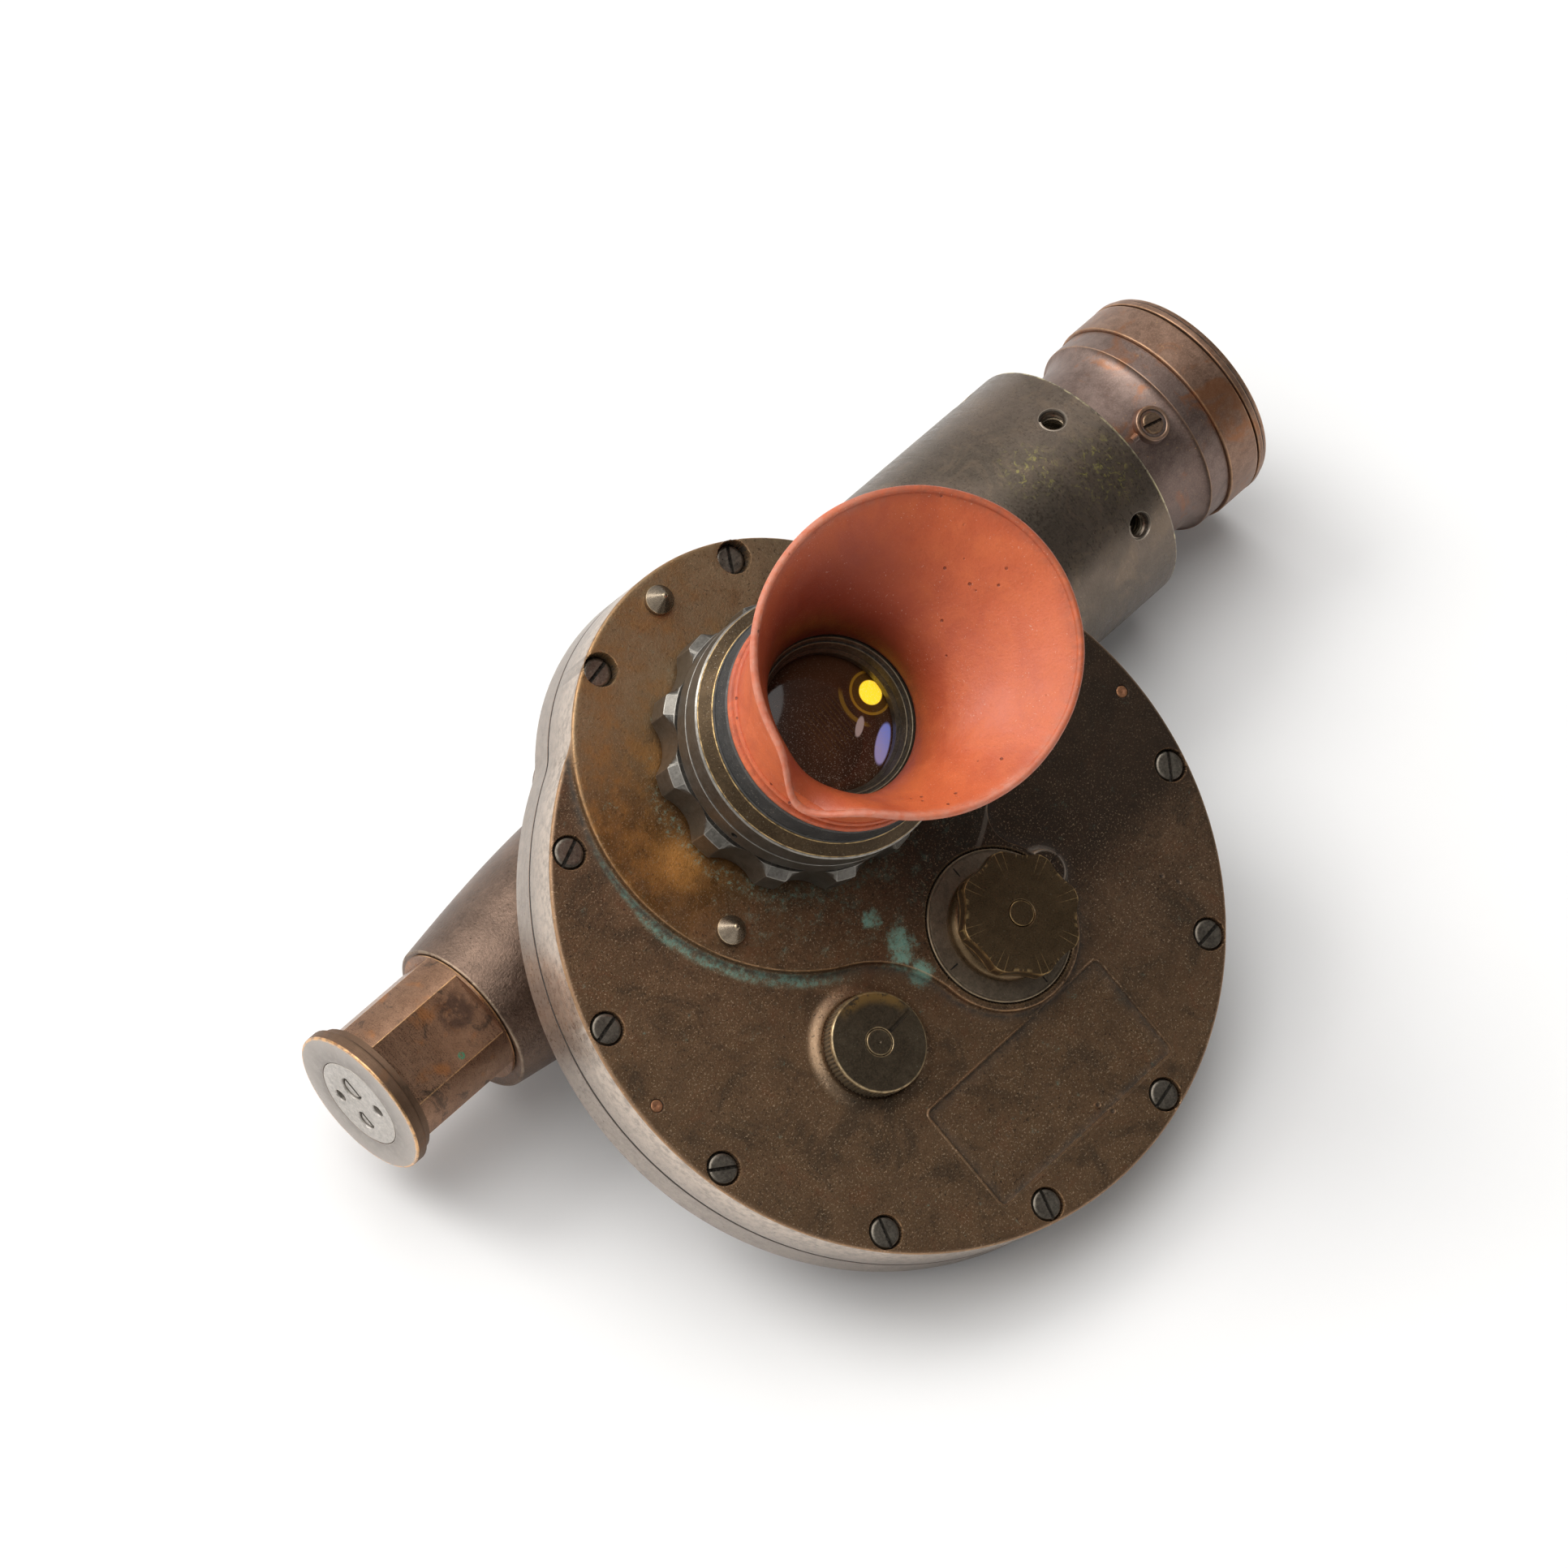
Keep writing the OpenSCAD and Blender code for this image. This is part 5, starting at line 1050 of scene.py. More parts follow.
def make_finishes():
    tints = bpy.context.scene.telescope_colours
    brown, satin, edge = tuple(tints.cast_brown), tuple(tints.rim_satin), tuple(tints.copper_edge)
    dirt = (0.018, 0.014, 0.010)
    F = FINISH
    F["cover"] = aged_metal("cast bronze cover", brown, tuple(c * 1.5 for c in brown), edge,
        (0.035, 0.026, 0.018), metal=0.72, rough=0.40, grain_scale=1.7, grain=0.035, speckle=0.35,
        dust=0.25, worn=0.6, extra=cover_extra)
    F["rim"] = aged_metal("machined bronze rim", satin, tuple(c * 0.86 for c in satin), (0.72, 0.60, 0.50),
        (0.10, 0.08, 0.06), metal=0.85, rough=0.34, patch_scale=0.06, grain_scale=0.9, grain=0.006,
        speckle=0.06, dust=0.05, brushed=(1.0, (0.02, 0.02, 6.0), 0.01))
    F["housing"] = aged_metal("cast bronze housing", (0.15, 0.10, 0.074), (0.225, 0.150, 0.110),
        (0.36, 0.27, 0.19), dirt, metal=0.82, rough=0.34, patch_scale=0.05, grain_scale=1.4, grain=0.06,
        speckle=0.1, dust=0.1)
    F["barrel"] = aged_metal("barrel sleeve", tuple(tints.barrel_grey), (0.125, 0.100, 0.076),
        (0.50, 0.44, 0.36), dirt, metal=0.82, rough=0.33, patch_scale=0.03, grain_scale=1.2, grain=0.008,
        speckle=0.12, speckle_colour=(0.42, 0.37, 0.24), dust=0.2, worn=0.4, extra=barrel_extra,
        brushed=(1.0, (5.0, 0.12, 0.12), 0.005))
    F["tube"] = aged_metal("objective tube bronze", (0.20, 0.138, 0.115), (0.27, 0.195, 0.165),
        (0.60, 0.36, 0.21), dirt, metal=0.82, rough=0.42, patch_scale=0.06, grain_scale=2.2, grain=0.015,
        speckle=0.1, speckle_colour=(0.5, 0.24, 0.10), dust=0.1, worn=0.4, extra=tube_extra)
    F["cell"] = aged_metal("objective cell bronze", (0.24, 0.142, 0.098), (0.33, 0.205, 0.145),
        (0.60, 0.34, 0.17), dirt, metal=0.82, rough=0.40, patch_scale=0.07, grain_scale=2.2, grain=0.012,
        speckle=0.12, speckle_colour=(0.5, 0.24, 0.08), dust=0.08, worn=0.4, extra=tube_extra)
    F["stem"] = aged_metal("rear shank bronze", (0.27, 0.150, 0.092), (0.35, 0.205, 0.13),
        (0.95, 0.56, 0.26), dirt, metal=0.84, rough=0.32, patch_scale=0.08, grain_scale=3.2, grain=0.004,
        speckle=0.08, dust=0.05, extra=stem_extra, brushed=(1.0, (5.0, 0.15, 0.15), 0.012))
    F["plug"] = aged_metal("rear plug metal", (0.50, 0.465, 0.425), (0.58, 0.54, 0.50), (0.62, 0.55, 0.45),
        (0.035, 0.03, 0.025), metal=0.8, rough=0.42, patch_scale=0.1, grain_scale=1.4, grain=0.02,
        speckle=0.08, dust=0.05, worn=0.3)
    F["screw"] = aged_metal("dark screw brass", (0.165, 0.143, 0.115), (0.25, 0.22, 0.18),
        (0.62, 0.54, 0.40), (0.022, 0.018, 0.013), metal=0.88, rough=0.34, patch_scale=0.3, grain_scale=2.0,
        grain=0.02, speckle=0.25, speckle_colour=(0.10, 0.08, 0.06), dust=0.1, worn=0.5)
    F["stud"] = aged_metal("stud metal", (0.22, 0.175, 0.13), (0.28, 0.23, 0.17), (0.85, 0.66, 0.42), dirt,
        metal=0.92, rough=0.28, patch_scale=0.2, grain_scale=4.0, grain=0.006, speckle=0.08, dust=0.05,
        worn=0.5, brushed=(1.0, (0.5, 0.5, 8.0), 0.006))
    F["copper"] = aged_metal("dowel copper", (0.36, 0.16, 0.08), (0.46, 0.22, 0.12), (0.6, 0.3, 0.15), dirt,
        metal=0.8, rough=0.45, patch_scale=0.4)
    F["seal"] = aged_metal("seal screw brass", (0.25, 0.165, 0.11), (0.33, 0.22, 0.15), (0.75, 0.48, 0.26),
        dirt, metal=0.88, rough=0.34, patch_scale=0.3, worn=0.6)
    F["knob"] = aged_metal("knob brass", (0.125, 0.082, 0.042), (0.17, 0.112, 0.058), (0.90, 0.60, 0.27),
        (0.03, 0.022, 0.015), metal=0.86, rough=0.33, patch_scale=0.05, grain_scale=2.4, grain=0.008,
        speckle=0.1, dust=0.22)
    F["density"] = aged_metal("density knob brass", (0.098, 0.074, 0.048), (0.14, 0.108, 0.070),
        (0.90, 0.66, 0.36), (0.02, 0.015, 0.01), metal=0.84, worn=0.5, rough=0.36, patch_scale=0.12,
        grain_scale=2.2, grain=0.012, speckle=0.2, speckle_colour=(0.3, 0.22, 0.12), dust=0.3,
        extra=density_extra)
    F["dial"] = aged_metal("dial bronze", (0.20, 0.155, 0.11), (0.27, 0.215, 0.155), (0.50, 0.37, 0.21),
        (0.02, 0.016, 0.012), metal=0.75, rough=0.42, patch_scale=0.12, grain_scale=2.0, grain=0.02,
        speckle=0.35, speckle_colour=(0.42, 0.34, 0.22), dust=0.35, worn=0.5)
    F["grip"] = aged_metal("focus ring gunmetal", (0.125, 0.115, 0.10), (0.18, 0.168, 0.15),
        (0.62, 0.58, 0.52), (0.03, 0.027, 0.022), metal=0.85, rough=0.36, patch_scale=0.05, grain_scale=1.3,
        grain=0.008, speckle=0.08, speckle_colour=(0.4, 0.33, 0.22), dust=0.3, worn=0.35)
    F["cap"] = aged_metal("focus cap bronze", (0.052, 0.033, 0.016), (0.082, 0.053, 0.027),
        (0.85, 0.58, 0.26), dirt, metal=0.8, rough=0.44, patch_scale=0.12, grain_scale=1.8, grain=0.03,
        speckle=0.35, speckle_colour=(0.36, 0.27, 0.17), dust=0.35)
    F["clamp"] = aged_metal("clamp ring", (0.026, 0.025, 0.024), (0.046, 0.043, 0.040), (0.13, 0.12, 0.11),
        (0.012, 0.011, 0.010), metal=0.2, rough=0.55, patch_scale=0.1, grain_scale=1.6, grain=0.03,
        speckle=0.2, speckle_colour=(0.2, 0.17, 0.13), dust=0.45, worn=0.4)
    F["retainer"] = aged_metal("lens ring", (0.10, 0.085, 0.062), (0.16, 0.135, 0.10), (0.45, 0.37, 0.24),
        dirt, metal=0.7, rough=0.42, patch_scale=0.15, grain_scale=2.2, grain=0.02, speckle=0.4, dust=0.8,
        worn=0.4)
    F["black"] = aged_metal("blacked brass", (0.022, 0.021, 0.020), (0.040, 0.037, 0.034),
        (0.12, 0.11, 0.1), (0.01, 0.01, 0.01), metal=0.4, rough=0.6, patch_scale=0.15, speckle=0.05)
    F["gasket"] = aged_metal("black gasket", (0.016, 0.015, 0.014), (0.028, 0.025, 0.022),
        (0.05, 0.05, 0.05), (0.01, 0.01, 0.01), metal=0.0, rough=0.7, patch_scale=0.2, speckle=0.1,
        speckle_colour=(0.1, 0.08, 0.06))
    F["gear"] = aged_metal("gear brass", (0.55, 0.38, 0.14), (0.62, 0.45, 0.2), (0.75, 0.58, 0.3), dirt,
        metal=0.95, rough=0.3, patch_scale=0.1, grain=0.01, speckle=0.05)
    F["steel"] = aged_metal("bright steel", (0.42, 0.42, 0.42), (0.5, 0.5, 0.49), (0.7, 0.7, 0.7), dirt,
        metal=0.95, rough=0.28, patch_scale=0.1, grain=0.008, speckle=0.05)
    F["rubber"] = rubber_finish("eyeguard rubber")
    F["eye lens"] = eye_lens_finish("eye lens glass")
    F["glass"] = clear_finish("optical glass")
    F["yellow glass"] = clear_finish("yellow glass", (0.95, 0.75, 0.08))
    F["red glass"] = clear_finish("red glass", (0.75, 0.05, 0.03))
    F["polarizer"] = clear_finish("polarizer glass", (0.32, 0.36, 0.32), 0.04)


# Cover and housing

EYE = (0.0, EYE_Y)
RIM = Outline([((0.0, 0.0), DISC_R), (EYE, LOBE_R)], [(0, 1, BLEND_R, 1), (0, 1, BLEND_R, -1)])
RAISED = Outline([(EYE, LOBE_R), (FILTER_AT, PAD_R), (EAR_AT, EAR_R)], [(1, 0, 30.0, 1), (1, 0, 8.0, -1)])
SPACE = Outline([((0.0, 0.0), CAVITY_R), (EYE, LOBE_CAVITY_R)])
PLATE = ((0.0, -59.75), (31.0, 14.75), 1.4)
PUNCHES = [(59.6, -40.8), (62.2, -44.7), (5.9, -71.9), (7.9, -75.5)]
EDGE = 0.8
EDGE_DEPTHS = (0.0, 0.06, 0.23, 0.49, EDGE, 1.6)
EYE_HOLE_R = 30.05
GLAND_HOLE_R = 7.05
CELL_BORE_R = 17.05
SHANK_BORE_R = 15.05
TUBE_BORE_R = 29.0
NECK_WALL_R = 31.0
NECK_INNER_R = 25.0
RIB_CIRCLE_R = 51.0
INDEX_TURN = 8.0
STEP = 0.85


def away(p, c):
    return np.hypot(p[:, 0] - c[0], p[:, 1] - c[1])


def edge_drop(depth, size=EDGE):
    d = np.clip(depth, 0.0, size)
    return size - np.sqrt(np.maximum(0.0, size * size - (size - d) ** 2))


def boss_table(foot):
    """Depths and heights of the boss's edge, from its foot up to its face."""
    down = [(-foot * (1 - math.cos(t)) - 0.02, foot * (1 - math.sin(t)))
        for t in np.linspace(math.pi / 2, 0.0, 7)]
    up = [(max(0.02, d), BOSS_H - float(edge_drop(np.array(d)))) for d in EDGE_DEPTHS[:-1]]
    return np.array(down + up)


def groove(p):
    """Share of the index line's depth at each point, and where it runs."""
    c, s = math.cos(math.radians(INDEX_TURN)), math.sin(math.radians(INDEX_TURN))
    dx, dy = p[:, 0] - FILTER_AT[0], p[:, 1] - FILTER_AT[1]
    along, across = dx * c + dy * s, -dx * s + dy * c
    return np.clip((0.24 - np.abs(across)) / 0.1, 0.0, 1.0) * ((along > 19.0) & (along < 27.0))


def cover_heights(p, sizes):
    """Height, wear and grime of the cover's face at each point."""
    table = boss_table(sizes.foot_round)
    rim, raised = RIM.depth(p), RAISED.depth(p)
    z = np.interp(raised, table[:, 0], table[:, 1], left=0.0, right=BOSS_H)
    z = z - edge_drop(rim) * (1 - np.clip(z / 1.6, 0.0, 1.0)) + swell(p, sizes.cast_swell) * np.clip(rim
        / 6.0, 0.0, 1.0)
    wear = np.clip(1.0 - np.abs(raised - 0.2) / 0.55, 0.0, 1.0)
    wear = np.maximum(wear, np.clip(1.0 - rim / 0.7, 0.0, 1.0))
    grime = np.interp(raised, [-3.2, -2.0, -0.7, -0.1], [0.0, 0.35, 0.9, 0.0])
    rho = away(p, DENSITY_AT)
    collar = np.interp(rho, [12.87, 12.93, 13.15, 13.6, 14.4, 15.2, 16.1],
        [0.0, 0.5, 0.68, 0.72, 0.52, 0.18, 0.0])
    z = z + collar
    wear = np.maximum(wear, np.interp(rho, [12.8, 13.0, 13.3, 13.8], [0.0, 0.6, 0.6, 0.0]))
    field = box_depth(p, *PLATE)
    z = z + np.interp(field, [-0.75, -0.55, -0.35, -0.15, 0.0, 0.08, 0.3],
        [0.0, 0.18, 0.25, 0.2, 0.0, -0.5, -0.6])
    wear = np.maximum(wear, 0.75 * np.interp(field, [-0.8, -0.4, -0.1, 0.1], [0.0, 1.0, 0.6, 0.0]))
    grime = np.maximum(grime, np.interp(field, [-0.05, 0.15, 0.9, 1.8], [0.0, 0.9, 0.6, 0.0]))
    mark = groove(p)
    z = z - 0.3 * mark
    grime = np.maximum(grime, mark)
    for c in SCREW_PLACES:
        rho = away(p, c)
        face = BOSS_H if math.dist(c, EYE) < LOBE_R else 0.0
        hole = np.interp(rho, [COUNTERBORE_R, 4.25, 4.28, 4.36, 4.52],
            [HEAD_LOW, face - 0.4, face - 0.2, face - 0.05, face])
        z = np.where(rho < 4.53, hole, z)
        wear = np.where(rho < 4.9, np.interp(rho, [4.2, 4.26, 4.5, 4.9], [0.0, 0.8, 0.8, 0.0]), wear)
        grime = np.where(rho < 4.25, 1.0, grime)
    for c in DOWEL_PLACES:
        rho = away(p, c)
        z = np.where(rho < 1.9, np.interp(rho, [1.62, 1.66, 1.85], [-0.6, -0.08, 0.0]), z)
        grime = np.where(rho < 1.7, 1.0, grime)
    for c in PUNCHES:
        rho = away(p, c)
        z = np.where(rho < 0.9, np.interp(rho, [0.0, 0.35, 0.8], [-0.42, -0.35, 0.0]), z)
        grime = np.where(rho < 0.6, 0.8, grime)
    rho = away(p, FILTER_AT)
    z = np.where(rho < 19.95, np.interp(rho, [19.56, 19.62, 19.72, 19.94], [1.3, 2.35, 2.53, BOSS_H]), z)
    wear = np.where((rho > 19.5) & (rho < 20.3), 0.55, wear)
    grime = np.where(rho < 19.6, 1.0, grime)
    return z, wear, grime


def cover_floor(p):
    """Height of the cover's underside at each point."""
    z = np.interp(SPACE.depth(p), [0.0, 0.12], [-COVER_T, ROOF_Z])
    z = np.where(RIM.depth(p) < 0.29, -COVER_T + 0.3 - RIM.depth(p), z)
    for c, r in ((FILTER_AT, 11.0), (DENSITY_AT, 10.0)):
        rho = away(p, c)
        z = np.where(rho < r, np.interp(rho, [8.55, 8.62, r - 0.06, r], [ROOF_Z, -7.0, -7.0, ROOF_Z]), z)
    return z


def build_cover(sizes):
    edge_rows = [RIM.row(d, STEP) for d in EDGE_DEPTHS]
    table = boss_table(sizes.foot_round)
    depths = list(table[:, 0]) + [1.6, -sizes.foot_round - 0.9]
    raised_rows = [RAISED.row(float(d), STEP) for d in depths]
    holes = [circle_row(EYE, EYE_HOLE_R), circle_row(FILTER_AT, GLAND_HOLE_R),
        circle_row(DENSITY_AT, GLAND_HOLE_R)]
    rows = edge_rows + [r[RIM.depth(r) > 0.02] for r in raised_rows] + holes
    rows += [circle_row(EYE, EYE_HOLE_R + 0.6)]
    rows += [circle_row(FILTER_AT, r) for r in (19.0, 19.56, 19.62, 19.72, 19.94, 20.6)]
    rows += [circle_row(DENSITY_AT, r) for r in (12.4, 12.87, 12.93, 13.15, 13.6, 14.4, 15.2, 16.1, 16.8)]
    rows += [box_row(*PLATE, d) for d in (-1.2, -0.75, -0.55, -0.35, -0.15, 0.0, 0.08, 0.3, 1.0)]
    for c in SCREW_PLACES:
        rows += [circle_row(c, r, 0.7, 36) for r in (3.0, 4.2, 4.25, 4.28, 4.36, 4.52, 4.95)]
    for c in DOWEL_PLACES:
        rows += [circle_row(c, r, 0.5, 20) for r in (1.0, 1.62, 1.66, 1.85, 2.2)]
    for c in PUNCHES:
        rows += [circle_row(c, r, 0.4, 12) for r in (0.35, 0.8, 1.05)] + [np.array([c])]
    c, s = math.cos(math.radians(INDEX_TURN)), math.sin(math.radians(INDEX_TURN))
    for across in (-0.26, -0.24, -0.14, 0.14, 0.24, 0.26):
        for along in np.arange(19.8, 25.2, 0.45):
            rows.append(np.array([(FILTER_AT[0] + along * c - across * s, FILTER_AT[1] + along * s + across
                * c)]))
    rows = edge_rows + [r[RIM.depth(r) > 0.09] for r in rows[len(edge_rows):]]
    rows.append(scatter(RIM, np.concatenate(rows), 2.3, 1.1, 1.8))

    def solid(p):
        return (RIM.depth(p) > 0) & (away(p, EYE) > EYE_HOLE_R) & (away(p,
            FILTER_AT) > GLAND_HOLE_R) & (away(p, DENSITY_AT) > GLAND_HOLE_R)

    flat, faces = sheet(rows, solid)
    top = (flat, *cover_heights(flat, sizes)[:1], faces, *cover_heights(flat, sizes)[1:])
    low_rows = [RIM.row(d, STEP) for d in (0.0, 0.3, 1.5)] + [SPACE.row(d, 1.6)
        for d in (-1.2, 0.0, 0.12, 1.2)] + holes
    low_rows += [circle_row(q, r) for q, rs in ((FILTER_AT, (8.55, 8.62, 10.94, 11.0)),
        (DENSITY_AT, (8.55, 8.62, 9.94, 10.0))) for r in rs]
    low_rows.append(scatter(RIM, np.concatenate(low_rows), 7.0, 2.5, 2.5))
    low_flat, low_faces = sheet(low_rows, solid)
    wear = np.clip(1.0 - RIM.depth(low_flat) / 0.6, 0.0, 1.0) * 0.6
    low = (low_flat, cover_floor(low_flat), low_faces[:, ::-1], wear, np.zeros(len(low_flat)))
    piece = Piece("cover")
    slab(piece, top, low)
    stand_in(piece.mesh(38.0), "cover_cast", "body", [FINISH["cover"], FINISH["rim"]], ["cover"])


def dish_heights(p):
    """Height of the housing's dished back at each point."""
    disc = np.interp(away(p, (0.0, 0.0)), [72.0, 72.8, 74.0, 76.5, 81.0, 82.5, 83.5, 84.2, 84.7],
        [DISH_LOW, DISH_LOW + 0.12, DISH_LOW + 0.6, DISH_LOW + 2.0, FLANGE_LOW - 4.0, FLANGE_LOW - 2.8,
        FLANGE_LOW - 1.5, FLANGE_LOW - 0.5, FLANGE_LOW])
    lobe = np.interp(away(p, EYE), [43.0, 44.0, 46.0, 49.0, 49.4, 49.9],
        [DISH_LOW, DISH_LOW + 0.3, DISH_LOW + 1.5, FLANGE_LOW - 2.0, FLANGE_LOW - 0.7, FLANGE_LOW])
    z = np.minimum(disc, lobe)
    return np.where(RIM.depth(p) < 0.5, FLANGE_LOW + 0.5 - RIM.depth(p), z)


def build_housing():
    finishes = [FINISH["housing"], FINISH["rim"]]
    cell_hole = circle_row(EYE, CELL_BORE_R)

    def solid(p):
        return (RIM.depth(p) > 0) & (away(p, EYE) > CELL_BORE_R)

    rows = [RIM.row(d, STEP) for d in (0.0, 0.25, 1.5)] + [SPACE.row(d, 1.6)
        for d in (-1.5, 0.0, 0.12, 1.5)] + [cell_hole]
    rows.append(scatter(RIM, np.concatenate(rows), 7.0, 2.5, 2.5))
    flat, faces = sheet(rows, solid)
    z = np.interp(SPACE.depth(flat), [0.0, 0.12], [FLANGE_TOP, FLOOR_Z]) - np.clip(0.25 - RIM.depth(flat),
        0.0, 0.25)
    top = (flat, z, faces, np.zeros(len(flat)), np.zeros(len(flat)))
    rows = [RIM.row(d, STEP) for d in (0.0, 0.25, 0.5, 1.3)] + [cell_hole]
    rows += [circle_row((0.0, 0.0), r, 1.4) for r in (72.0, 72.8, 74.0, 76.5, 81.0, 82.5, 83.5, 84.2, 84.7,
        86.5)]
    rows += [circle_row(EYE, r, 1.3) for r in (43.0, 44.0, 46.0, 49.0, 49.4, 49.9, 51.5)]
    rows = [r[RIM.depth(r) > -1e-6] for r in rows]
    rows.append(scatter(RIM, np.concatenate(rows), 4.0, 1.8, 2.0))
    flat, faces = sheet(rows, solid)
    wear = np.clip(1.0 - np.abs(RIM.depth(flat) - 0.25) / 0.5, 0.0, 1.0)
    low = (flat, dish_heights(flat) + swell(flat, 0.12, 0.03, 11.0)
        * np.clip(RIM.depth(flat) / 8.0, 0.0, 1.0), faces[:, ::-1], wear, np.zeros(len(flat)))
    piece = Piece("housing")
    slab(piece, top, low)
    base = piece.mesh()
    shells = []
    neck = Piece("neck").turn([(0.0, DISH_LOW + 1.0), (NECK_WALL_R, DISH_LOW + 1.0),
        (NECK_WALL_R, -TUBE_DROP), (0.0, -TUBE_DROP)], 128, ON_EYE)
    shells.append(neck.mesh())
    tube = Piece("tube").turn([(0.0, -25.0), (29.0, -25.0), (32.6, -23.5, 0.6), (BARREL_R, -22.0, 0.7),
        (BARREL_R, -8.0, 0.4), (34.6, -7.2, 0.3), (34.6, 77.9, 0.8), (33.1, 79.9, 0.3), (0.0, 79.9)], 160,
        ON_TUBE, steps=5)
    shells.append(tube.mesh())
    swept = [(21.0 + 6.0 * math.sin(math.pi / 2 * i / 12), -REAR_X + (REAR_X - 24.0) * i / 12)
        for i in range(13)]
    rear = Piece("rear").turn([(0.0, -REAR_X), (21.0, -REAR_X, 0.5), *swept[1:], (27.0, -22.0),
        (0.0, -22.0)], 128, Matrix.Translation((0.0, -1.0, -2.2)) @ ON_TUBE)
    shells.append(rear.mesh())
    bores = [Piece("bore").turn([(0.0, -20.0), (TUBE_BORE_R, -20.0), (TUBE_BORE_R, 85.0), (0.0, 85.0)], 128,
        ON_TUBE), Piece("bore").turn([(0.0, DISH_LOW), (NECK_INNER_R, DISH_LOW), (NECK_INNER_R, -TUBE_DROP),
        (0.0, -TUBE_DROP)], 96, ON_EYE), Piece("bore").turn([(0.0, DISH_LOW - 1.0),
        (CELL_BORE_R, DISH_LOW - 1.0), (CELL_BORE_R, FLOOR_Z + 1.0), (0.0, FLOOR_Z + 1.0)], 96, ON_EYE),
        Piece("bore").turn([(0.0, -REAR_X - 2.0), (SHANK_BORE_R, -REAR_X - 2.0),
        (SHANK_BORE_R, -REAR_X + 21.0), (0.0, -REAR_X + 21.0)], 96, ON_TUBE),
        Piece("bore").turn([(0.0, -REAR_X + 20.0), (15.0, -REAR_X + 20.0), (21.0, -18.0), (0.0, -18.0)], 96,
        ON_TUBE)]
    bores = [b.mesh() for b in bores]
    for mesh in [base, *shells, *bores]:
        for finish in finishes:
            mesh.materials.append(finish)
    mesh = combine(base, shells, "UNION", "housing")
    mesh = combine(mesh, bores, "DIFFERENCE", "housing")
    stand_in(tidy_mesh(mesh), "housing_cast", "body", finishes, ["housing"])


def build_ribs():
    """Radial ribs on the dished back, one bar put on a ring of points."""
    recipe = Recipe("back ribs", {"Width": 3.0, "Length": 38.0, "Height": 2.4, "Finish": FINISH["housing"]})
    bar = recipe.add("GeometryNodeMeshCube", {"Vertices X": 24, "Vertices Y": 7, "Vertices Z": 4})
    size = recipe.add("ShaderNodeCombineXYZ", {"X": "Length", "Y": "Width", "Z": "Height"})
    recipe.tree.links.new(size.outputs[0], bar.inputs["Size"])
    _, y, z = recipe.position()
    across = y / (recipe.given["Width"] * 0.5)
    fall = across * across * 0.55
    low = recipe.math("LESS_THAN", z, 0.0)
    lift = recipe.add("ShaderNodeCombineXYZ", {"Z": fall * low})
    soft = recipe.add("GeometryNodeSetPosition", {"Geometry": bar.outputs[0], "Offset": lift.outputs[0]})
    recipe.finish(instanced(recipe, soft.outputs[0]), "Finish")
    angles = [a + 22.5 for a in range(0, 360, 45) if math.sin(math.radians(a + 22.5)) * RIB_CIRCLE_R < 2.0]
    places = [(RIB_CIRCLE_R * math.cos(math.radians(a)), RIB_CIRCLE_R * math.sin(math.radians(a)), DISH_LOW
        - 0.3) for a in angles]
    mesh = recipe.grow(points_mesh(places, [(0.0, 0.0, math.radians(a)) for a in angles]), "back_ribs")
    mesh.transform(SETTLE)
    stand_in(tidy_mesh(mesh), "back_ribs", "body", [FINISH["housing"]])


# Tube, objective and rear end

def build_barrel(sizes):
    body = Piece("barrel").turn([(BARREL_BORE_R, BARREL_X), (BARREL_R, BARREL_X, 4.0), (BARREL_R, 128.5),
        (BARREL_R, 141.5), (BARREL_R, BARREL_X + BARREL_L, sizes.edge_round),
        (BARREL_BORE_R, BARREL_X + BARREL_L)], 192, ON_TUBE, steps=10)
    cutters, places, turns = [], [], []
    for i in range(6):
        turn = math.radians(30.0 + 60.0 * i)
        spot = Matrix.Translation((HOLE_X, EYE_Y, -TUBE_DROP)) @ Matrix.Rotation(turn, 4, "X")
        cutter = Piece("cutter").turn([(0.0, 27.4), (HOLE_R, 27.4), (HOLE_R, 34.75, 0.2), (3.85, 35.5),
            (3.85, 38.0), (0.0, 38.0)], 48, spot)
        cutters.append(cutter.mesh())
        places.append(spot @ Vector((0.0, 0.0, 27.6)))
        turns.append((turn, 0.0, 0.0))
    mesh = combine(body.mesh(), cutters, "DIFFERENCE", "barrel")
    stand_in(tidy_mesh(mesh), "barrel_sleeve", "body", [FINISH["barrel"]], ["barrel"])
    recipe = Recipe("thread ridges", {"Hole radius": HOLE_R, "Pitch": sizes.thread_pitch, "Turns": 6.6,
        "Ridge": 0.42, "Finish": FINISH["barrel"]})
    height = recipe.given["Pitch"] * recipe.given["Turns"]
    coil = recipe.add("GeometryNodeCurveSpiral", {"Resolution": 40, "Rotations": "Turns",
        "Start Radius": "Hole radius", "End Radius": "Hole radius", "Height": height})
    ridge = recipe.add("GeometryNodeCurvePrimitiveCircle", {"Resolution": 4, "Radius": "Ridge"},
        mode="RADIUS")
    sweep = recipe.add("GeometryNodeCurveToMesh",
        {"Curve": coil.outputs[0], "Profile Curve": ridge.outputs[0], "Fill Caps": True})
    recipe.finish(instanced(recipe, sweep.outputs[0]), "Finish")
    mesh = recipe.grow(points_mesh(places, turns), "barrel_threads")
    mesh.transform(SETTLE)
    stand_in(tidy_mesh(mesh, 25.0), "barrel_threads", "body", [FINISH["barrel"]])


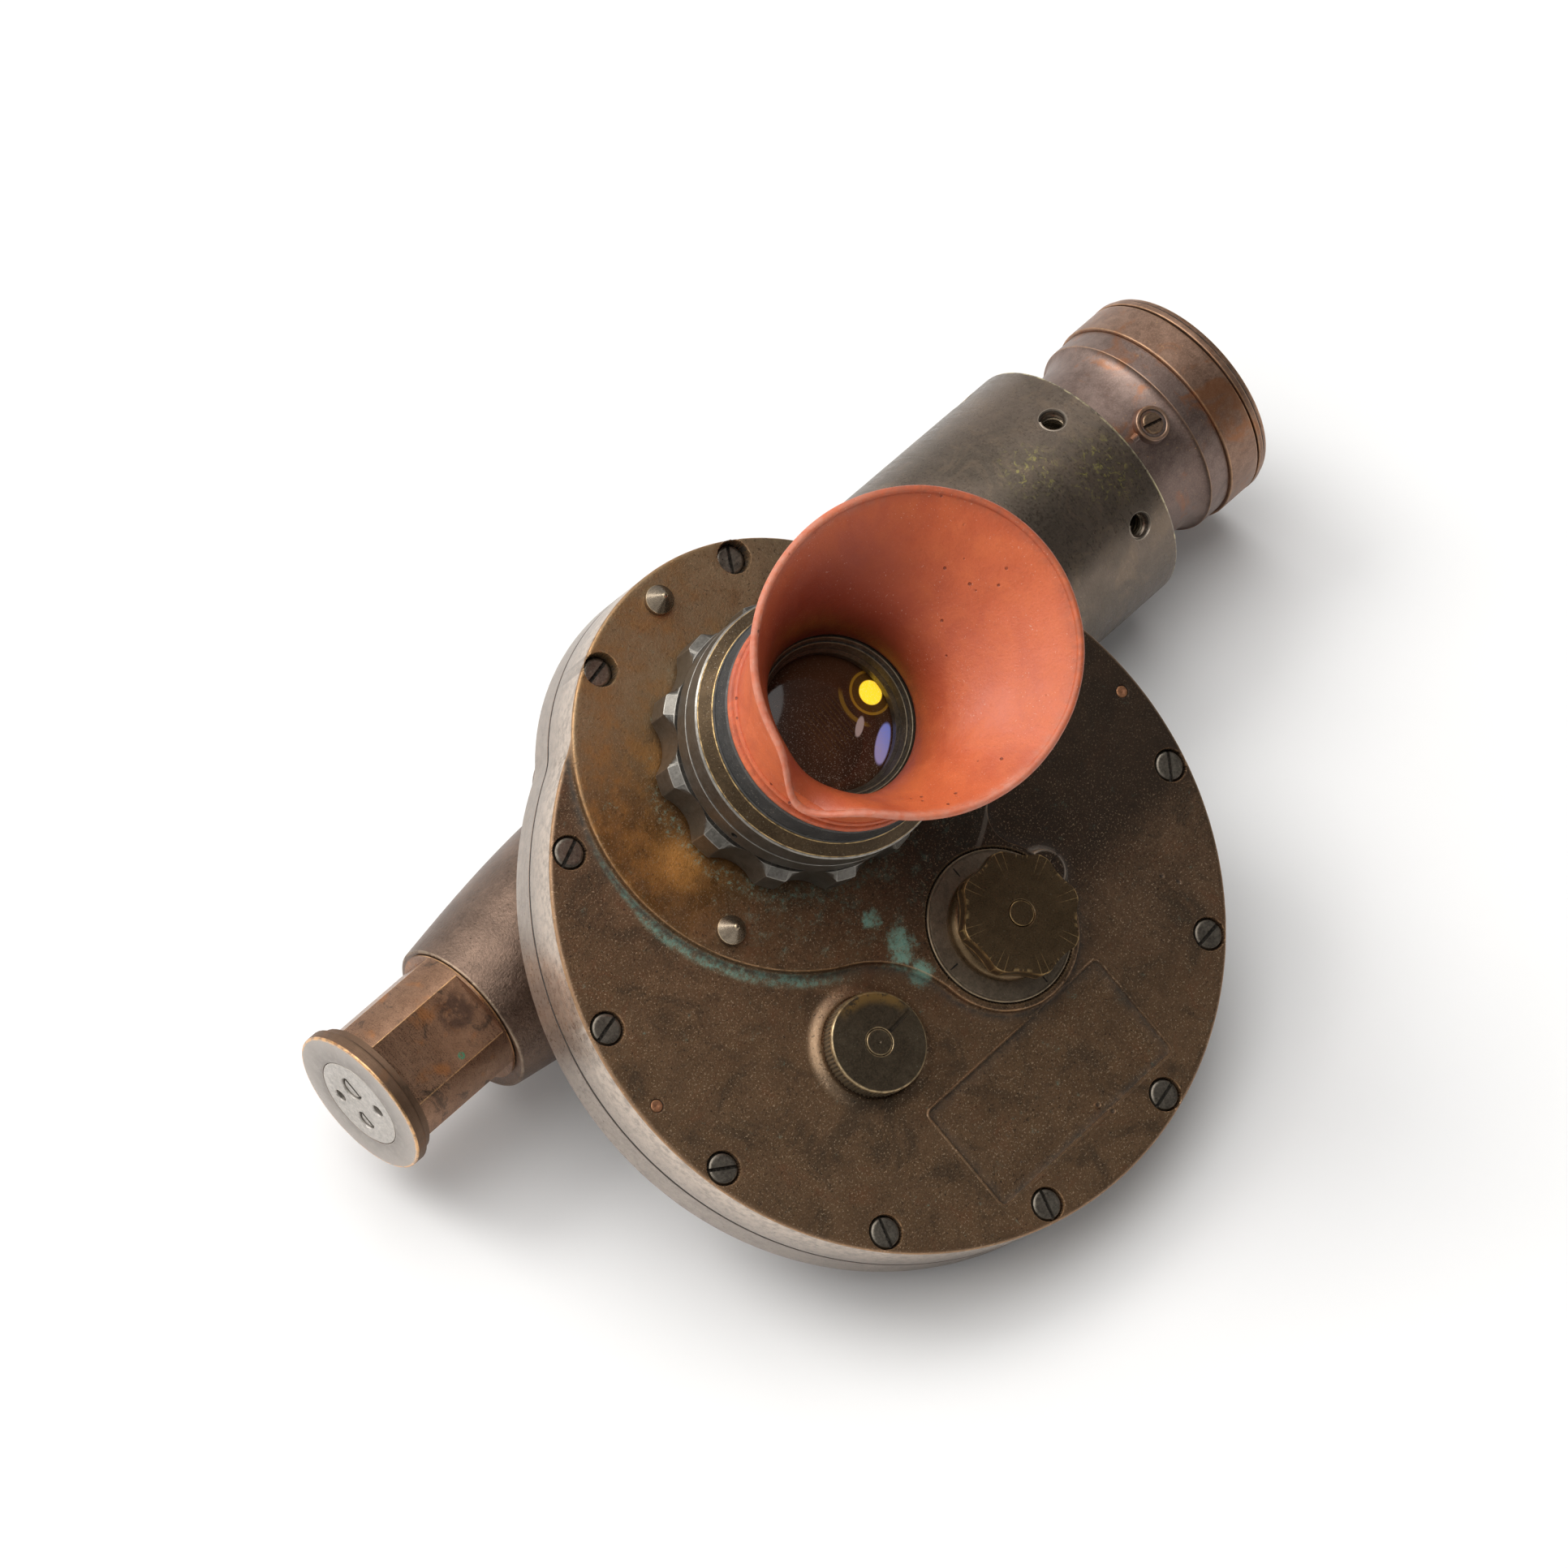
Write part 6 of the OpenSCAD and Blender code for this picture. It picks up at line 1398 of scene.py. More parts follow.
def build_objective(sizes):
    e = sizes.edge_round
    flare = [(NECK_R + 2.9 * (1 - math.cos(math.pi / 2 * i / 8)), COLLAR_X - 8.0 + 8.0
        * math.sin(math.pi / 2 * i / 8)) for i in range(9)]
    tube = Piece("tube").turn([(22.5, 50.0), (28.95, 50.0), (28.95, 79.9), (NECK_R, 79.9), *flare[:-1],
        (29.4, COLLAR_X, 0.2), (29.4, CELL_X, 0.3), (NECK_R, CELL_X), (NECK_R, COLLAR_X + 0.2),
        (22.5, COLLAR_X + 0.2)], 176, ON_TUBE)
    spot = Matrix.Translation((SEAL_X, EYE_Y, -TUBE_DROP))
    boss = Piece("boss").turn([(0.0, 23.5), (5.6, 23.5), (5.0, 26.9, 0.6), (4.75, SEAL_TOP, 0.35),
        (3.9, SEAL_TOP, 0.25), (3.7, SEAL_TOP - 0.35, 0.1), (2.95, SEAL_TOP - 0.35), (2.95, 25.9),
        (0.0, 25.9)], 64, spot)
    tail = Piece("tail")
    half = 1.1
    section = [(-half, 23.5), (-half, 26.7), (-half * 0.6, 27.2), (0.0, 27.35), (half * 0.6, 27.2),
        (half, 26.7), (half, 23.5)]
    for x in (-7.0, -4.0):
        tail.add([(x, y, z - (0.5 if x < -5 else 0.0)) for y, z in section], [], place=spot)
    tail.faces = [[i, (i + 1) % 7, 7 + (i + 1) % 7, 7 + i] for i in range(7)] + [list(range(6, -1, -1)),
        list(range(7, 14))]
    tail.kinds = [0] * len(tail.faces)
    hole = Piece("hole").turn([(0.0, 25.9), (2.95, 25.9), (2.95, 40.0), (0.0, 40.0)], 64, spot)
    mesh = combine(tube.mesh(), [boss.mesh(), tail.mesh()], "UNION", "objective_tube")
    mesh = combine(mesh, [hole.mesh()], "DIFFERENCE", "objective_tube")
    stand_in(tidy_mesh(mesh), "objective_neck", "body", [FINISH["tube"]], ["objective_tube"])
    cell = Piece("cell").turn([(23.5, COLLAR_X + 0.6), (26.45, COLLAR_X + 0.6), (26.45, CELL_X + 0.02),
        (30.3, CELL_X + 0.02, e), (30.3, GASKET_X, e), (25.05, GASKET_X), (25.05, 171.5), (23.5, 171.5)],
        176, ON_TUBE)
    stand_in(cell.mesh(), "objective_cell_ring", "body", [FINISH["cell"]], ["objective_cell"])
    cap = Piece("cap").turn([(23.6, CAP_X), (30.4, CAP_X, e * 0.8), (30.4, CAP_X + 1.5, 0.25),
        (29.9, CAP_X + 2.0, 0.2), (29.75, CAP_END, 0.7), (26.0, CAP_END, 0.3), (23.6, CAP_END - 1.6, 0.3)],
        176, ON_TUBE)
    stand_in(cap.mesh(), "objective_front_cap", "body", [FINISH["cell"]], ["objective_cap"])


def build_rear():
    edge = math.degrees(math.acos(STEM_FLAT / STEM_R))
    angles = []
    for k in range(4):
        middle = 90.0 * k
        angles += [middle + d for d in (-edge - 1.4, -edge, -edge + 1.5,
            *np.linspace(-edge + 3, edge - 3, 9), edge - 1.5, edge, edge + 1.4)]
        angles += [middle + d for d in np.linspace(edge + 3, 87 - edge, 7)]
    angles = [math.radians(a) for a in sorted(angles)]

    def flats(r, z, a, wear, grime):
        if r < 14.0:
            return r, z, 0.0, 0.9 if z > STEM_END + 0.1 else 0.3
        if STEM_END + 0.6 < z < STEM_FLANGE_X + 3.0:
            wear = 0.1 * wear
        if z < STEM_FLANGE_X + 2.15 or z > STEM_X - 0.97:
            return r, z, wear, grime
        off = (math.degrees(a) + 45.0) % 90.0 - 45.0
        flat = STEM_FLAT / math.cos(math.radians(off))
        if flat < r + 1e-6:
            near = max(0.0, 1.0 - abs(abs(off) - edge) / 1.5)
            return flat, z, max(near, wear), grime
        return r, z, max(wear, max(0.0, 1.0 - abs(abs(off) - edge) / 1.4)), grime

    shank = Piece("shank").turn([(9.0, -63.3), (9.0, STEM_END + 6.0), (PLUG_R + 0.05, STEM_END + 6.0),
        (PLUG_R + 0.05, STEM_END, 0.15), (STEM_FLANGE_R, STEM_END, 0.5),
        (STEM_FLANGE_R, STEM_FLANGE_X, 0.4), (STEM_R, STEM_FLANGE_X, 0.25),
        (STEM_R, STEM_FLANGE_X + 2.1, 0.15), (STEM_R, STEM_FLANGE_X + 2.2), (STEM_R, -100.0),
        (STEM_R, STEM_X - 1.0), (STEM_R, STEM_X - 0.95), (STEM_R, STEM_X, 0.3), (15.0, STEM_X),
        (15.0, -63.3)], place=ON_TUBE, angles=angles, shape=flats)
    stand_in(shank.mesh(20.0), "rear_shank_turned", "body", [FINISH["stem"]], ["rear_shank"])
    plug = Piece("plug").turn([(0.0, STEM_END), (11.0, STEM_END), (PLUG_R - 0.1, STEM_END, 0.15),
        (PLUG_R, STEM_END + 6.0), (0.0, STEM_END + 6.0)], 128, ON_TUBE)
    cutters = []
    for (y, z), r in (((3.9, 2.1), 3.3), ((-4.5, -3.8), 2.6), ((4.1, -6.3), 1.7), ((-4.1, 6.3), 1.7)):
        spot = Matrix.Translation((STEM_END, EYE_Y + y, -TUBE_DROP + z)) @ Matrix.Rotation(math.pi / 2, 4,
            "Y")
        cutters.append(Piece("cut").turn([(0.0, -1.0), (r + 0.25, -1.0), (r + 0.2, 0.0), (r, 0.3),
            (r, 4.05 if r > 2 else 2.5), (0.0, 4.05 if r > 2 else 2.5)], 48, spot).mesh())
    mesh = combine(plug.mesh(), cutters, "DIFFERENCE", "rear_plug")
    stand_in(tidy_mesh(mesh), "rear_plug_disc", "body", [FINISH["plug"]], ["rear_plug"])


# Screws, studs and dowels

# How far each cover screw's slot is turned, in degrees, in the order of SCREW_PLACES
SLOT_TURNS = [30.0, 120.0, 22.0, 13.0, -31.0, 72.0, 74.0, 13.0, 6.0, 54.0, 11.0, 59.0]
PLUG_SCREW_SPIN = 88.0


def screw_recipe(radius, height, shank_r, shank_l, slot_wide, slot_deep, finish, name, round_edge=0.9):
    """Slotted screw built at the origin with its head's top at z = 0 and put on every point."""
    recipe = Recipe(name, {"Head radius": radius, "Head height": height, "Edge": round_edge,
        "Shank radius": shank_r, "Shank length": shank_l, "Slot width": slot_wide, "Slot depth": slot_deep,
        "Metal": finish})
    given = recipe.given
    head = recipe.add("GeometryNodeMeshCylinder", {"Vertices": 64, "Side Segments": 2, "Fill Segments": 12,
        "Radius": "Head radius", "Depth": "Head height"})
    x, y, z = recipe.position()
    squares = x * x + y * y
    rho = recipe.math("SQRT", squares)
    inner = given["Head radius"] - given["Edge"]
    over = recipe.math("MAXIMUM", (rho - inner) / given["Edge"], 0.0)
    round_off = 1.0 - recipe.math("SQRT", recipe.math("MAXIMUM", 1.0 - over * over, 0.0))
    drop = round_off * given["Edge"] * recipe.math("GREATER_THAN", z, 0.001)
    half = given["Head height"] * -0.5
    offset = recipe.add("ShaderNodeCombineXYZ", {"Z": half - drop})
    domed = recipe.add("GeometryNodeSetPosition", {"Geometry": head.outputs["Mesh"],
        "Offset": offset.outputs[0]})
    bar = recipe.add("GeometryNodeMeshCube")
    long_side = given["Head radius"] * 3.0
    size = recipe.add("ShaderNodeCombineXYZ", {"X": long_side, "Y": given["Slot width"],
        "Z": given["Slot depth"] * 2.0})
    recipe.tree.links.new(size.outputs[0], bar.inputs["Size"])
    slotted = recipe.add("GeometryNodeMeshBoolean", {"Mesh 1": domed.outputs[0]}, operation="DIFFERENCE",
        solver="EXACT")
    recipe.tree.links.new(bar.outputs[0], slotted.inputs["Mesh 2"])
    shank = recipe.add("GeometryNodeMeshCylinder", {"Vertices": 32, "Radius": "Shank radius",
        "Depth": "Shank length"})
    down = given["Shank length"] * -0.5 - (given["Head height"] - 0.05)
    lower = recipe.add("ShaderNodeCombineXYZ", {"Z": down})
    hung = recipe.add("GeometryNodeSetPosition", {"Geometry": shank.outputs["Mesh"],
        "Offset": lower.outputs[0]})
    whole = recipe.add("GeometryNodeJoinGeometry")
    recipe.tree.links.new(hung.outputs[0], whole.inputs[0])
    recipe.tree.links.new(slotted.outputs[0], whole.inputs[0])
    recipe.finish(instanced(recipe, whole.outputs[0]), "Metal")
    return recipe


def mark_screws(mesh, places, radius, slot_deep):
    """Wear on the rims of the heads and dirt in their slots, measured from each head's own top."""
    co = np.array([v.co for v in mesh.vertices])
    wear, grime = np.zeros(len(co)), np.zeros(len(co))
    for place, axis in places:
        rel = co - np.array(place)
        up = rel @ np.array(axis)
        rho = np.linalg.norm(rel - np.outer(up, axis), axis=1)
        near = (rho < radius + 0.1) & (up > -slot_deep - 2.0) & (up < 1.0)
        wear = np.where(near & (rho > radius - 0.5) & (up > -0.95), 0.7, wear)
        grime = np.where(near & (up < -slot_deep + 0.1), 1.0, grime)
    store(mesh, wear=wear, grime=grime)


def build_fasteners(sizes):
    recipe = screw_recipe(HEAD_R, 3.0, 2.4, SHANK_L, sizes.slot_wide, sizes.slot_deep, FINISH["screw"],
        "cover screws")
    places = [(x, y, HEAD_LOW + 3.0) for x, y in SCREW_PLACES]
    mesh = recipe.grow(points_mesh(places, [(0.0, 0.0, math.radians(t)) for t in SLOT_TURNS]), "cover_screws")
    mark_screws(mesh, [(p, (0.0, 0.0, 1.0)) for p in places], HEAD_R, sizes.slot_deep)
    mesh.transform(SETTLE)
    stand_in(tidy_mesh(mesh), "cover_screw_set", "body", [FINISH["screw"]], ["cover_screws"])
    single = (("seal_screw", "seal_screw_slotted", "body", "dark_screw", FINISH["seal"], 2.9, 2.7, 1.45,
        4.5, 0.8, 1.2, (SEAL_X, EYE_Y, -TUBE_DROP + SEAL_TOP + 0.2), (0.0, 0.0, math.radians(-13.0)),
        (0.0, 0.0, 1.0)), ("valve_screw", "valve_screw_slotted", "valve", "plug_metal", FINISH["plug"],
        2.95, 3.0, 1.6, 0.9, 0.9, 1.2, (STEM_END + 0.5, EYE_Y + 3.9, -TUBE_DROP + 2.1),
        (0.0, -math.pi / 2, 0.0), (-1.0, 0.0, 0.0)), ("inlet_screw", "inlet_screw_slotted", "body",
        "plug_metal", FINISH["plug"], 2.25, 3.0, 1.2, 0.9, 0.8, 1.2,
        (STEM_END + 0.5, EYE_Y - 4.5, -TUBE_DROP - 3.8), (0.0, -math.pi / 2, 0.0), (-1.0, 0.0, 0.0)))
    for node, name, body, slot, finish, r, h, sr, sl, wide, deep, place, turn, axis in single:
        if axis[0]:
            spin = Matrix.Rotation(math.radians(PLUG_SCREW_SPIN), 4, "Z")
            turn = tuple((Matrix.Rotation(-math.pi / 2, 4, "Y") @ spin).to_euler())
        mesh = screw_recipe(r, h, sr, sl, wide, deep, finish, name, 0.35).grow(points_mesh([place], [turn]),
            name)
        mark_screws(mesh, [(place, axis)], r, deep)
        mesh.transform(SETTLE)
        stand_in(tidy_mesh(mesh), name, body, [finish], [node])
    studs = Piece("studs")
    for x, y in STUD_PLACES:
        studs.turn([(0.0, BOSS_H - 3.8), (2.7, BOSS_H - 3.8), (2.7, BOSS_H), (3.7, BOSS_H),
            (3.7, BOSS_H + 1.5, 0.3), (0.6, BOSS_H + 5.3, 0.4), (0.0, BOSS_H + 5.5)], 64,
            Matrix.Translation((x, y, 0.0)))
    stand_in(studs.mesh(50.0), "pointed_studs", "body", [FINISH["stud"]], ["studs"])
    dowels = Piece("dowels")
    for x, y in DOWEL_PLACES:
        dowels.turn([(0.0, FLANGE_TOP - 8.0), (1.6, FLANGE_TOP - 8.0), (1.6, -0.2, 0.3), (0.8, -0.2),
            (0.3, -0.32), (0.0, -0.36)], 32, Matrix.Translation((x, y, 0.0)))
    stand_in(dowels.mesh(), "rim_dowels", "body", [FINISH["copper"]], ["dowels"])


# Eyepiece

def build_focus():
    scallop_r, scallop_at = 9.7, GRIP_R - 3.2 + 9.7
    half = math.degrees(math.acos((GRIP_R ** 2 + scallop_at ** 2 - scallop_r ** 2)
        / (2 * GRIP_R * scallop_at)))
    steps = [-15.0, -13.6, -half - 1.4, -half - 0.75, -half - 0.4, -half - 0.15, -half + 0.1, -half + 0.35,
        -half + 0.7, -half + 1.4]
    steps += [-7.0, -5.0, -3.0, -1.0]
    steps = steps + [-s for s in steps[1:]][::-1]
    angles = [math.radians(7.0 + (i + 0.5) * 30.0 + s) for i in range(12) for s in steps]

    def scalloped(r, z, a, wear, grime):
        if z > GRIP_TOP + 0.01 or r < 31.7:
            return r, z, wear, grime
        off = math.radians((math.degrees(a) - 7.0) % 30.0 - 15.0)
        bite = scallop_at * math.cos(off) - math.sqrt(max(0.0, scallop_r ** 2
            - (scallop_at * math.sin(off)) ** 2))
        share = max(0.0, min(1.0, 0.5 + 0.5 * (bite - r) / 0.35))
        made = bite + (r - bite) * share - 0.35 * share * (1.0 - share)
        near = max(0.0, 1.0 - abs(abs(math.degrees(off)) - half) / 0.8)
        cut = 0.0 if made > r - 0.05 else 0.55 * wear
        return made, z, max(near * 0.9, wear if made > r - 0.05 else cut), grime

    top = GRIP_TOP
    ring = Piece("grip").turn([(FOCUS_BORE_R, GRIP_LOW), (34.5, GRIP_LOW), (GRIP_R, GRIP_LOW + 0.8, 0.3),
        (GRIP_R, top - 1.9, 0.2), (33.0, top, 0.15), (31.6, top, 0.3), (31.6, top + 1.4, 0.2),
        (32.6, top + 1.9, 0.15), (33.0, top + 2.3, 0.2), (33.0, top + 7.6, 0.12), (32.65, top + 7.8, 0.08),
        (32.65, top + 8.2, 0.08), (33.0, top + 8.4, 0.12), (33.0, RING_TOP - 0.4, 0.12),
        (32.6, RING_TOP, 0.12), (27.8, RING_TOP), (27.8, 20.3), (FOCUS_BORE_R, 20.3)], place=ON_EYE,
        angles=angles, shape=scalloped, reach=0.3)
    a = math.radians(191.0)
    spot = Matrix.Translation((33.5 * math.cos(a), EYE_Y + 33.5 * math.sin(a), top
        + 5.0)) @ Matrix.Rotation(a, 4, "Z") @ Matrix.Rotation(-math.pi / 2, 4, "Y")
    pit = Piece("pit").turn([(0.0, -1.0), (0.9, -1.0), (0.9, 2.4), (0.0, 2.4)], 24, spot)
    mesh = combine(ring.mesh(), [pit.mesh()], "DIFFERENCE", "focus_ring")
    stand_in(tidy_mesh(mesh, 28.0), "scalloped_focus_ring", "focus", [FINISH["grip"]], ["focus_ring"])
    cap = Piece("cap").turn([(27.8, RING_TOP), (32.4, RING_TOP), (32.7, RING_TOP + 0.4, 0.18),
        (29.8, CAP_TOP, 0.25), (27.8, CAP_TOP)], 180, ON_EYE)
    stand_in(cap.mesh(24.0), "tapered_focus_cap", "focus", [FINISH["cap"]], ["focus_cap"])


def build_eye_optics():
    radii = [LENS_R * (1 - i / 14) for i in range(15)]
    dome = [(r, LENS_SEAT + 8.0 - DOME_R + math.sqrt(DOME_R ** 2 - r * r)) for r in radii]
    lens = Piece("lens").turn([(0.0, LENS_SEAT), (LENS_R, LENS_SEAT), (LENS_R, dome[0][1], 0.2), *dome[1:]],
        128, ON_EYE)
    stand_in(lens.mesh(40.0), "eye_lens_glass", "eyepiece", [FINISH["eye lens"]], ["eye_lens"])
    ring = Piece("ring").turn([(17.2, 30.9), (18.2, 30.0), (18.2, 33.1), (20.5, 33.1), (20.5, 36.9, 0.12),
        (19.8, 37.2, 0.2), (19.2, 36.0, 0.15), (18.7, 36.2, 0.15), (17.9, 34.2, 0.2), (17.2, 33.0, 0.15)],
        160, ON_EYE, reach=0.2)
    stand_in(ring.mesh(24.0), "lens_ring", "eyepiece", [FINISH["retainer"]], ["eye_lens_retainer"])
    clamp = Piece("clamp").turn([(25.05, CLAMP_LOW), (29.8, CLAMP_LOW, 0.1), (29.8, CLAMP_LOW + 0.6, 0.12),
        (29.5, CLAMP_LOW + 0.9, 0.12), (28.9, CLAMP_TOP - 0.4, 0.2), (28.5, CLAMP_TOP, 0.2),
        (27.65, CLAMP_TOP), (27.65, 34.6), (25.05, 34.6)], 180, ON_EYE, reach=0.3)
    stand_in(clamp.mesh(24.0), "rubber_clamp_ring", "eyeguard", [FINISH["clamp"]], ["eyeguard_clamp"])


NECK_RUBBER_R = 27.3
THROAT_R = 20.2
HORN_Z = CLAMP_TOP + 4.5
MOUTH = (42.5, 39.3)
MOUTH_TOP = 67.5
LIP = 2.0


def horn_point(th, t, power, r0, a1, b1, z0, lift):
    """Point of the flared rubber: t runs from the neck to the lip, and the near lip has a pinched fold."""
    f = t ** power
    degrees = math.degrees(th)
    w = math.exp(-((degrees - 195.0) / 13.0) ** 2) * t ** 4
    rim = MOUTH_TOP + 4.5 * math.cos(th) + lift
    a, b = r0 + (a1 - r0) * f, r0 + (b1 - r0) * f
    return (14.0 * f + (a + 5.0 * w) * math.cos(th), 2.0 * f + (b + 5.0 * w) * math.sin(th), z0 + (rim - z0)
        * t - 7.0 * w)


def build_eyeguard():
    """Flared rubber with two beads at its neck, a rolled lip and the same fold as the frame's solid."""
    foot = [(25.3, 34.65), (27.5, 34.65), (27.5, 39.65)]
    foot += [(27.9 + 0.95 * math.cos(u), 40.6 + 0.95 * math.sin(u))
        for u in np.linspace(-math.pi / 2, math.pi / 2, 9)]
    foot += [(27.45, 41.7), (27.3, 41.95)]
    foot += [(27.3 + 0.75 * math.cos(u), 42.75 + 0.75 * math.sin(u))
        for u in np.linspace(-math.pi / 2, math.pi / 2, 8)]
    sides, outer, inner = 264, 34, 40
    points, wear, grime, inside = [], [], [], []
    for k in range(sides):
        th = 2 * math.pi * k / sides
        column = [((r * math.cos(th), r * math.sin(th), z), 0.0, 0.5 if z < 42 else 0.2, 0.0) for r,
            z in foot]
        for i in range(outer):
            t = i / outer
            column.append((horn_point(th, t, 1.8, NECK_RUBBER_R, *MOUTH, HORN_Z, 0.0),
                max(0.0, (t - 0.93) / 0.07), max(0.0, 0.35 - t) * 0.6, 0.0))
        for i in range(11):
            u = math.pi * i / 10
            inset = LIP / 2 * (1 - math.cos(u))
            column.append((horn_point(th, 1.0, 1.0, 0.0, MOUTH[0] - inset, MOUTH[1] - inset, HORN_Z, 1.05
                * math.sin(u)), 1.0, 0.0, 0.5 * i / 10))
        for i in range(inner, 0, -1):
            t = i / inner
            column.append((horn_point(th, t * 0.999, 1.9, THROAT_R, MOUTH[0] - LIP, MOUTH[1] - LIP, 38.3,
                0.0), max(0.0, (t - 0.965) / 0.035) * 0.8, max(0.0, 0.22 - t) * 2.5, 1.0))
        for r, z, dirt in ((THROAT_R, 38.3, 0.6), (THROAT_R + 0.15, 37.75, 1.0),
                (THROAT_R + 0.5, 37.5, 1.0), (25.3, 37.5, 0.0)):
            column.append(((r * math.cos(th), r * math.sin(th), z), 0.0, dirt, 1.0))
        for (x, y, z), w, g, s in column:
            reach = min(1.0, max(0.0, (z - 44.0) / 12.0))
            wave = noise.noise(Vector((x * 0.045, y * 0.045, z * 0.03
                + 4.0))) * 0.55 + noise.noise(Vector((x * 0.15, y * 0.15, z * 0.15))) * 0.1
            z += wave * reach
            grow = 1.0 + 0.006 * reach * noise.noise(Vector((x * 0.05, y * 0.05, 9.0)))
            lean = min(1.0, max(0.0, (z - 46.0) / 28.0)) ** 1.5
            points.append((x * grow - 2.0 * lean, y * grow + EYE_Y - 2.2 * lean, z))
            wear.append(w)
            grime.append(g)
            inside.append(s)
    n = len(points) // sides
    faces = []
    for k in range(sides):
        m = (k + 1) % sides
        for j in range(n):
            i = (j + 1) % n
            faces.append([k * n + j, m * n + j, m * n + i, k * n + i])
    piece = Piece("eyeguard")
    piece.add(points, faces, wear, grime)
    mesh = piece.mesh(60.0)
    store(mesh, inside=inside)
    stand_in(mesh, "rubber_eyeguard", "eyeguard", [FINISH["rubber"]], ["eyeguard"])


# Knobs

POINTER_TURN = 4.0
KNOB_TOP = 16.3
KNOB_LOW = 10.5
KNOB_R = 16.0
LOBE_PHASE = 25.1
HOLLOW_HALF = 18.5
DIAL_LOW = 1.6
DIAL_TOP = 2.8


def build_filter_knob():
    def lobed(r, z, a, wear, grime):
        if z < KNOB_LOW - 0.01 or r < 12.5:
            return r, z, wear * (0.4 if r < 5.0 else 0.8), grime
        off = (math.degrees(a) - LOBE_PHASE) % 45.0 - 22.5
        wave = KNOB_R - 1.5 * max(0.0, 1.0 - (off / HOLLOW_HALF) ** 2)
        share = max(0.0, min(1.0, 0.5 + 0.5 * (wave - r) / 0.5))
        made = wave + (r - wave) * share - 0.5 * share * (1.0 - share)
        crest = max(0.0, 1.0 - abs(abs(off) - HOLLOW_HALF) / 1.3)
        rim = 1.0 if z > KNOB_TOP - 0.42 and r > 15.6 else 0.0
        return made, z, max(wear, 0.9 * crest, rim), grime

    half = [-HOLLOW_HALF - 1.2, -HOLLOW_HALF - 0.5, -HOLLOW_HALF, -HOLLOW_HALF + 0.8,
        *np.linspace(-HOLLOW_HALF + 2.5, 0.0, 8)]
    steps = [-22.5, -20.5] + half + [-v for v in half[:-1]][::-1] + [20.5]
    angles = [math.radians(LOBE_PHASE + 22.5 + 45.0 * k + v) for k in range(8) for v in steps]
    curve = [(12.1 + 2.4 * math.cos(u), DIAL_TOP + 1.6 + 2.4 * math.sin(u))
        for u in np.radians(np.linspace(-30, 70, 14))]
    knob = Piece("knob").turn([(0.0, DIAL_TOP + 0.05), (14.2, DIAL_TOP + 0.05, 0.1), *curve,
        (11.3, KNOB_LOW, 0.5), (14.4, KNOB_LOW, 0.3), (16.2, 12.1, 0.5), (16.2, KNOB_TOP - 0.4),
        (15.9, KNOB_TOP, 0.2), (12.6, KNOB_TOP), (3.6, KNOB_TOP, 0.1), (3.35, KNOB_TOP - 0.25),
        (3.35, KNOB_TOP - 1.5), (0.0, KNOB_TOP - 1.5)], place=AT_FILTER, angles=angles, shape=lobed,
        steps=5)
    stand_in(knob.mesh(24.0), "lobed_filter_knob", "filter_drive", [FINISH["knob"]], ["filter_knob"])
    plug = Piece("plug").turn([(0.0, KNOB_TOP - 1.5), (3.2, KNOB_TOP - 1.5), (3.2, KNOB_TOP - 0.02, 0.1),
        (0.0, KNOB_TOP - 0.02)], 64, AT_FILTER)
    stand_in(plug.mesh(), "filter_knob_centre", "filter_drive", [FINISH["knob"]], ["filter_knob_plug"])
    dial = Piece("dial").turn([(4.05, DIAL_LOW), (19.1, DIAL_LOW), (19.3, DIAL_LOW + 0.2),
        (19.3, DIAL_TOP - 0.2, 0.1), (19.1, DIAL_TOP, 0.1), (18.8, DIAL_TOP), (18.7, DIAL_TOP - 0.15),
        (18.5, DIAL_TOP - 0.15), (18.4, DIAL_TOP), (15.0, DIAL_TOP), (4.05, DIAL_TOP)], 192, AT_FILTER,
        reach=0.15)
    cutters = []
    for turn in range(4):
        place = AT_FILTER @ Matrix.Rotation(math.pi / 2 * turn, 4, "Z")
        cutters.append(box_cutter((15.5, 18.1), (-0.2, 0.2), (DIAL_TOP - 0.22, DIAL_TOP + 1.0), place))
    mesh = combine(dial.mesh(), cutters, "DIFFERENCE", "filter_dial")
    stand_in(tidy_mesh(mesh), "marked_filter_dial", "filter_drive", [FINISH["dial"]], ["filter_dial"])


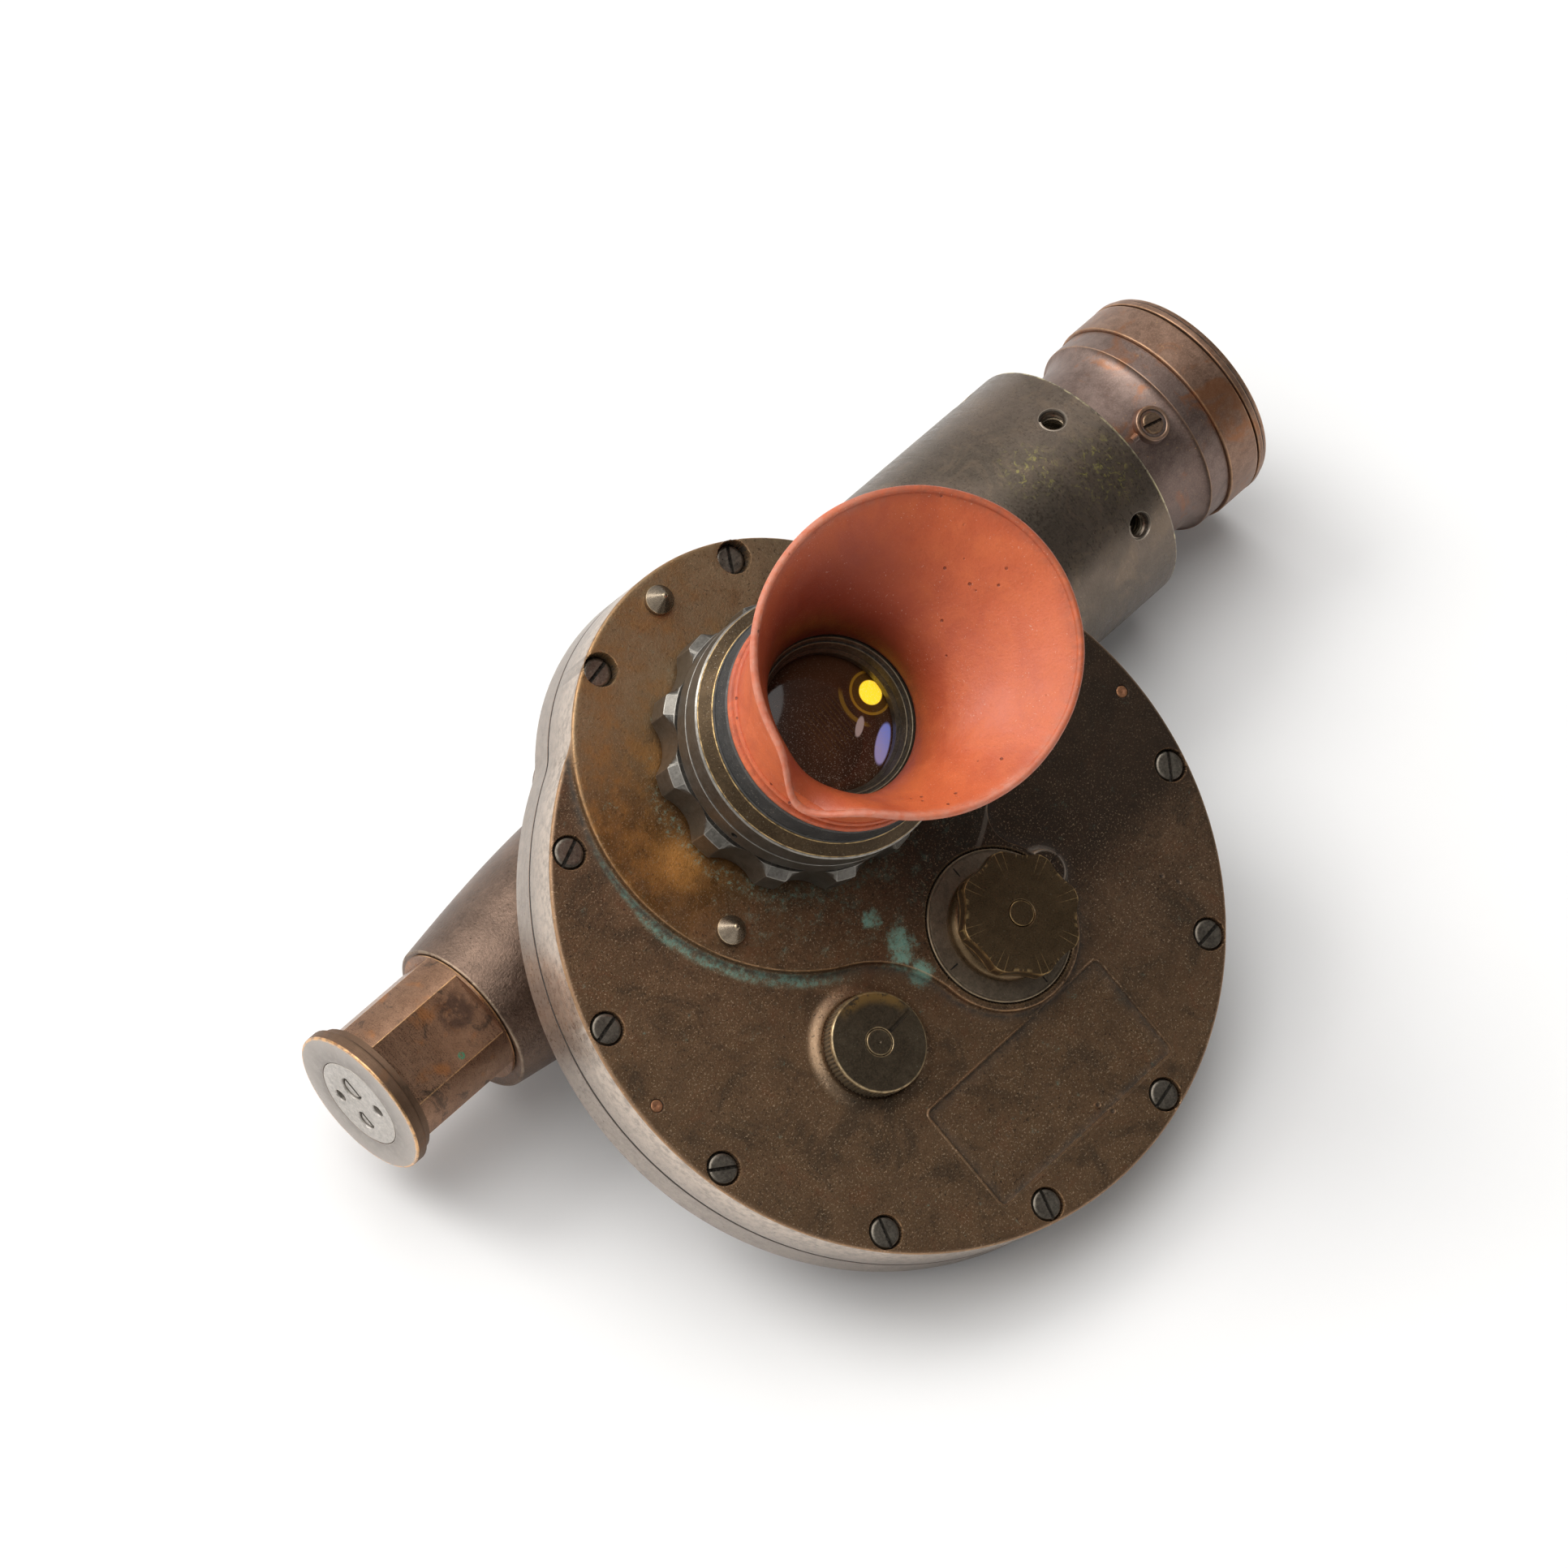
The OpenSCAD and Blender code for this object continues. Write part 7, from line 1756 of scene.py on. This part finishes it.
def build_density_knob(sizes):
    """Turned knob whose side is pushed into straight knurls, with a pointer line cut in its top."""
    top, radius, count = 6.0, 12.6, sizes.knurl_count
    blank = Piece("blank").turn([(0.0, 0.3), (radius - 0.5, 0.3, 0.2), (radius, 0.8), (radius, top - 0.95),
        (radius, top - 0.7, 0.12), (radius - 0.15, top - 0.3, 0.1), (radius - 0.4, top, 0.12),
        (3.6, top, 0.1), (3.4, top - 0.25), (3.4, top - 1.4), (0.0, top - 1.4)], count * 6)
    mesh = bpy.data.meshes.new("density_knob")
    mesh.from_pydata(blank.points, [], blank.faces)
    store(mesh, wear=blank.wear, grime=blank.grime)
    tidy_mesh(mesh, merge=1e-4)
    recipe = Recipe("straight knurls", {"Knurls": count, "Depth": sizes.knurl_deep, "Knob radius": radius,
        "Knurl top": top - 0.9, "Finish": FINISH["knob"]})
    x, y, z = recipe.position()
    rho = recipe.math("SQRT", x * x + y * y)
    angle = recipe.math("ARCTAN2", y, x)
    phase = angle * (recipe.given["Knurls"] / 2.0)
    wave = 1.0 - recipe.math("ABSOLUTE", recipe.math("SINE", phase))
    wave = recipe.math("POWER", wave, 0.8) * recipe.given["Depth"]
    side = recipe.math("GREATER_THAN", rho, recipe.given["Knob radius"] - 0.3)
    low = recipe.math("LESS_THAN", z, recipe.given["Knurl top"])
    push = wave * (side * low) / recipe.math("MAXIMUM", rho, 0.1)
    offset = recipe.add("ShaderNodeCombineXYZ", {"X": x * push * -1.0, "Y": y * push * -1.0})
    shaped = recipe.add("GeometryNodeSetPosition", {"Geometry": "Geometry", "Offset": offset.outputs[0]})
    recipe.finish(shaped.outputs[0], "Finish")
    mesh = recipe.grow(mesh, "density_knob")
    co = np.array([v.co for v in mesh.vertices])
    rho = np.hypot(co[:, 0], co[:, 1])
    wear = np.where((rho > radius - 0.08) & (co[:, 2] > 0.9) & (co[:, 2] < top - 0.8), 0.6, 0.0)
    grime = np.where((rho > radius - 0.6) & (rho < radius - 0.2) & (co[:, 2] > 0.9)
        & (co[:, 2] < top - 0.9), 1.0, 0.0)
    for name, values in (("wear", wear), ("grime", grime)):
        data = mesh.attributes[name].data
        old = np.array([d.value for d in data])
        data.foreach_set("value", np.maximum(old, values).astype(np.float32))
    place = AT_DENSITY
    mesh.transform(SETTLE @ place)
    pointer = place @ Matrix.Rotation(math.radians(POINTER_TURN), 4, "Z")
    line = box_cutter((3.9, 24.0), (-0.48, 0.48), (top - 0.7, top + 1.0), pointer)
    mesh = combine(tidy_mesh(mesh), [line], "DIFFERENCE", "density_knob")
    stand_in(tidy_mesh(mesh, 28.0), "knurled_density_knob", "density_drive", [FINISH["density"]],
        ["density_knob"])
    plug = Piece("plug").turn([(0.0, top - 1.4), (3.3, top - 1.4), (3.3, top - 0.02, 0.18),
        (0.5, top - 0.02), (0.3, top - 0.18), (0.0, top - 0.25)], 64, place)
    stand_in(plug.mesh(), "density_knob_centre", "density_drive", [FINISH["density"]],
        ["density_knob_plug"])


# Nodes that keep the frame's own shape

KEPT = {"glass": ("objective_flint", "objective_crown", "prism", "reticle", "field_lens", "filter_clear"),
    "black": ("objective_spacer", "objective_retainer", "prism_bracket", "prism_frame", "reticle_cell",
    "filter_rings", "eyepiece_barrel"), "gear": ("filter_gear", "filter_pinion", "density_pinion",
    "idler_gear", "polarizer_ring"), "steel": ("wheel_axle", "wheel_clip", "filter_shaft", "density_shaft",
    "idler_post", "polarizer_clip"), "dial": ("filter_wheel", "filter_gland", "density_gland",
    "eyepiece_body"), "gasket": ("cover_gasket", "objective_gasket"), "yellow glass": ("filter_yellow",),
    "red glass": ("filter_red",), "polarizer": ("filter_polarizer", "polarizer_glass"),}


def dress_kept_nodes():
    for finish, nodes in KEPT.items():
        for node in nodes:
            for slot in frame["nodes"][node].material_slots:
                slot.material = FINISH[finish]


# Stage

GROUND_Z = CAD_BOX[0][2]
CAMERA_AT = (-0.7948, -0.68179, 1.32969)
CAMERA_RIGHT = (0.6818, -0.73154, -0.00815)
CAMERA_AHEAD = (0.4276, 0.40744, -0.80695)
FOCAL = 149.6
FLOOR_WHITE = 0.86
FLOOR_GLOW = 0.045
BRIGHT_SIDE = (-0.62, 0.72, 0.3)
SKY_LOW, SKY_HIGH = 0.09, 0.88
SUNS = (("key", (-0.10, 0.20, 0.97), 1.60, 64.0, (1.0, 0.995, 0.985)),
    ("side", (-0.30, 0.62, 0.72), 0.95, 26.0, (1.0, 0.99, 0.97)))


def build_stage():
    scene = bpy.context.scene
    scene.view_settings.view_transform = "Standard"
    mesh = bpy.data.meshes.new("floor")
    s = 6.0
    mesh.from_pydata([(-s, -s, GROUND_Z), (s, -s, GROUND_Z), (s, s, GROUND_Z), (-s, s, GROUND_Z)], [],
        [(0, 1, 2, 3)])
    floor = bpy.data.objects.new("floor", mesh)
    scene.collection.objects.link(floor)
    white = bpy.data.materials.new("white floor")
    white.use_nodes = True
    tree = white.node_tree
    skin = next(n for n in tree.nodes if n.type == "BSDF_PRINCIPLED")
    skin.inputs["Base Color"].default_value = (FLOOR_WHITE, FLOOR_WHITE, FLOOR_WHITE, 1.0)
    skin.inputs["Roughness"].default_value = 0.9
    skin.inputs["Specular IOR Level"].default_value = 0.1
    path = tree.nodes.new("ShaderNodeLightPath")
    seen = tree.nodes.new("ShaderNodeMath")
    seen.operation = "MULTIPLY"
    seen.inputs[1].default_value = FLOOR_GLOW
    tree.links.new(path.outputs["Is Camera Ray"], seen.inputs[0])
    skin.inputs["Emission Color"].default_value = (1.0, 1.0, 1.0, 1.0)
    tree.links.new(seen.outputs[0], skin.inputs["Emission Strength"])
    mesh.materials.append(white)
    world = bpy.data.worlds.new("studio")
    world.use_nodes = True
    scene.world = world
    tree = world.node_tree
    light = next(n for n in tree.nodes if n.type == "BACKGROUND")
    coords = tree.nodes.new("ShaderNodeTexCoord")
    toward = tree.nodes.new("ShaderNodeVectorMath")
    toward.operation = "DOT_PRODUCT"
    toward.inputs[1].default_value = Vector(BRIGHT_SIDE).normalized()
    tree.links.new(coords.outputs["Generated"], toward.inputs[0])
    ramp = tree.nodes.new("ShaderNodeMapRange")
    ramp.interpolation_type = "SMOOTHSTEP"
    for name, value in (("From Min", -0.35), ("From Max", 0.8), ("To Min", SKY_LOW), ("To Max", SKY_HIGH)):
        ramp.inputs[name].default_value = value
    tree.links.new(toward.outputs["Value"], ramp.inputs["Value"])
    tree.links.new(ramp.outputs[0], light.inputs["Strength"])
    light.inputs["Color"].default_value = (1.0, 0.99, 0.975, 1.0)
    plain = tree.nodes.new("ShaderNodeBackground")
    plain.inputs["Color"].default_value = (1.0, 1.0, 1.0, 1.0)
    plain.inputs["Strength"].default_value = 1.0
    mix = tree.nodes.new("ShaderNodeMixShader")
    path = tree.nodes.new("ShaderNodeLightPath")
    out = next(n for n in tree.nodes if n.type == "OUTPUT_WORLD")
    tree.links.new(path.outputs["Is Camera Ray"], mix.inputs[0])
    tree.links.new(light.outputs[0], mix.inputs[1])
    tree.links.new(plain.outputs[0], mix.inputs[2])
    tree.links.new(mix.outputs[0], out.inputs[0])
    for name, toward, power, spread, tint in SUNS:
        lamp = bpy.data.lights.new(name, "SUN")
        lamp.energy = power
        lamp.angle = math.radians(spread)
        lamp.color = tint
        holder = bpy.data.objects.new(name, lamp)
        holder.rotation_euler = Vector(toward).to_track_quat("Z", "Y").to_euler()
        scene.collection.objects.link(holder)
    camera = bpy.data.cameras.new("camera")
    camera.lens = FOCAL
    camera.sensor_width = 36.0
    camera.sensor_fit = "HORIZONTAL"
    camera.clip_start = 0.05
    camera.clip_end = 50.0
    holder = bpy.data.objects.new("camera", camera)
    ahead = Vector(CAMERA_AHEAD).normalized()
    right = Vector(CAMERA_RIGHT)
    right = (right - ahead * right.dot(ahead)).normalized()
    up = right.cross(ahead)
    holder.matrix_world = Matrix.Translation(CAMERA_AT) @ Matrix((right, up, -ahead)).transposed().to_4x4()
    scene.collection.objects.link(holder)
    scene.camera = holder


# Operators, in the order in which they run

def sizes_of(context):
    return context.scene.telescope_sizes


class TELESCOPE_OT_finishes(bpy.types.Operator):
    """Mixes the finishes that the other steps use"""
    bl_idname = "telescope.finishes"
    bl_label = "Finishes"

    def execute(self, context):
        make_finishes()
        return {"FINISHED"}


class TELESCOPE_OT_stage(bpy.types.Operator):
    """Lays the floor and sets up the lights and the camera"""
    bl_idname = "telescope.stage"
    bl_label = "Stage"

    def execute(self, context):
        build_stage()
        return {"FINISHED"}


class TELESCOPE_OT_cover(bpy.types.Operator):
    """Builds the cast cover with its boss, pads, plate field and counterbores"""
    bl_idname = "telescope.cover"
    bl_label = "Cover"

    def execute(self, context):
        build_cover(sizes_of(context))
        return {"FINISHED"}


class TELESCOPE_OT_housing(bpy.types.Operator):
    """Builds the cast housing with its flange, dished back, ribs, neck and tube"""
    bl_idname = "telescope.housing"
    bl_label = "Housing"

    def execute(self, context):
        build_housing()
        build_ribs()
        return {"FINISHED"}


class TELESCOPE_OT_barrel(bpy.types.Operator):
    """Builds the barrel sleeve with its tapped holes"""
    bl_idname = "telescope.barrel"
    bl_label = "Barrel sleeve"

    def execute(self, context):
        build_barrel(sizes_of(context))
        return {"FINISHED"}


class TELESCOPE_OT_objective(bpy.types.Operator):
    """Builds the objective's neck, collar, cell and front cap"""
    bl_idname = "telescope.objective"
    bl_label = "Objective end"

    def execute(self, context):
        build_objective(sizes_of(context))
        return {"FINISHED"}


class TELESCOPE_OT_rear(bpy.types.Operator):
    """Builds the rear shank with its flats and the plug in its end"""
    bl_idname = "telescope.rear"
    bl_label = "Rear end"

    def execute(self, context):
        build_rear()
        return {"FINISHED"}


class TELESCOPE_OT_fasteners(bpy.types.Operator):
    """Builds the slotted screws, the pointed studs and the dowels"""
    bl_idname = "telescope.fasteners"
    bl_label = "Screws, studs and dowels"

    def execute(self, context):
        build_fasteners(sizes_of(context))
        return {"FINISHED"}


class TELESCOPE_OT_focus(bpy.types.Operator):
    """Builds the scalloped focus ring and its tapered cap"""
    bl_idname = "telescope.focus"
    bl_label = "Focus ring"

    def execute(self, context):
        build_focus()
        return {"FINISHED"}


class TELESCOPE_OT_eye_optics(bpy.types.Operator):
    """Builds the eye lens, the ring that holds it and the clamp ring"""
    bl_idname = "telescope.eye_optics"
    bl_label = "Eye lens and rings"

    def execute(self, context):
        build_eye_optics()
        return {"FINISHED"}


class TELESCOPE_OT_eyeguard(bpy.types.Operator):
    """Builds the flared rubber eyeguard with its rolled lip and fold"""
    bl_idname = "telescope.eyeguard"
    bl_label = "Eyeguard"

    def execute(self, context):
        build_eyeguard()
        return {"FINISHED"}


class TELESCOPE_OT_filter_knob(bpy.types.Operator):
    """Builds the lobed filter knob, the plug in its top and its dial"""
    bl_idname = "telescope.filter_knob"
    bl_label = "Filter knob"

    def execute(self, context):
        build_filter_knob()
        return {"FINISHED"}


class TELESCOPE_OT_density_knob(bpy.types.Operator):
    """Builds the knurled density knob"""
    bl_idname = "telescope.density_knob"
    bl_label = "Density knob"

    def execute(self, context):
        build_density_knob(sizes_of(context))
        return {"FINISHED"}


class TELESCOPE_OT_kept_nodes(bpy.types.Operator):
    """Gives the pieces that keep the frame's shape their finishes"""
    bl_idname = "telescope.kept_nodes"
    bl_label = "Inner pieces"

    def execute(self, context):
        dress_kept_nodes()
        return {"FINISHED"}


STEPS = (TELESCOPE_OT_finishes, TELESCOPE_OT_stage, TELESCOPE_OT_cover, TELESCOPE_OT_housing,
    TELESCOPE_OT_barrel, TELESCOPE_OT_objective, TELESCOPE_OT_rear, TELESCOPE_OT_fasteners,
    TELESCOPE_OT_focus, TELESCOPE_OT_eye_optics, TELESCOPE_OT_eyeguard, TELESCOPE_OT_filter_knob,
    TELESCOPE_OT_density_knob, TELESCOPE_OT_kept_nodes)


class TELESCOPE_PT_panel(bpy.types.Panel):
    """Lists the telescope's sizes, colours and steps"""
    bl_idname = "TELESCOPE_PT_panel"
    bl_label = "Telescope"
    bl_space_type = "VIEW_3D"
    bl_region_type = "UI"
    bl_category = "Telescope"

    def draw(self, context):
        for group in (context.scene.telescope_sizes, context.scene.telescope_colours):
            box = self.layout.box()
            for name in group.__annotations__:
                box.prop(group, name)
        for step in STEPS:
            self.layout.operator(step.bl_idname)


CLASSES = (TelescopeSizes, TelescopeColours, *STEPS, TELESCOPE_PT_panel)


def register():
    for made in CLASSES:
        bpy.utils.register_class(made)
    bpy.types.Scene.telescope_sizes = bpy.props.PointerProperty(type=TelescopeSizes)
    bpy.types.Scene.telescope_colours = bpy.props.PointerProperty(type=TelescopeColours)


def unregister():
    del bpy.types.Scene.telescope_colours
    del bpy.types.Scene.telescope_sizes
    for made in reversed(CLASSES):
        bpy.utils.unregister_class(made)


def main():
    register()
    for step in STEPS:
        getattr(bpy.ops.telescope, step.bl_idname.split(".")[1])()


if __name__ == "__main__":
    main()
